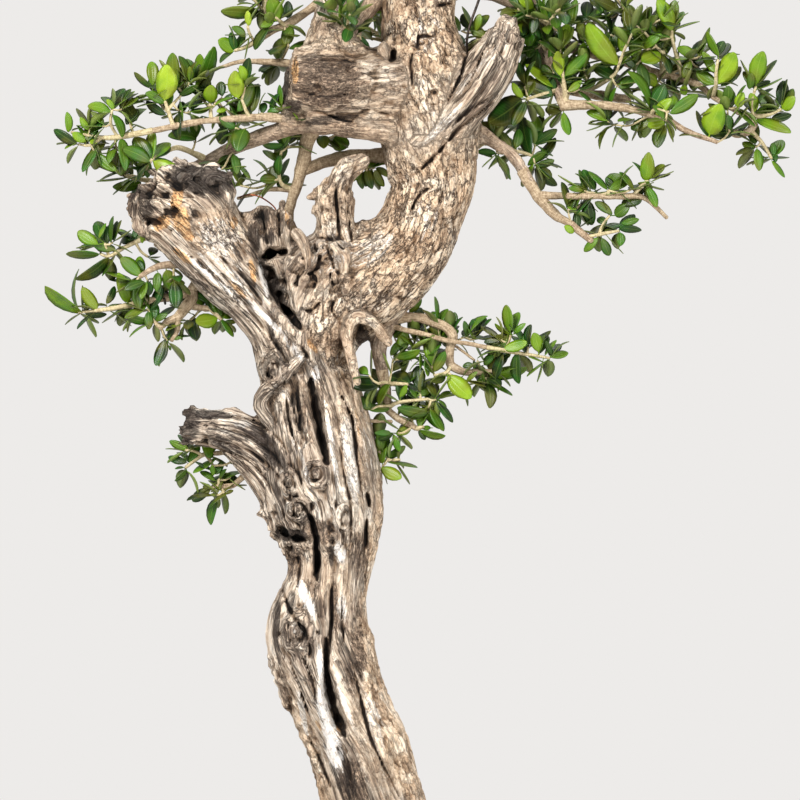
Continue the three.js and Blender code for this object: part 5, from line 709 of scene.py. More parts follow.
def frames(places):
    """At each place along a curve: heading, side, across, and the length travelled so far."""
    heading = np.gradient(places, axis=0)
    heading /= np.linalg.norm(heading, axis=1)[:, None]
    side = np.zeros_like(places)
    first = np.array([0.0, 0, 1]) if abs(heading[0][0]) > 0.9 else np.array([1.0, 0, 0])
    for i, h in enumerate(heading):
        turned = first if i == 0 else side[i - 1]
        side[i] = unit(turned - h * (turned @ h))
    steps = np.linalg.norm(np.diff(places, axis=0), axis=1)
    return heading, side, np.cross(heading, side), np.concatenate([[0], np.cumsum(steps)])


# ---------------------------------------------------------------- the field of the old wood

LOW = np.array([-236.0, -88.0, 30.0])
HIGH = np.array([122.0, 84.0, 852.0])
COUNT = ((HIGH - LOW) / VOXEL).astype(int) + 1
AXES = [(LOW[k] + VOXEL * np.arange(COUNT[k])).astype(np.float32) for k in range(3)]
FAR = 24.0                              # the field's value away from all wood
GRAIN_BLEND = 1.1                       # mm over which the grain of two lengths of a limb blends
field = np.full(COUNT, FAR, np.float32)


def smooth_min(a, b, blend):
    if not blend:
        return np.minimum(a, b)
    near = np.maximum(blend - np.abs(a - b), 0) / blend
    return np.minimum(a, b) - near * near * blend / 4


def smooth_max(a, b, blend):
    return -smooth_min(-a, -b, blend)


def span(low, high):
    """The slices of the field between two corners."""
    first = np.clip(((np.asarray(low) - LOW) / VOXEL).astype(int), 0, COUNT - 1)
    last = np.clip(((np.asarray(high) - LOW) / VOXEL).astype(int) + 2, 1, COUNT)
    return tuple(slice(int(a), int(b)) for a, b in zip(first, last))


def grid(where):
    x, y, z = [axis[s] for axis, s in zip(AXES, where)]
    return x[:, None, None], y[None, :, None], z[None, None, :]


def to_segment(x, y, z, a, b):
    """Places against a length of limb from a to b: how far along, and the offset from its middle."""
    run = b[:3] - a[:3]
    dx, dy, dz = x - a[0], y - a[1], z - a[2]
    t = np.clip((dx * run[0] + dy * run[1] + dz * run[2]) / max(run @ run, 1e-9), 0, 1)
    return t, dx - t * run[0], dy - t * run[1], dz - t * run[2]


class Limb:
    """A chain of round sections, with the way its grain runs."""

    def __init__(self, points, dead, end, blend, seed):
        self.points = finer(points, 7)
        self.heading, self.side, self.across, self.travelled = frames(self.points[:, :3])
        self.dead, self.end, self.blend, self.seed = dead, end, blend, seed
        self.size = float(self.points[:, 3].max())
        self.branch = False

    def measure(self, x, y, z, reach, shape):
        """Distance from the skin, and the place in the grain, over a grid or a list of places."""
        d = np.full(shape, FAR, np.float32)
        weight, u, v, s = np.zeros((4, *shape), np.float32)
        for i in range(len(self.points) - 1):
            a, b = self.points[i], self.points[i + 1]
            low = np.minimum(a, b)[:3] - max(a[3], b[3]) - reach
            high = np.maximum(a, b)[:3] + max(a[3], b[3]) + reach
            cut = self.window(x, y, z, low, high)
            if cut is None:
                continue
            px, py, pz, key = cut
            t, dx, dy, dz = to_segment(px, py, pz, a, b)
            away = np.sqrt(dx * dx + dy * dy + dz * dz)
            d[key] = np.minimum(d[key], away - (a[3] + t * (b[3] - a[3])))
            side, across = ([f[i][k] + t * (f[i + 1][k] - f[i][k]) for k in range(3)]
                            for f in (self.side, self.across))
            share = np.exp(-away / GRAIN_BLEND)
            weight[key] += share
            u[key] += share * (dx * side[0] + dy * side[1] + dz * side[2])
            v[key] += share * (dx * across[0] + dy * across[1] + dz * across[2])
            s[key] += share * (self.travelled[i] + t * (self.travelled[i + 1] - self.travelled[i]))
        weight = np.maximum(weight, 1e-35)
        return d, u / weight, v / weight, s / weight

    @staticmethod
    def window(x, y, z, low, high):
        """The part of a grid or a list of places that lies between two corners, and its key."""
        if x.ndim == 1:
            inside = [(c > a) & (c < b) for c, a, b in zip((x, y, z), low, high)]
            key = np.nonzero(np.logical_and.reduce(inside))[0]
            return (x[key], y[key], z[key], key) if len(key) else None
        key = tuple(slice(int(np.searchsorted(axis, low[k])), int(np.searchsorted(axis, high[k])))
                    for k, axis in enumerate((x.ravel(), y.ravel(), z.ravel())))
        if any(k.start >= k.stop for k in key):
            return None
        return x[key[0]], y[:, key[1]], z[:, :, key[2]], key

    def turned(self, u, v, s):
        """The place across the limb, turned a little as the grain runs on."""
        angle = s * 0.0035 + self.seed
        return u * np.cos(angle) - v * np.sin(angle), u * np.sin(angle) + v * np.cos(angle)

    def relief(self, u, v, s, dead):
        """How far the skin stands out, in mm: long grooves on bare wood, cracked plates on bark."""
        p, q = self.turned(u, v, s)
        o = 7.3 * self.seed
        groove = np.abs(noise(p / 4.4 + o, q / 4.4, s / 64) + 0.5 * noise(p / 2.0, q / 2.0 + o, s / 36))
        bare = 1.3 * (np.minimum(groove, 0.4) - 0.28) / 0.4
        bare += 1.7 * noise(p / 15, q / 15 + o, s / 26) + 0.5 * noise(p / 2.2, q / 2.2, s / 9 + o)
        crack = np.abs(noise(p / 6.5 + o, q / 6.5, s / 14))
        second = np.abs(noise(p / 4.2, q / 4.2 + o, s / 8 + 9))
        plates = -1.3 * (1 - smoothstep(0.02, 0.16, crack)) - 0.7 * (1 - smoothstep(0.02, 0.16, second))
        plates += 1.9 * noise(p / 13, q / 13 + o, s / 24) + 0.45 * noise(p / 3, q / 3, s / 6 + o)
        return min(1.0, self.size / 20) * (dead * bare + (1 - dead) * plates)

    def join(self):
        """Melts the limb into the field."""
        global field
        p = self.points
        reach = BAND + 6
        where = span((p[:, :3] - p[:, 3:]).min(0) - reach, (p[:, :3] + p[:, 3:]).max(0) + reach)
        x, y, z = grid(where)
        d, u, v, s = self.measure(x, y, z, reach, field[where].shape)
        if self.end is not None:
            last = p[-1]
            h = self.heading[-1]
            past = (x - last[0]) * h[0] + (y - last[1]) * h[1] + (z - last[2]) * h[2] - self.end * last[3]
            d = smooth_max(d, past + 1.5 * noise(u / 5, v / 5, self.seed), 3)
        near = np.nonzero(np.abs(d) < BAND)
        dead = self.dead
        if self.size > TRUNK_SIZE:
            dead = self.dead * deadness(x[near[0], 0, 0], y[0, near[1], 0], z[0, 0, near[2]])
        d[near] -= self.relief(u[near], v[near], s[near], dead)
        field[where] = smooth_min(field[where], d, self.blend)


def deadness(x, y, z):
    """1 on the trunk's bare wood and 0 on its living bark, over arrays of places."""
    line = np.array(sorted(LIVE_EDGE, key=lambda row: row[1]), float)
    edge = np.interp(z, line[:, 1], line[:, 0]) - 22 * smoothstep(0, 22, y)
    edge = edge + 3 * noise(x / 9, y / 9, z / 12)
    strand = smoothstep(14, 6, np.abs(x - np.interp(z, [130, 205, 260], [-74, -90, -104])))
    strand = strand * smoothstep(215, 195, z)
    return smoothstep(4, -4, x - edge) * (1 - 0.9 * strand)


def thick_part(points):
    """The points of a branch up to where it grows thin, on its smooth curve."""
    fine = finer(points, 5)
    thin = np.nonzero(fine[:, 3] < THIN)[0]
    return fine if not len(thin) else fine[:thin[0] + 1]


limbs = [Limb(*row, 1.7 * number + 0.3) for number, row in enumerate(LIMBS)]
for number, points in enumerate(BRANCHES):
    part = thick_part(points)
    if len(part) > 2:
        limbs.append(Limb([tuple(row) for row in part], 0.15, None, 5, 0.9 * number + 0.5))
        limbs[-1].branch = True
for one in limbs:
    one.join()

for centre, reach, height, grit in BURRS:
    where = span(np.array(centre) - reach, np.array(centre) + reach)
    x, y, z = grid(where)
    away = np.sqrt((x - centre[0]) ** 2 + (y - centre[1]) ** 2 + (z - centre[2]) ** 2)
    lump = 1.4 * noise(x / grit, y / grit, z / grit)
    lump += 0.7 * np.abs(noise(x / grit * 2.1 + 9, y / grit * 2.1, z / grit * 2.1))
    field[where] -= height * lump * smoothstep(reach, 0.6 * reach, away)

for centre, size, lean in HOLLOWS:
    reach = max(size) + 8
    where = span(np.array(centre) - reach, np.array(centre) + reach)
    x, y, z = grid(where)
    turn = math.radians(lean)
    dx = (x - centre[0]) * math.cos(turn) - (z - centre[2]) * math.sin(turn)
    dz = (x - centre[0]) * math.sin(turn) + (z - centre[2]) * math.cos(turn)
    away = np.sqrt((dx / size[0]) ** 2 + ((y - centre[1]) / size[1]) ** 2 + (dz / size[2]) ** 2)
    skin = (away - 1) * min(size) + 2.2 * noise(x / 5, y / 5, z / 6)
    field[where] = smooth_max(field[where], -skin, 2)

for number, points in enumerate(TWISTS):
    limbs.append(Limb(points, 0.6, None, 4.5, 2.3 * number + 0.8))
    limbs[-1].join()

# ---------------------------------------------------------------- carving seen from the front

solid = field < 0
has_wood = solid.any(axis=1)
thickness = solid.sum(axis=1) * VOXEL
front = np.where(has_wood, AXES[1][solid.argmax(axis=1)], 999.0).astype(np.float32)
MAP_X, MAP_Z = AXES[0][:, None], AXES[2][None, :]


def map_window(points, reach):
    """The slices of the map round some points."""
    return tuple(slice(*np.searchsorted(axis, (min(values) - reach, max(values) + reach)))
                 for axis, values in zip((AXES[0], AXES[2]), zip(*points)))


def along_line(points, reach):
    """The part of the map near a line: its distance from the line, and how far along, 0..1."""
    curve = finer([(x, 0, z) for x, z in points], 4)[:, [0, 2]]
    where = map_window(curve, reach)
    x, z = np.broadcast_arrays(MAP_X[where[0]], MAP_Z[:, where[1]])
    best, place = np.full(x.shape, 1e3), np.zeros(x.shape)
    for i in range(len(curve) - 1):
        (ax, az), (bx, bz) = curve[i], curve[i + 1]
        size = max((bx - ax) ** 2 + (bz - az) ** 2, 1e-9)
        t = np.clip(((x - ax) * (bx - ax) + (z - az) * (bz - az)) / size, 0, 1)
        away = np.hypot(x - ax - t * (bx - ax), z - az - t * (bz - az))
        closer = away < best
        best[closer] = away[closer]
        place[closer] = (i + t[closer]) / (len(curve) - 1)
    wobble = noise(x / 4, z / 7, points[0][0]) + 0.5 * noise(x / 1.7, z / 3, points[0][0])
    return where, best, wobble, place


carved = np.zeros((COUNT[0], COUNT[2]), np.float32)
for sign, rows in ((-1, GROOVES), (1, RIDGES)):
    for half, height, points in rows:
        where, away, wobble, place = along_line(points, 4 * half + 3)
        away = np.maximum(away + min(1.0, 0.4 * half) * wobble, 0)
        taper = np.clip(4 * np.minimum(place, 1 - place), 0, 1) ** 0.6
        uneven = 0.92 + 0.14 * noise(place * len(points) * 2, points[0][0], 0)
        depth = (0.2 + 0.8 * taper) * uneven
        carved[where] += sign * height * depth * smoothstep(1.7 * half * (0.4 + 0.6 * taper), 0, away)
for x, z, half_x, half_z, out, _ in KNOTS:
    where = map_window([(x, z)], 3 * max(half_x, half_z))
    map_x, map_z = MAP_X[where[0]], MAP_Z[:, where[1]]
    ring = np.hypot((map_x - x) / half_x, (map_z - z) / half_z) + 0.3 * noise(map_x / 4, map_z / 4, x)
    uneven = 0.75 + 0.7 * noise(map_x / 6, map_z / 6, z)
    if out > 0:
        carved[where] += 0.7 * out * uneven * (
            0.5 * bell(ring, 0, 0.6) + bell(ring, 1.05, 0.32) - bell(ring, 0.62, 0.17)
            - 0.5 * bell(ring, 1.62, 0.2))
    else:
        carved[where] += out * bell(ring, 0, 0.7) - 0.4 * out * bell(ring, 1.15, 0.25)
carved = np.maximum(carved, -0.4 * thickness)
depth_in = AXES[1][None, :, None] - front[:, None, :]
field -= carved[:, None, :] * np.clip((30 - depth_in) / 8, 0, 1) * (depth_in > -12)
del depth_in, solid


def blurred(values, reach):
    """Box blur of the field, a number of cells each way."""
    out = values
    for axis in range(3):
        before, after = np.take(out, [0] * (reach + 1), axis), np.take(out, [-1] * reach, axis)
        padded = np.concatenate([before, out, after], axis)
        total = np.cumsum(padded, axis=axis, dtype=np.float64)
        width = 2 * reach + 1
        high = np.take(total, range(width, width + out.shape[axis]), axis)
        low = np.take(total, range(out.shape[axis]), axis)
        out = ((high - low) / width).astype(np.float32)
    return out


# the field blurred, from which the painted shade of grooves and hollows and the painted highlight of ridges
# are read
softened = blurred(np.clip(field, -8, 8), max(1, round(5 / VOXEL)))
softened += 1.1 * blurred(np.clip(field, -4, 4), max(1, round(2 / VOXEL)))


def sampled(values, places):
    """Values of the field's grid at places, between its cells."""
    at = (places - LOW) / VOXEL
    at = np.clip(at, 0, COUNT - 1.001)
    i = at.astype(int)
    f = at - i
    out = 0
    for corner in range(8):
        step = np.array([(corner >> k) & 1 for k in range(3)])
        weight = np.prod(np.where(step, f, 1 - f), axis=1)
        out = out + weight * values[tuple((i + step).T)]
    return out


# ---------------------------------------------------------------- meshes

def make_object(name, places, quads, triangles=(), marks=None):
    """A mesh from places in mm. marks: a name to an array of numbers, vectors or colours by place."""
    if name != "floor":
        places = np.clip(places, BOX_LOW + BOX_MARGIN, BOX_HIGH - BOX_MARGIN)
    mesh = bpy.data.meshes.new(name)
    quads = np.asarray(quads, np.int32).reshape(-1, 4)
    triangles = np.asarray(triangles, np.int32).reshape(-1, 3)
    corners = np.concatenate([quads.ravel(), triangles.ravel()])
    starts = np.concatenate([4 * np.arange(len(quads)), 4 * len(quads) + 3 * np.arange(len(triangles))])
    mesh.vertices.add(len(places))
    mesh.vertices.foreach_set("co", (np.asarray(places, np.float64) * MM).astype(np.float32).ravel())
    mesh.loops.add(len(corners))
    mesh.loops.foreach_set("vertex_index", corners.astype(np.int32))
    mesh.polygons.add(len(starts))
    mesh.polygons.foreach_set("loop_start", starts.astype(np.int32))
    mesh.update(calc_edges=True)
    mesh.shade_smooth()
    for mark, values in (marks or {}).items():
        values = np.asarray(values, np.float32)
        width = 1 if values.ndim == 1 else values.shape[1]
        kind, key = {1: ("FLOAT", "value"), 3: ("FLOAT_VECTOR", "vector"), 4: ("FLOAT_COLOR", "color")}[width]
        mesh.attributes.new(mark, kind, "POINT").data.foreach_set(key, values.ravel())
    made = bpy.data.objects.new(name, mesh)
    bpy.context.scene.collection.objects.link(made)
    return made


def dress(made, material, nodes=()):
    made.data.materials.append(material)
    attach(made, "root")
    if nodes:
        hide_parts(*nodes)
    return made


class Lump:
    """Places, faces and marks that grow into one object."""

    def __init__(self):
        self.places, self.quads, self.triangles, self.marks, self.count = [], [], [], {}, 0

    def add(self, places, quads=(), triangles=(), **marks):
        quads, triangles = np.asarray(quads, int).reshape(-1, 4), np.asarray(triangles, int).reshape(-1, 3)
        self.places.append(np.asarray(places, float))
        self.quads.append(quads + self.count)
        self.triangles.append(triangles + self.count)
        for mark, values in marks.items():
            self.marks.setdefault(mark, []).append(values)
        self.count += len(places)

    def make(self, name):
        marks = {mark: np.concatenate(values) for mark, values in self.marks.items()}
        return make_object(name, np.concatenate(self.places), np.concatenate(self.quads),
                           np.concatenate(self.triangles), marks)


def rings_to_faces(rings, sides):
    """Quads between rings of equal count, one after another."""
    i, j = np.meshgrid(np.arange(rings - 1), np.arange(sides), indexing="ij")
    a, b = i * sides + j, i * sides + (j + 1) % sides
    return np.stack([a, b, b + sides, a + sides], axis=-1).reshape(-1, 4)


def closed_rings(rings, bottom, top):
    """Rings with a middle at either end: places, quads, and the triangles of the ends."""
    rings = np.array(rings)
    count = rings.shape[1]
    places = np.vstack([rings.reshape(-1, 3), bottom, top])
    last = (len(rings) - 1) * count
    caps = [(len(places) - 2, (j + 1) % count, j) for j in range(count)]
    caps += [(len(places) - 1, last + j, last + (j + 1) % count) for j in range(count)]
    return places, rings_to_faces(len(rings), count), caps


def circle(radius, sides, middle=(0, 0, 0)):
    angle = 2 * np.pi * np.arange(sides) / sides
    return np.stack([radius * np.cos(angle), radius * np.sin(angle), 0 * angle], axis=1) + middle


def tube(points, sides, step, rough, seed):
    """A tapered round stem with small swellings: places, quads, triangles and its grain."""
    p = finer(points, step)
    heading, side, across, travelled = frames(p[:, :3])
    angle = 2 * np.pi * np.arange(sides) / sides
    offset = side[:, None] * np.cos(angle)[None, :, None] + across[:, None] * np.sin(angle)[None, :, None]
    s = np.repeat(travelled[:, None], sides, 1)
    around = noise(np.cos(angle)[None] * 1.3 + seed, np.sin(angle)[None] * 1.3, s / 4.5)
    swell = noise(s / 7, seed, 0)
    radius = p[:, 3][:, None] * (1 + rough * (0.8 * around + 0.6 * swell))
    places = (p[:, None, :3] + offset * radius[:, :, None]).reshape(-1, 3)
    grain = np.stack([np.cos(angle)[None] * radius, np.sin(angle)[None] * radius, s], axis=-1).reshape(-1, 3)
    quads = rings_to_faces(len(p), sides)
    caps = []
    for ring, way in ((0, -1), (len(p) - 1, 1)):
        places = np.vstack([places, p[ring, :3] + way * heading[ring] * p[ring, 3] * 0.5])
        grain = np.vstack([grain, [0, 0, travelled[ring]]])
        apex = len(places) - 1
        for j in range(sides):
            a, b = ring * sides + j, ring * sides + (j + 1) % sides
            caps.append((a, b, apex) if way > 0 else (b, a, apex))
    return places, quads, caps, grain


# ---------------------------------------------------------------- materials

def linear(r, g, b):
    """A colour from display values 0..255."""
    return (*(c / 255 / 12.92 if c <= 10 else ((c / 255 + 0.055) / 1.055) ** 2.4 for c in (r, g, b)), 1.0)


class Paint:
    """A material that is built up from nodes."""

    def __init__(self, name, roughness, **sockets):
        self.material = bpy.data.materials.new(name)
        self.material.use_nodes = True
        self.tree = self.material.node_tree
        self.shader = self.tree.nodes["Principled BSDF"]
        self.shader.inputs["Roughness"].default_value = roughness
        for socket, value in sockets.items():
            self.shader.inputs[socket.replace("_", " ")].default_value = value

    def link(self, value, socket):
        if isinstance(value, bpy.types.NodeSocket):
            self.tree.links.new(value, socket)
        else:
            socket.default_value = value

    def node(self, kind, values=(), **settings):
        made = self.tree.nodes.new(kind)
        for key, value in settings.items():
            setattr(made, key, value)
        for key, value in dict(values).items():
            self.link(value, made.inputs[key])
        return made

    def mark(self, name, output="Fac"):
        return self.node("ShaderNodeAttribute", attribute_name=name).outputs[output]

    def here(self):
        return self.node("ShaderNodeTexCoord").outputs["Object"]

    def scaled(self, vector, x, y, z):
        return self.node("ShaderNodeVectorMath", {0: vector, 1: (x, y, z)}, operation="MULTIPLY").outputs[0]

    def noise(self, vector, scale=1.0, detail=3.0, rough=0.55, bend=0.0):
        values = {"Vector": vector, "Scale": scale, "Detail": detail, "Roughness": rough, "Distortion": bend}
        return self.node("ShaderNodeTexNoise", values).outputs["Fac"]

    def grained(self, grain, across, along, detail, rough, bend=0.0):
        """Noise over the grain, with one scale across it and one along it."""
        return self.noise(self.scaled(grain, across, across, along), 1, detail, rough, bend)

    def math(self, operation, *values):
        return self.node("ShaderNodeMath", enumerate(values), operation=operation).outputs[0]

    def times(self, a, b):
        return self.math("MULTIPLY", a, b)

    def sum(self, a, by, b):
        """a * by + b."""
        return self.math("MULTIPLY_ADD", a, by, b)

    def spread(self, value, low, high, to_low=0.0, to_high=1.0):
        """A value from low to high, smoothly mapped to its new ends."""
        values = {"Value": value, "From Min": low, "From Max": high, "To Min": to_low, "To Max": to_high}
        return self.node("ShaderNodeMapRange", values, interpolation_type="SMOOTHSTEP").outputs[0]

    def mix(self, share, a, b, how="MIX"):
        values = {"Fac": share, "Color1": a, "Color2": b}
        return self.node("ShaderNodeMixRGB", values, blend_type=how).outputs[0]

    def ramp(self, value, stops):
        """A colour that follows a value. stops: (where, linear colour)."""
        made = self.node("ShaderNodeValToRGB", {"Fac": value})
        elements = made.color_ramp.elements
        while len(elements) < len(stops):
            elements.new(0.5)
        for element, (place, colour) in zip(elements, sorted(stops)):
            element.position = place
            element.color = colour
        return made.outputs["Color"]

    def tones(self, value, *stops):
        """A ramp of display colours. stops: (where, r, g, b)."""
        return self.ramp(value, [(place, linear(*colour)) for place, *colour in stops])

    def tint(self, colour, value, stops):
        return self.mix(1.0, colour, self.ramp(value, stops), "MULTIPLY")

    def finish(self, colour, height=None, distance=0.0005, strength=0.6):
        self.link(colour, self.shader.inputs["Base Color"])
        if height is not None:
            bump = self.node("ShaderNodeBump", {"Height": height, "Strength": strength, "Distance": distance})
            self.link(bump.outputs[0], self.shader.inputs["Normal"])
        return self.material


def wood_material():
    paint = Paint("Old wood", 0.88, Specular_IOR_Level=0.25)
    grain = paint.mark("grain", "Vector")
    dead = paint.mark("dead")
    stains_and_shade = paint.node("ShaderNodeSeparateXYZ", {"Vector": paint.mark("stains_and_shade", "Vector")}).outputs
    patch = paint.noise(paint.here(), 38, 5, 0.65)
    cloud = paint.noise(paint.here(), 16, 3, 0.55)

    def line(width, *pattern):
        """1 along the middle value of a noise over the grain, 0 away from it."""
        value = paint.math("SUBTRACT", paint.grained(grain, *pattern), 0.5)
        return paint.spread(paint.math("ABSOLUTE", value), width, 0.0)

    def darken(colour, mask, most, tone):
        return paint.mix(paint.times(mask, most), colour, linear(*tone))

    # bare wood
    broken = paint.grained(grain, 0.35, 0.05, 5, 0.65)
    ragged = paint.sum(broken, 1.7, -0.85)
    streak = paint.grained(grain, 0.2, 0.012, 5, 0.6, 0.3)
    fibre = paint.grained(grain, 1.2, 0.07, 3, 0.6, 0.1)
    speck = paint.grained(grain, 0.9, 0.5, 5, 0.72)
    hair = line(0.105, 0.36, 0.013, 3, 0.55, 0.25)
    split = line(0.05, 0.15, 0.009, 4, 0.6, 0.35)
    some = paint.spread(paint.grained(grain, 0.07, 0.012, 3, 0.6), 0.42, 0.58, 0.35, 1.0)
    bare_tone = paint.sum(fibre, 0.34, paint.times(streak, 0.5))
    bare_tone = paint.sum(patch, 0.3, paint.math("ADD", bare_tone, -0.06))
    bare = paint.tones(
        bare_tone, (0.36, 84, 72, 64), (0.43, 136, 120, 106), (0.49, 180, 164, 147),
        (0.54, 208, 194, 177), (0.6, 230, 219, 204), (0.68, 249, 244, 236))

    # the brown rind that is left on bare wood
    crust = paint.grained(grain, 0.75, 0.4, 5, 0.7, 0.2)
    rind = paint.tones(
        paint.sum(crust, 0.8, paint.times(patch, 0.2)), (0.38, 52, 43, 37), (0.45, 96, 81, 69),
        (0.51, 136, 117, 100), (0.58, 176, 155, 134), (0.68, 214, 196, 174))
    rind = darken(rind, line(0.06, 0.25, 0.12, 4, 0.62, 0.5), 0.75, (42, 34, 29))
    weathered = paint.grained(grain, 0.06, 0.02, 4, 0.6, 0.4)

    # cracked bark
    warped = paint.scaled(grain, 0.16, 0.16, 0.1)
    for scale, detail, reach in ((0.12, 2.0, (1.1, 1.1, 1.1)), (0.55, 3.0, (0.62, 0.62, 0.5))):
        bend = paint.node("ShaderNodeTexNoise", {"Vector": grain, "Scale": scale, "Detail": detail})
        bend = paint.scaled(bend.outputs["Color"], *reach)
        warped = paint.node("ShaderNodeVectorMath", {0: warped, 1: bend}, operation="ADD").outputs[0]

    def cells(scale, **feature):
        return paint.node("ShaderNodeTexVoronoi", {"Vector": warped, "Scale": scale}, **feature).outputs

    plates = cells(1.0, feature="DISTANCE_TO_EDGE")[0]
    small = cells(2.3, feature="DISTANCE_TO_EDGE")[0]
    plate = paint.node("ShaderNodeSeparateColor", {"Color": cells(1.0)["Color"]}).outputs["Red"]
    wide = paint.spread(patch, 0.42, 0.6, 0.02, 0.17)
    crack = paint.times(paint.spread(plates, wide, 0.0), paint.spread(broken, 0.38, 0.5, 0.2, 1.0))
    fine = paint.times(paint.spread(small, 0.17, 0.0), paint.spread(broken, 0.42, 0.56))
    rift = line(0.03, 0.1, 0.03, 5, 0.66, 0.5)
    flake = paint.grained(grain, 0.7, 0.42, 5, 0.7)
    bark_tone = paint.sum(patch, 0.5, paint.times(flake, 0.42))
    bark_tone = paint.sum(plate, 0.12, paint.math("ADD", bark_tone, -0.005))
    bark = paint.tones(
        bark_tone, (0.37, 116, 93, 74), (0.44, 166, 141, 116), (0.51, 206, 183, 157),
        (0.58, 230, 212, 189), (0.67, 248, 238, 222))

    # the smoother bark of branches
    rings = paint.grained(grain, 0.3, 0.5, 4, 0.62)
    smooth = paint.tones(
        paint.sum(rings, 0.5, paint.times(fibre, 0.5)),
        (0.38, 92, 76, 64), (0.5, 150, 129, 110), (0.62, 194, 175, 152))
    branch = paint.times(paint.mark("branch"), 0.8)

    # all together, with stains, cracks, painted light by height, and painted shade in cavities with a painted
    # highlight on ridges
    colour = paint.mix(dead, paint.mix(branch, bark, smooth), bare)
    rind_share = paint.times(paint.spread(weathered, 0.5, 0.6, 0.0, 0.45), dead)
    rind_share = paint.math("ADD", paint.math("MAXIMUM", paint.mark("brown"), rind_share), ragged)
    colour = paint.mix(paint.spread(rind_share, 0.4, 0.66, 0.0, 0.92), colour, rind)
    # stain colours: X orange, Y dark, partly painted shade in hollows and slits, Z pale
    for channel, dark, light, low, high, most in (
        ("Z", (206, 192, 174), (254, 251, 246), 0.42, 0.6, 0.88),
        ("X", (172, 118, 66), (240, 204, 152), 0.38, 0.75, 0.88),
        ("Y", (15, 13, 13), (88, 80, 74), 0.36, 0.72, 0.9),
    ):
        share = paint.spread(paint.math("ADD", stains_and_shade[channel], ragged), low, high, 0.0, most)
        colour = paint.mix(share, colour, paint.tones(speck, (0.42, *dark), (0.62, *light)))
    live = paint.times(paint.math("SUBTRACT", 1.0, dead), paint.math("SUBTRACT", 1.0, branch))
    level = paint.node("ShaderNodeSeparateXYZ", {"Vector": paint.here()}).outputs["Z"]
    live = paint.times(live, paint.spread(level, 0.28, 0.42, 0.5, 1.0))
    for mask, where, most, tone in (
        (fine, live, 0.5, (92, 70, 56)), (crack, live, 0.85, (66, 49, 40)),
        (rift, live, 0.85, (48, 36, 30)), (paint.times(hair, some), dead, 0.8, (62, 52, 46)),
        (split, dead, 0.88, (36, 29, 26)),
    ):
        colour = darken(colour, paint.times(mask, where), most, tone)
    colour = paint.tint(colour, cloud, [(0.38, (1.03, 0.995, 0.95, 1)), (0.62, (0.98, 0.99, 1.0, 1))])
    # painted light by height: darker at the foot of the trunk, lightest from 0.19 to 0.4 m, a little darker
    # towards the crown
    colour = paint.tint(colour, level, [
        (0.12, (0.84, 0.82, 0.8, 1)), (0.19, (1.1, 1.1, 1.1, 1)), (0.4, (1.08, 1.08, 1.08, 1)),
        (0.55, (1, 1, 1, 1)), (0.8, (0.92, 0.92, 0.92, 1))])
    # painted shade: darker in grooves, cracks and hollows, and a painted highlight on ridges, from the
    # blurred field
    shade = paint.mark("painted_shade_and_highlight"), [
        (0.0, (1.24, 1.22, 1.2, 1)), (0.32, (1, 1, 1, 1)), (0.58, (0.47, 0.4, 0.34, 1)),
        (0.84, (0.05, 0.04, 0.035, 1))]
    colour = paint.tint(colour, *shade)
    # the strongest pale strips go on top in white, under half the painted shade
    strong = paint.spread(paint.math("ADD", ragged, stains_and_shade["Z"]), 0.8, 0.94, 0.0, 0.85)
    white = paint.tones(speck, (0.36, 226, 214, 198), (0.5, 255, 253, 250))
    colour = paint.mix(strong, colour, paint.mix(0.5, white, paint.ramp(*shade), "MULTIPLY"))

    bare_height = paint.math("ADD", streak, paint.times(fibre, 0.6))
    bare_height = paint.sum(split, -0.8, paint.sum(hair, -0.35, bare_height))
    bark_height = paint.sum(flake, 0.6, paint.times(rift, -0.8))
    bark_height = paint.sum(crack, -0.8, paint.sum(fine, -0.3, bark_height))
    height = paint.node("ShaderNodeMix", {0: dead, 2: bark_height, 3: bare_height}).outputs[0]
    return paint.finish(colour, height, 0.0013, 0.9)


def twig_material():
    paint = Paint("Young bark", 0.8, Specular_IOR_Level=0.3)
    grain = paint.mark("grain", "Vector")
    lines = paint.grained(grain, 0.9, 0.22, 4, 0.6)
    tone = paint.sum(lines, 0.6, paint.times(paint.grained(grain, 0.25, 0.9, 3, 0.6), 0.4))
    old = paint.tones(tone, (0.36, 104, 84, 66), (0.48, 152, 130, 106), (0.6, 190, 170, 144))
    young = paint.tones(tone, (0.36, 146, 130, 92), (0.6, 212, 200, 158))
    return paint.finish(paint.mix(paint.mark("young"), old, young), lines, 0.0004, 0.6)


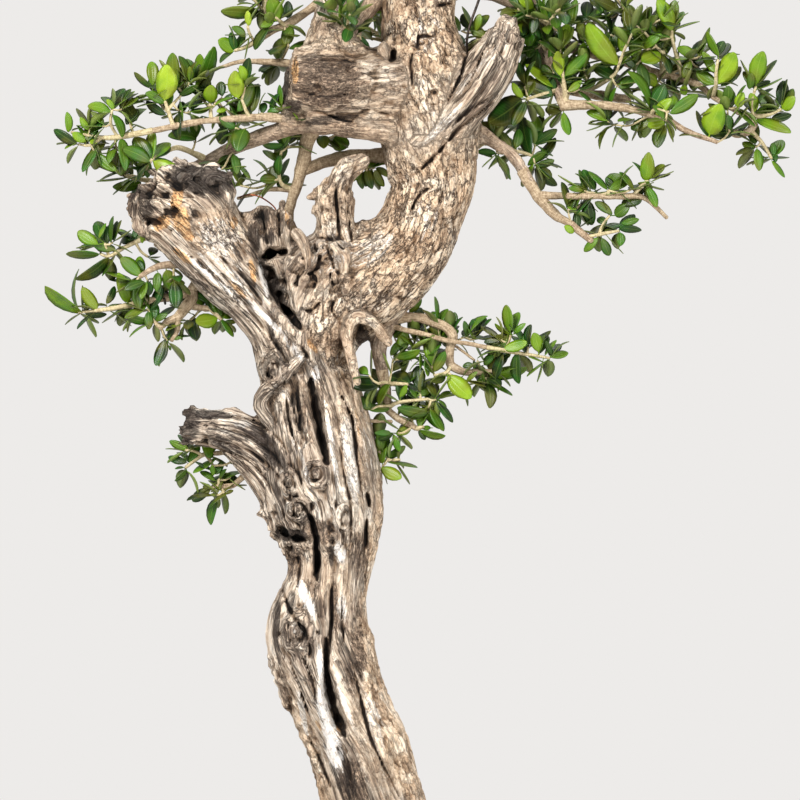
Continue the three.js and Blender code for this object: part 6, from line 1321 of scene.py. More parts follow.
def leaf_material():
    paint = Paint("Leaves", 0.34, Specular_IOR_Level=0.32)
    blade = paint.node("ShaderNodeSeparateXYZ", {"Vector": paint.mark("blade", "Vector")}).outputs
    patch = paint.noise(paint.here(), 130, 2, 0.5)
    # the tone carries painted light as well as the leaf's colour: pale for lit, shone-through leaves, dark
    # for shaded ones
    upper = paint.tones(
        paint.sum(patch, 0.16, paint.sum(paint.mark("tone"), 0.88, -0.06)),
        (0.0, 20, 36, 18), (0.2, 38, 64, 17), (0.42, 70, 104, 18), (0.62, 104, 138, 20),
        (0.8, 138, 166, 30), (1.0, 188, 200, 84))
    hue = paint.noise(paint.here(), 55, 1, 0.5)
    upper = paint.mix(paint.spread(hue, 0.5, 0.66, 0.0, 0.45), upper, linear(108, 102, 30))
    upper = paint.mix(paint.spread(hue, 0.46, 0.34, 0.0, 0.4), upper, linear(34, 104, 20))
    under = paint.mix(0.45, upper, linear(136, 144, 82))
    edge = paint.math("ABSOLUTE", blade["Y"])
    slanted = paint.node("ShaderNodeCombineXYZ", {"X": paint.sum(edge, -0.16, blade["X"])}).outputs[0]
    veins = paint.node("ShaderNodeTexWave", {
        "Vector": slanted, "Scale": 4.2, "Distortion": 0.6, "Detail": 1.0}).outputs["Fac"]
    colour = paint.mix(paint.times(paint.spread(veins, 0.75, 1.0), 0.06), upper, linear(156, 174, 92))
    colour = paint.mix(paint.spread(edge, 0.08, 0.02, 0.0, 0.2), colour, linear(156, 184, 80))
    colour = paint.mix(paint.spread(blade["Z"], 0.6, 0.4), colour, under)
    height = paint.sum(paint.spread(edge, 0.12, 0.02), -0.6, paint.times(veins, 0.25))
    return paint.finish(colour, height, 0.0003, 0.5)


def stoneware_material():
    paint = Paint("Stoneware", 0.72, Specular_IOR_Level=0.35)
    here = paint.here()
    speck = paint.noise(here, 700, 2, 0.6)
    body = paint.tones(
        paint.noise(here, 14, 5, 0.6), (0.35, 92, 72, 60), (0.5, 112, 88, 72), (0.65, 132, 106, 88))
    body = paint.mix(paint.spread(speck, 0.62, 0.7), body, linear(62, 48, 41))
    body = paint.mix(paint.spread(speck, 0.36, 0.3, 0.0, 0.6), body, linear(158, 134, 112))
    return paint.finish(body, paint.sum(speck, 0.5, paint.noise(here, 120, 4, 0.6)), 0.0004, 0.5)


def substrate_material():
    paint = Paint("Substrate", 0.95, Specular_IOR_Level=0.2)
    grit = paint.noise(paint.here(), 600, 4, 0.65)
    colour = paint.tones(
        paint.mark("tone"), (0.0, 58, 46, 37), (0.35, 104, 80, 58), (0.6, 142, 112, 80),
        (0.8, 160, 140, 112), (0.95, 196, 188, 172))
    colour = paint.mix(paint.spread(grit, 0.42, 0.62, 0.45, 0.0), colour, linear(40, 31, 25))
    return paint.finish(colour, grit, 0.0005, 0.7)


def screen_material():
    paint = Paint("Screen", 0.55, Specular_IOR_Level=0.4)
    dust = paint.noise(paint.here(), 260, 4, 0.6)
    colour = paint.tones(dust, (0.4, 28, 30, 27), (0.62, 44, 46, 42), (0.7, 84, 72, 58))
    return paint.finish(colour, dust, 0.0003, 0.4)


def metal_material(name, dark, light, metallic, roughness):
    paint = Paint(name, roughness, Metallic=metallic)
    dull = paint.noise(paint.here(), 320, 5, 0.6)
    return paint.finish(paint.tones(dull, (0.38, *dark), (0.62, *light)), dull, 0.0002, 0.5)


WOOD = wood_material()
TWIG = twig_material()
LEAF = leaf_material()
STONEWARE = stoneware_material()
SUBSTRATE = substrate_material()
SCREEN = screen_material()
DARK_WIRE = metal_material("Dark wire", (34, 28, 25), (74, 62, 54), 0.6, 0.5)
COPPER = metal_material("Copper wire", (96, 48, 30), (160, 92, 60), 0.85, 0.42)

# ---------------------------------------------------------------- the old wood's mesh

def largest_part(quads, count):
    """The quads of the largest part that hangs together, out of `count` places."""
    label = np.arange(count)
    while True:
        before = label.copy()
        lowest = label[quads].min(axis=1)
        np.minimum.at(label, quads.ravel(), np.repeat(lowest, 4))
        label = label[label]
        if (label == before).all():
            return quads[label[quads[:, 0]] == np.bincount(label).argmax()]


clipped = np.ascontiguousarray(np.clip(field, -3 * VOXEL, 3 * VOXEL))
volume = openvdb.FloatGrid(3 * VOXEL)
volume.copyFromArray(clipped, tolerance=0)
volume.transform = openvdb.createLinearTransform(voxelSize=VOXEL)
skin_places, skin_quads = volume.convertToQuads(isovalue=0)
skin_places = np.array(skin_places, float) + LOW
skin_quads = np.array(skin_quads, int)
skin_quads = largest_part(skin_quads, len(skin_places))
a, b, c = skin_places[skin_quads[:, 0]], skin_places[skin_quads[:, 1]], skin_places[skin_quads[:, 2]]
if (np.cross(b - a, c - a) * a).sum() < 0:
    skin_quads = skin_quads[:, ::-1]


def wood_marks(places):
    """What the wood's material needs to know at each place of its skin."""
    count = len(places)
    x, y, z = places.T
    nearest = np.full(count, 1e3)
    share = np.zeros(count)
    dead_sum, branch_sum = np.zeros((2, count))
    grain = np.zeros((count, 3))
    for limb in limbs:
        d, u, v, s = limb.measure(x, y, z, 12, (count,))
        seen = np.nonzero(d < FAR)[0]
        if not len(seen):
            continue
        weight = np.exp(-np.clip(d[seen], -20, 20) / 3)
        dead = limb.dead * (deadness(x[seen], y[seen], z[seen]) if limb.size > TRUNK_SIZE else 1)
        share[seen] += weight
        dead_sum[seen] += weight * dead
        branch_sum[seen] += weight * limb.branch
        p, q = limb.turned(u[seen], v[seen], s[seen])
        closer = d[seen] < nearest[seen]
        take = seen[closer]
        grain[take] = np.stack([p, q, s[seen] + 131 * limb.seed], axis=1)[closer]
        nearest[take] = d[take]
    dead = dead_sum / np.maximum(share, 1e-9)
    branch = branch_sum / np.maximum(share, 1e-9)
    # painted shade and highlight: 0 on ridges, about 0.3 on flat skin, up to 1 deep in grooves and hollows
    painted_shade_and_highlight = np.clip(0.3 - sampled(softened, places) * 0.22, 0, 1)
    at = np.clip(((places - LOW) / VOXEL).round().astype(int), 0, COUNT - 1)
    facing = smoothstep(26, 14, y - front[at[:, 0], at[:, 2]])
    # the grain runs round each knot
    for cx, cz, half_x, half_z, out, _ in KNOTS:
        ring = np.hypot((x - cx) / half_x, (z - cz) / half_z) + 0.22 * noise(x / 5, y / 5, z / 6 + cx)
        near = np.nonzero((ring < 3.2) & (facing > 0.5))[0]
        if len(near) and out > 0:
            middle, r = grain[near[ring[near].argmin()]], ring[near][:, None]
            offset = (grain[near] - middle) * [1, 1, 0]
            around = grain[near] - 0.75 * offset * bell(r, 0, 1.7)
            dx, dz = x[near] - cx, z[near] - cz
            circles = middle + np.stack([0.8 * half_x * ring[near], 0.5 * dx, 1.5 * dz], axis=1)
            grain[near] = around + (circles - around) * smoothstep(1.35, 0.95, r)
    # stains, the dark ones partly painted shade in hollows and slits, and the dark rings of knots
    stains_and_shade = np.zeros((count, 3))
    brown, barky = np.zeros((2, count))
    columns = {"brown": brown, "bark": barky, "orange": stains_and_shade[:, 0], "dark": stains_and_shade[:, 1], "pale": stains_and_shade[:, 2]}
    for kind, rows in STAINS_AND_SHADE.items():
        for cx, cz, half_x, half_z, lean, strength in rows:
            turn = math.radians(lean)
            dx, dz = x - cx, z - cz
            p = (dx * math.cos(turn) + dz * math.sin(turn)) / half_x
            q = (dz * math.cos(turn) - dx * math.sin(turn)) / half_z
            value = strength * smoothstep(1.25, 0.45, np.hypot(p, q)) * facing
            np.maximum(columns[kind], value, out=columns[kind])
    for cx, cz, half_x, half_z, out, dark_ring in KNOTS:
        ring = np.hypot((x - cx) / half_x, (z - cz) / half_z) + 0.3 * noise(x / 4, y / 5, z / 4 + cx)
        line = 0.9 * bell(ring, 0.75, 0.2) + (half_x < 9) * bell(ring, 0, 0.3)
        line += 0.6 * bell(ring, 1.6, 0.3) * smoothstep(-3, 5, x - cx + z - cz)
        value = dark_ring * (line if out > 0 else bell(ring, 0, 0.6)) * facing
        np.maximum(stains_and_shade[:, 1], value, out=stains_and_shade[:, 1])
    return {"grain": grain, "dead": dead * (1 - barky), "painted_shade_and_highlight": painted_shade_and_highlight, "stains_and_shade": stains_and_shade, "brown": brown,
            "branch": branch}


marks = wood_marks(skin_places)
heights = skin_places[skin_quads].mean(axis=1)[:, 2]
CUTS_AT = [0, 330, 560, 690, 2000]      # heights that part the old wood into pieces
for number, (low, high) in enumerate(zip(CUTS_AT, CUTS_AT[1:])):
    chosen = skin_quads[(heights >= low) & (heights < high)]
    used, renumbered = np.unique(chosen, return_inverse=True)
    part = make_object(f"old_wood_{number + 1}", skin_places[used], renumbered.reshape(-1, 4),
                       marks={mark: values[used] for mark, values in marks.items()})
    dress(part, WOOD, ["trunk"])

# ---------------------------------------------------------------- thin branches

twigs = Lump()
for number, points in enumerate(BRANCHES):
    fine = finer(points, 4)
    thin = np.nonzero(fine[:, 3] < THIN)[0]
    if not len(thin):
        continue
    rest = fine[max(0, thin[0] - 2):]
    if len(rest) < 3:
        continue
    places, quads, caps, grain = tube(rest, 12, 2.2, 0.16, 3.1 * number)
    twigs.add(places, quads, caps, grain=grain + [0, 0, 77 * number], young=np.full(len(places), 0.12))
dress(twigs.make("thin_branches"), TWIG, ["trunk"])

# ---------------------------------------------------------------- leaves

STATIONS = np.array([0.0, 0.05, 0.16, 0.34, 0.54, 0.74, 0.9, 0.975, 1.0])      # along a blade
COLUMNS = np.array([-1, -0.5, 0, 0.5, 1, 0])    # round a blade: from edge to edge, and back beneath
ON_TOP = np.array([0.5, 1, 1, 1, 0.5, 0])
SIDES = len(COLUMNS)
THICK = 0.62
LEAF_QUADS = rings_to_faces(len(STATIONS) + 2, SIDES)[:, ::-1]
SHOOT_TURN = 2.4        # radians from one shoot to the next
PAIR_GAP = 7.5          # mm between pairs of leaves
TWIG_FROM = 6           # mm from a stem at which a listed leaf gets a twig of its own


def turned_about(v, axis, angle):
    axis, c, s = unit(axis), math.cos(angle), math.sin(angle)
    return v * c + np.cross(axis, v) * s + axis * (axis @ v) * (1 - c)


def add_leaf(lump, root, blade, tip, width, facing, tone, draw):
    """A leaf from its root on a stem: a stalk, then a blade that is folded and curled a little."""
    root, blade, tip = (np.asarray(p, float) for p in (root, blade, tip))
    length = np.linalg.norm(tip - blade)
    axis = unit(tip - blade)
    side = unit(np.cross(axis, facing))
    normal = np.cross(side, axis)
    curl, fold, bow = (draw() - 0.35) * 0.16, 0.1 + 0.22 * draw(), (draw() - 0.5) * 0.1
    full = 0.85 + 0.35 * draw()
    profile = np.sin(np.pi * STATIONS ** full) ** 0.52
    profile[0], profile[-1] = 0.08, 0.14
    half = 0.5 * width * profile
    bend = curl * 4 * STATIONS * (1 - STATIONS) * length
    sway = bow * 4 * STATIONS * (1 - STATIONS) * length
    middle = blade + STATIONS[:, None] * (tip - blade) + bend[:, None] * normal + sway[:, None] * side
    across = COLUMNS[None, :] * half[:, None]
    lift = fold * np.abs(across) + 0.5 * THICK * (2 * ON_TOP - 1) * (1 - 0.5 * np.abs(COLUMNS))
    lift = lift * np.minimum(1, half / 1.2 + 0.45)[:, None]
    places = middle[:, None] + across[..., None] * side + lift[..., None] * normal
    stalk = max(0.42, min(0.6, 0.06 * width))
    ring = COLUMNS[:, None] * side * stalk + (2 * ON_TOP - 1)[:, None] * normal * stalk * 0.8
    stem = np.stack([root + ring, root + 0.6 * (blade - root) + ring * 0.9])
    places = np.concatenate([stem, places])
    t = np.concatenate([[-0.2, -0.1], STATIONS])
    marks = np.stack(np.broadcast_arrays(t[:, None], COLUMNS[None, :], ON_TOP[None, :]), axis=-1)
    caps = [(0, j, j + 1) for j in range(1, SIDES - 1)]
    last = (len(t) - 1) * SIDES
    caps += [(last, last + j + 1, last + j) for j in range(1, SIDES - 1)]
    lump.add(places.reshape(-1, 3), LEAF_QUADS, np.array(caps)[:, ::-1], blade=marks.reshape(-1, 3),
             tone=np.full(places.shape[0] * SIDES, tone))


def nearest_on(stems, x, z):
    """The nearest place on the stems as seen from the front, and how far it is."""
    best, spot = 1e9, None
    for points in stems:
        for i, (a, b) in enumerate(zip(points, points[1:])):
            size = (b[0] - a[0]) ** 2 + (b[2] - a[2]) ** 2 or 1
            t = ((x - a[0]) * (b[0] - a[0]) + (z - a[2]) * (b[2] - a[2])) / size
            t = min(max(t, 0 if i else 0.1), 1)
            here = [a[k] + t * (b[k] - a[k]) for k in range(3)]
            away = math.hypot(x - here[0], z - here[2])
            if away < best:
                best, spot = away, here
    return best, np.array(spot)


def listed_leaves(lump, stems, rows, draw, fill):
    """Leaves that are listed by where they show. Those far from a stem stand on twigs of their own."""
    known, twigs = [list(points) for points in stems], []
    for row in sorted(rows, key=lambda r: nearest_on(stems, r[0], r[1])[0]):
        x0, z0, x1, z1, width, tone = row
        away, root = nearest_on(known, x0, z0)
        # dark leaves lie further back than their stem, and light ones further to the front
        back = 0.35 * away * (1 if tone < 0.2 else -1 if tone > 0.55 else 2 * place_draw(z0, x0) - 1)
        blade = np.array([x0, root[1] + back, z0])
        if away > TWIG_FROM:
            bent = 0.5 * (root + blade) + np.array([0, 0, -0.12 * away])
            twig = [(*root, 1.0), (*bent, 0.85), (*(blade + 0.12 * (root - blade)), 0.7)]
            known.append(twig)
            twigs.append(twig)
            root = blade + 0.12 * (root - blade)
        flat = math.hypot(x1 - x0, z1 - z0)
        length = max(1.04 * flat, width / 0.62)
        sign = 1 if tone < 0.2 else -1 if tone > 0.6 or place_draw(x0, z0) < 0.5 else 1
        tip = np.array([x1, blade[1] + sign * math.sqrt(length ** 2 - flat ** 2), z1])
        # a leaf that shows too narrow for its length is rolled about it
        true_width = max(1.12 * width, 0.42 * length)
        roll = math.acos(min(1, 1.12 * width / true_width)) * (1 if place_draw(z0, x0) > 0.5 else -1)
        facing = turned_about(np.array([0, -1, 0.35]), tip - blade, roll)
        add_leaf(lump, root, blade, tip, true_width, facing, tone, draw)
        for _ in range(fill):
            turn = (0.5 + 1.6 * draw()) * (1 if draw() > 0.5 else -1)
            way = turned_about(unit(tip - blade), [0, -1, 0.2], turn) + [0, 0.15 + 0.7 * draw(), 0]
            free_leaf(lump, root, way, draw)
    return twigs


def inside_box(point, margin=1.0):
    return (point > BOX_LOW + margin).all() and (point < BOX_HIGH - margin).all()


def shoots_along(stem, count, draw, first=0.3, turn=0.0):
    """Leafy shoots that leave a stem all round it."""
    places = np.array(stem, float)[:, :3]
    reach = np.concatenate([[0], np.cumsum(np.linalg.norm(np.diff(places, axis=0), axis=1))])
    out = []
    for i in range(count):
        t = (first + (1 - first) * i / max(1, count - 1)) * reach[-1]
        base = np.array([np.interp(t, reach, places[:, k]) for k in range(3)])
        k = min(np.searchsorted(reach, t, side="right"), len(reach) - 1)
        heading = unit(places[k] - places[k - 1])
        side = unit(np.cross([0, 0, 1], heading))
        up = np.cross(heading, side)
        angle = i * SHOOT_TURN + turn + 0.6 * (draw() - 0.5)
        way = side * math.cos(angle) + up * abs(math.sin(angle)) * 0.8
        way = heading if i == count - 1 else unit(way + 0.6 * heading)
        tip = base + way * (20 + 10 * draw())
        if inside_box(tip, 4):
            out.append([(*base, 1.3), (*(0.5 * (base + tip) + [0, 0, 1.5]), 1.1), (*tip, 0.8)])
    return out


def leaf_pairs(lump, shoot, draw):
    """Leaf pairs up a shoot, each pair turned a quarter from the last, with one leaf at its tip."""
    start, end = np.array(shoot[0][:3]), np.array(shoot[-1][:3])
    along = end - start
    heading = unit(along)
    side = unit(np.cross([0, 0, 1], heading))
    pairs = max(1, int(np.linalg.norm(along) // PAIR_GAP))
    for i in range(1, pairs + 1):
        for half in range(2):
            turn = (i % 2) * math.pi / 2 + half * math.pi + 0.5 * (draw() - 0.5)
            way = 0.8 * turned_about(side, heading, turn) + 0.6 * heading + [0, 0, 0.15]
            free_leaf(lump, start + along * i / (pairs + 0.3), way, draw)
    free_leaf(lump, end, heading + [0, 0, 0.3], draw)


def free_leaf(lump, root, way, draw):
    """A leaf of drawn size and tone, where there is room for it."""
    way = unit(way)
    length = 15 + 9 * draw()
    tip = root + way * length
    facing = np.array([0.5 * (draw() - 0.5), 0.5 * (draw() - 0.5) - 0.15, 1])
    tone = max(0.02, 0.62 * draw() ** 1.3)
    width = (0.43 + 0.12 * draw()) * length
    if inside_box(tip) and clear_of_wood(tip, 2) and clear_of_wood(0.5 * (root + tip), 1):
        add_leaf(lump, root, root + 0.12 * length * way, tip, width, facing, tone, draw)


def clear_of_wood(point, margin):
    at = ((point - LOW) / VOXEL).round().astype(int)
    if (at < 0).any() or (at >= COUNT).any():
        return True
    return field[tuple(at)] > margin


def leafy(name, stems, rows, shoots, nodes, extra=()):
    """One spray: its stems, the leaves listed for it, and shoots by rule. extra: more shoots."""
    lump, wood = Lump(), Lump()
    draw = seeded_draw(seed_of(name))
    grown = shoots_along(stems[0], shoots, draw)
    for count, first, turn in extra:
        grown += shoots_along(stems[0], count, draw, first, turn)
    draw = seeded_draw(seed_of(name) + 1)
    grown += listed_leaves(lump, stems, rows, draw, FILL.get(name, 2))
    for shoot in grown:
        leaf_pairs(lump, shoot, draw)
    for number, points in enumerate([*stems, *grown]):
        sides, step = (8, 2.4) if number < len(stems) else (6, 3.2)
        places, quads, caps, grain = tube(points, sides, step, 0.14, 5.3 * number)
        thin = smoothstep(1.7, 1.0, np.full(len(places), points[-1][3]))
        wood.add(places, quads, caps, grain=grain, young=np.clip(thin, 0, 0.85))
    if lump.count:
        dress(lump.make(f"leaves_{name}"), LEAF, nodes)
    dress(wood.make(f"stems_{name}"), TWIG, nodes)


# How many leaves grow beside each listed one, where that isn't 2.
FILL = {
    "right_arch": 3, "right_top": 3, "right_top_end": 3, "right_mid": 3, "right_heart": 3,
    "right_rise": 3, "right_front": 3, "left_stub": 1, "left_mid_stub": 1, "bottom_right": 1,
    "low_right": 1, "right_low_tip": 1, "low_left_fork": 1, "low_left_tip": 1, "bar": 1, "bar_end": 1,
    "knee": 1,
}
# More shoots: how many, how far up the stem they start, and how far the first is turned.
CROWN = [(6, 0.15, 1.2), (5, 0.2, 3.3)]
EXTRA = {
    "crown_left": CROWN, "crown_right": CROWN, "crown_front": CROWN, "crown_back": CROWN,
    "crown_top": [(7, 0.1, 1.2), (6, 0.15, 3.3)], "upper_right": [(6, 0.1, 1.2), (4, 0.2, 3.3)],
    "upper_left": [(6, 0.1, 1.2), (4, 0.2, 3.3)], "back_low": [(4, 0.2, 1.2)],
    "back_mid": [(4, 0.2, 1.2)], "back_high": [(5, 0.2, 1.2)], "top_left_rise": [(4, 0.3, 1.4)],
    "right_arch": [(3, 0.2, 1.0)], "right_top": [(4, 0.1, 1.0)], "right_mid": [(3, 0.1, 2.0)],
    "right_heart": [(3, 0.1, 2.5)], "right_rise": [(3, 0.2, 1.5)], "left_collar": [(3, 0.3, 1.5)],
}
for name, stems in STEMS.items():
    nodes = [node for node in [f"spray_{name}"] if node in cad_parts]
    leafy(name, stems, LEAVES.get(name, []), SHOOTS.get(name, 0), nodes, EXTRA.get(name, ()))

# ---------------------------------------------------------------- pot, soil and drain screens

POT = {"length": 340, "depth": 250, "height": 72, "corner": 46, "wall": 12, "floor": 10, "foot": 9}
FILLET, SPLAY = 6, 8                    # where the inside's wall meets its floor; how far it leans
GAP, SOIL_TOP, SOIL_RISE = 0.35, 74, 60     # beside the pot; its top; how far in the top still rises
GRAINS = 4600
FLOOR_TOP = POT["foot"] + POT["floor"]
DRAIN_X, DRAIN_RADIUS = 80, 9
FOOT = {"length": 54, "width": 26, "from_end": 72, "from_side": 42}


def rounded_ring(inset, z, steps=14):
    """A level ring with round corners, so far in from the pot's outside."""
    half_x, half_y = POT["length"] / 2 - inset, POT["depth"] / 2 - inset
    corner = max(POT["corner"] - inset, 6)
    ring = []
    for sign_x, sign_y, quarter in ((1, 1, 0), (-1, 1, 1), (-1, -1, 2), (1, -1, 3)):
        for i in range(steps + 1):
            angle = math.pi / 2 * (quarter + i / steps)
            ring.append((sign_x * (half_x - corner) + corner * math.cos(angle),
                         sign_y * (half_y - corner) + corner * math.sin(angle), z))
    return np.array(ring)


def inside_ring(z, clearance):
    """A ring on the pot's inside, or so far from it."""
    rise = min(max((z - FLOOR_TOP - FILLET) / (POT["height"] - FLOOR_TOP - FILLET), 0), 1)
    round_off = max(0, 1 - (z - FLOOR_TOP) / FILLET)
    return rounded_ring(POT["wall"] + SPLAY * (1 - rise) + FILLET * round_off + clearance, z)


def soil_object():
    """The filling, with loose grains on its top where there is no wood."""
    lump = Lump()
    rim = POT["height"] - 5

    def level(inward):
        """The height of the top, so far in from the pot's outside."""
        return rim - 4 + (SOIL_TOP - rim) * min(1, inward / SOIL_RISE)

    top = [rounded_ring(6 + POT["wall"] + step, 0) for step in (0, 6, 14, 24, 36, 50, 66, 84, 102)]
    for ring in top:
        ring[:, 2] = level(POT["length"] / 2 - np.abs(ring[:, 0]).max())
    side = [inside_ring(z, GAP) for z in (FLOOR_TOP + GAP, FLOOR_TOP + FILLET, rim - 4)]
    places, quads, caps = closed_rings([*side, *top], [0, 0, FLOOR_TOP + GAP], [0, 0, SOIL_TOP - 4])
    lump.add(places, quads, caps, tone=np.full(len(places), 0.2))
    rng = np.random.default_rng(12)
    ball = np.array([(0, 0, 1), (0.9, 0, 0.35), (0.28, 0.85, 0.3), (-0.73, 0.53, 0.32), (-0.7, -0.5, 0.34),
                     (0.3, -0.85, 0.3), (0.72, 0.52, -0.4), (-0.3, 0.85, -0.38), (-0.9, 0, -0.4),
                     (-0.28, -0.86, -0.36), (0.74, -0.5, -0.4), (0, 0, -0.95)])
    faces = np.array([(0, 1, 2), (0, 2, 3), (0, 3, 4), (0, 4, 5), (0, 5, 1), (1, 6, 2), (2, 7, 3), (3, 8, 4),
                      (4, 9, 5), (5, 10, 1), (2, 6, 7), (3, 7, 8), (4, 8, 9), (5, 9, 10), (1, 10, 6),
                      (11, 7, 6), (11, 8, 7), (11, 9, 8), (11, 10, 9), (11, 6, 10)])
    half_x, half_y = POT["length"] / 2 - POT["wall"], POT["depth"] / 2 - POT["wall"]
    corner = POT["corner"] - POT["wall"]
    for x, y in rng.uniform((-half_x, -half_y), (half_x, half_y), (GRAINS, 2)):
        over = max(abs(x) - (half_x - corner - 2), 0), max(abs(y) - (half_y - corner - 2), 0)
        if math.hypot(*over) > corner:
            continue
        ground = level(min(half_x - abs(x), half_y - abs(y)) + POT["wall"])
        size = rng.uniform(1.4, 3.1)
        if not clear_of_wood(np.array([x, y, ground]), 0.5):
            continue
        turn = rng.uniform(0, 2 * math.pi, 2)
        shape = ball * rng.uniform(0.75, 1.2, (12, 1)) * size * np.array([1, rng.uniform(0.7, 1), 0.75])
        c, s = math.cos(turn[0]), math.sin(turn[0])
        shape = shape @ np.array([[c, -s, 0], [s, c, 0], [0, 0, 1]])
        tone = float(np.clip(rng.normal(0.5, 0.2), 0, 1)) if rng.random() > 0.12 else 0.95
        lump.add(shape + [x, y, ground + 0.25 * size], triangles=faces, tone=np.full(12, tone))
    return lump.make("substrate")


dress(soil_object(), SUBSTRATE, ["soil"])


def cut_by(made, cutters):
    """The object with the cutters taken out of it."""
    for cutter in cutters:
        hole = made.modifiers.new("hole", "BOOLEAN")
        hole.object, hole.operation, hole.solver = cutter, "DIFFERENCE", "EXACT"
    graph = bpy.context.evaluated_depsgraph_get()
    mesh = bpy.data.meshes.new_from_object(made.evaluated_get(graph))
    made.modifiers.clear()
    made.data = mesh
    for cutter in cutters:
        bpy.data.objects.remove(cutter)
    return made


def pot_object():
    """The tray: one skin over its underside, wall, rolled lip and inside, with feet and drain holes."""
    high = POT["height"]
    outside = [(60, POT["foot"]), (24, POT["foot"]), (21, POT["foot"] + 0.6), (18.5, POT["foot"] + 2.2),
               (16.6, 14), (15.6, 18), (12, 36), (9, 50), (8, 56), (7.4, 60), (6.4, 61.6), (3.4, 62.2),
               (1.4, 63), (0.4, 64.4), (0, 66), (0, 69), (0.5, high - 1.4), (1.6, high - 0.4), (3, high),
               (9, high), (11, high - 0.5)]
    inside = [high - 2, high - 8, high - 20, high - 34, FLOOR_TOP + FILLET + 3, FLOOR_TOP + FILLET,
              FLOOR_TOP + 3.4, FLOOR_TOP + 1.4, FLOOR_TOP]
    rings = [rounded_ring(inset, z) for inset, z in outside] + [inside_ring(z, 0) for z in inside]
    rings.append(rounded_ring(60, FLOOR_TOP))
    made = make_object("stoneware_pot", *closed_rings(rings, [0, 0, POT["foot"]], [0, 0, FLOOR_TOP]))
    cutters = []
    sides = 40
    for x in (-DRAIN_X, DRAIN_X):
        hole = [circle(DRAIN_RADIUS, sides, (x, 0, z)) for z in (POT["foot"] - 4, FLOOR_TOP + 4)]
        ends = [(0, j + 1, j) for j in range(1, sides - 1)]
        ends += [(sides, sides + j, sides + j + 1) for j in range(1, sides - 1)]
        cutters.append(make_object("hole", np.concatenate(hole), rings_to_faces(2, sides), ends))
    made = cut_by(made, cutters)
    mesh = bmesh.new()
    mesh.from_mesh(made.data)
    for x in (-1, 1):
        for y in (-1, 1):
            centre = ((x * (POT["length"] / 2 - FOOT["from_end"])) * MM,
                      (y * (POT["depth"] / 2 - FOOT["from_side"])) * MM, (POT["foot"] + 2) / 2 * MM)
            size = (FOOT["length"] * MM, FOOT["width"] * MM, (POT["foot"] + 2) * MM)
            placed = Matrix.Translation(centre) @ Matrix.Diagonal((*size, 1))
            cube = bmesh.ops.create_cube(mesh, size=1, matrix=placed)
            edges = {edge for vertex in cube["verts"] for edge in vertex.link_edges}
            bmesh.ops.bevel(mesh, geom=list(edges), offset=2.4 * MM, segments=4, profile=0.5,
                            affect="EDGES")
    mesh.to_mesh(made.data)
    mesh.free()
    made.data.shade_smooth()
    return made


dress(pot_object(), STONEWARE, ["pot"])
for node in ("drain_screen_left", "drain_screen_right"):
    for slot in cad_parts[node].material_slots:
        slot.material = SCREEN

# ---------------------------------------------------------------- wires

def wire_object(name, radius, route, material, node, step=1.5, wave=0.0):
    """A round wire along a route, with small waves where it isn't quite straight."""
    p = finer([(*point, radius) for point in route], step)
    if wave:
        s = np.arange(len(p)) * step
        p[:, 0] += wave * np.sin(s / 6)
        p[:, 1] += wave * np.cos(s / 6)
    dress(make_object(name, *tube(p, 10, step, 0.04, 2.0)[:3]), material, [node])


wire_object("guy_wire_dark", 1.0, [(38, 2, 690), (35, 4, 703), (37, 6, 718), (43, 8, 736), (48, 12, 750)],
            DARK_WIRE, "guy_wire", wave=0.12)
wire_object("copper_wire_thin", 0.55, [(-136, 4, 590.5), (-130, -1, 592.5), (-120, -4, 591), (-109, -5, 583),
                                       (-107, -5, 574)], COPPER, "copper_wire")
COIL_TURNS, COIL_STEPS, COIL_RADIUS = 2.5, 60, 4.5
coil = []
start, end = np.array([-182, 0, 517.3]), np.array([-193, -3, 515])
way = unit(end - start)
coil_side = unit(np.array([0, 1, 0]) - way * way[1])
coil_across = np.cross(way, coil_side)
for i in range(COIL_STEPS + 1):
    angle = 2 * math.pi * COIL_TURNS * i / COIL_STEPS
    out = COIL_RADIUS * (coil_side * math.cos(angle) + coil_across * math.sin(angle))
    coil.append(start + (end - start) * i / COIL_STEPS + out)
wire_object("training_wire_dark", 0.8, coil, DARK_WIRE, "training_wire", step=1.2)

# ---------------------------------------------------------------- floor, light and camera

BACKDROP = linear(237, 235, 233)


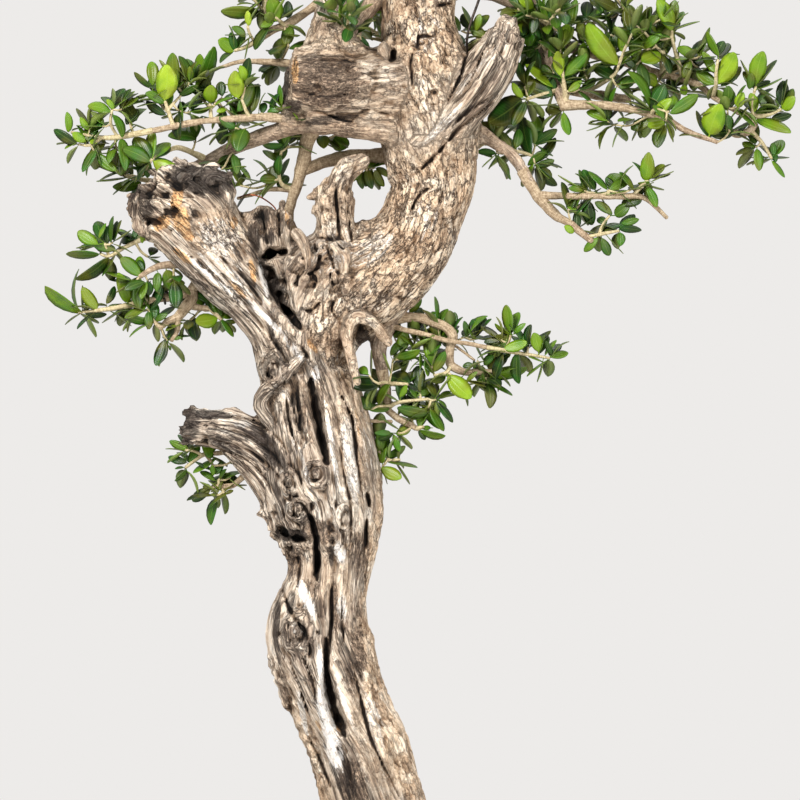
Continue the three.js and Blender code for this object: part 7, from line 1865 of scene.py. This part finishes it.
def floor_object():
    """A pale floor that goes over into the backdrop's colour far out."""
    sides, radii = 96, [0.01, 200, 500, 1000, 1600, 2400]
    places = np.concatenate([circle(radius, sides) for radius in radii])
    made = make_object("floor", places, rings_to_faces(len(radii), sides))
    paint = Paint("Pale floor", 0.7)
    grain = paint.noise(paint.here(), 40, 3, 0.5)
    colour = paint.tones(grain, (0.3, 204, 202, 200), (0.7, 212, 210, 208))
    made.data.materials.append(paint.finish(colour, grain, 0.0002, 0.2))
    glow = paint.node("ShaderNodeEmission", {"Color": BACKDROP})
    away = paint.node("ShaderNodeVectorMath", {0: paint.here()}, operation="LENGTH").outputs["Value"]
    blend = paint.node("ShaderNodeMixShader", {
        0: paint.spread(away, 0.9, 2.2), 1: paint.shader.outputs[0], 2: glow.outputs[0]})
    paint.tree.links.new(blend.outputs[0], paint.tree.nodes["Material Output"].inputs["Surface"])
    return made


floor_object()

world = bpy.context.scene.world or bpy.data.worlds.new("World")
bpy.context.scene.world = world
world.use_nodes = True
background = world.node_tree.nodes["Background"]
background.inputs["Color"].default_value = BACKDROP
path = world.node_tree.nodes.new("ShaderNodeLightPath")
level = world.node_tree.nodes.new("ShaderNodeMapRange")
level.inputs["To Min"].default_value = 0.58
world.node_tree.links.new(path.outputs["Is Camera Ray"], level.inputs["Value"])
world.node_tree.links.new(level.outputs[0], background.inputs["Strength"])
bpy.context.scene.view_settings.view_transform = "Standard"


def area_light(name, place, aim, size, watts, colour=(1, 1, 1)):
    data = bpy.data.lights.new(name, "AREA")
    data.energy, data.size, data.color = watts, size, colour
    made = bpy.data.objects.new(name, data)
    made.location = place
    made.rotation_euler = (Vector(aim) - Vector(place)).to_track_quat("-Z", "Y").to_euler()
    bpy.context.scene.collection.objects.link(made)


TARGET = (-0.03, 0, 0.47)
area_light("key", (-1.3, -2.0, 2.1), TARGET, 0.8, 98, (1.0, 0.985, 0.968))
area_light("fill", (2.2, -2.2, 0.9), TARGET, 2.2, 72, (1.0, 0.985, 0.968))
area_light("top", (0.4, 0.6, 2.6), TARGET, 1.6, 26)

camera_data = bpy.data.cameras.new("Camera")
camera_data.lens, camera_data.sensor_width, camera_data.clip_end = 360, 36, 100
camera = bpy.data.objects.new("Camera", camera_data)
camera.location = (-0.015, -6.0, 0.43875)
camera.rotation_euler = (math.pi / 2, 0, 0)
bpy.context.scene.collection.objects.link(camera)
bpy.context.scene.camera = camera

bpy.context.view_layer.update()
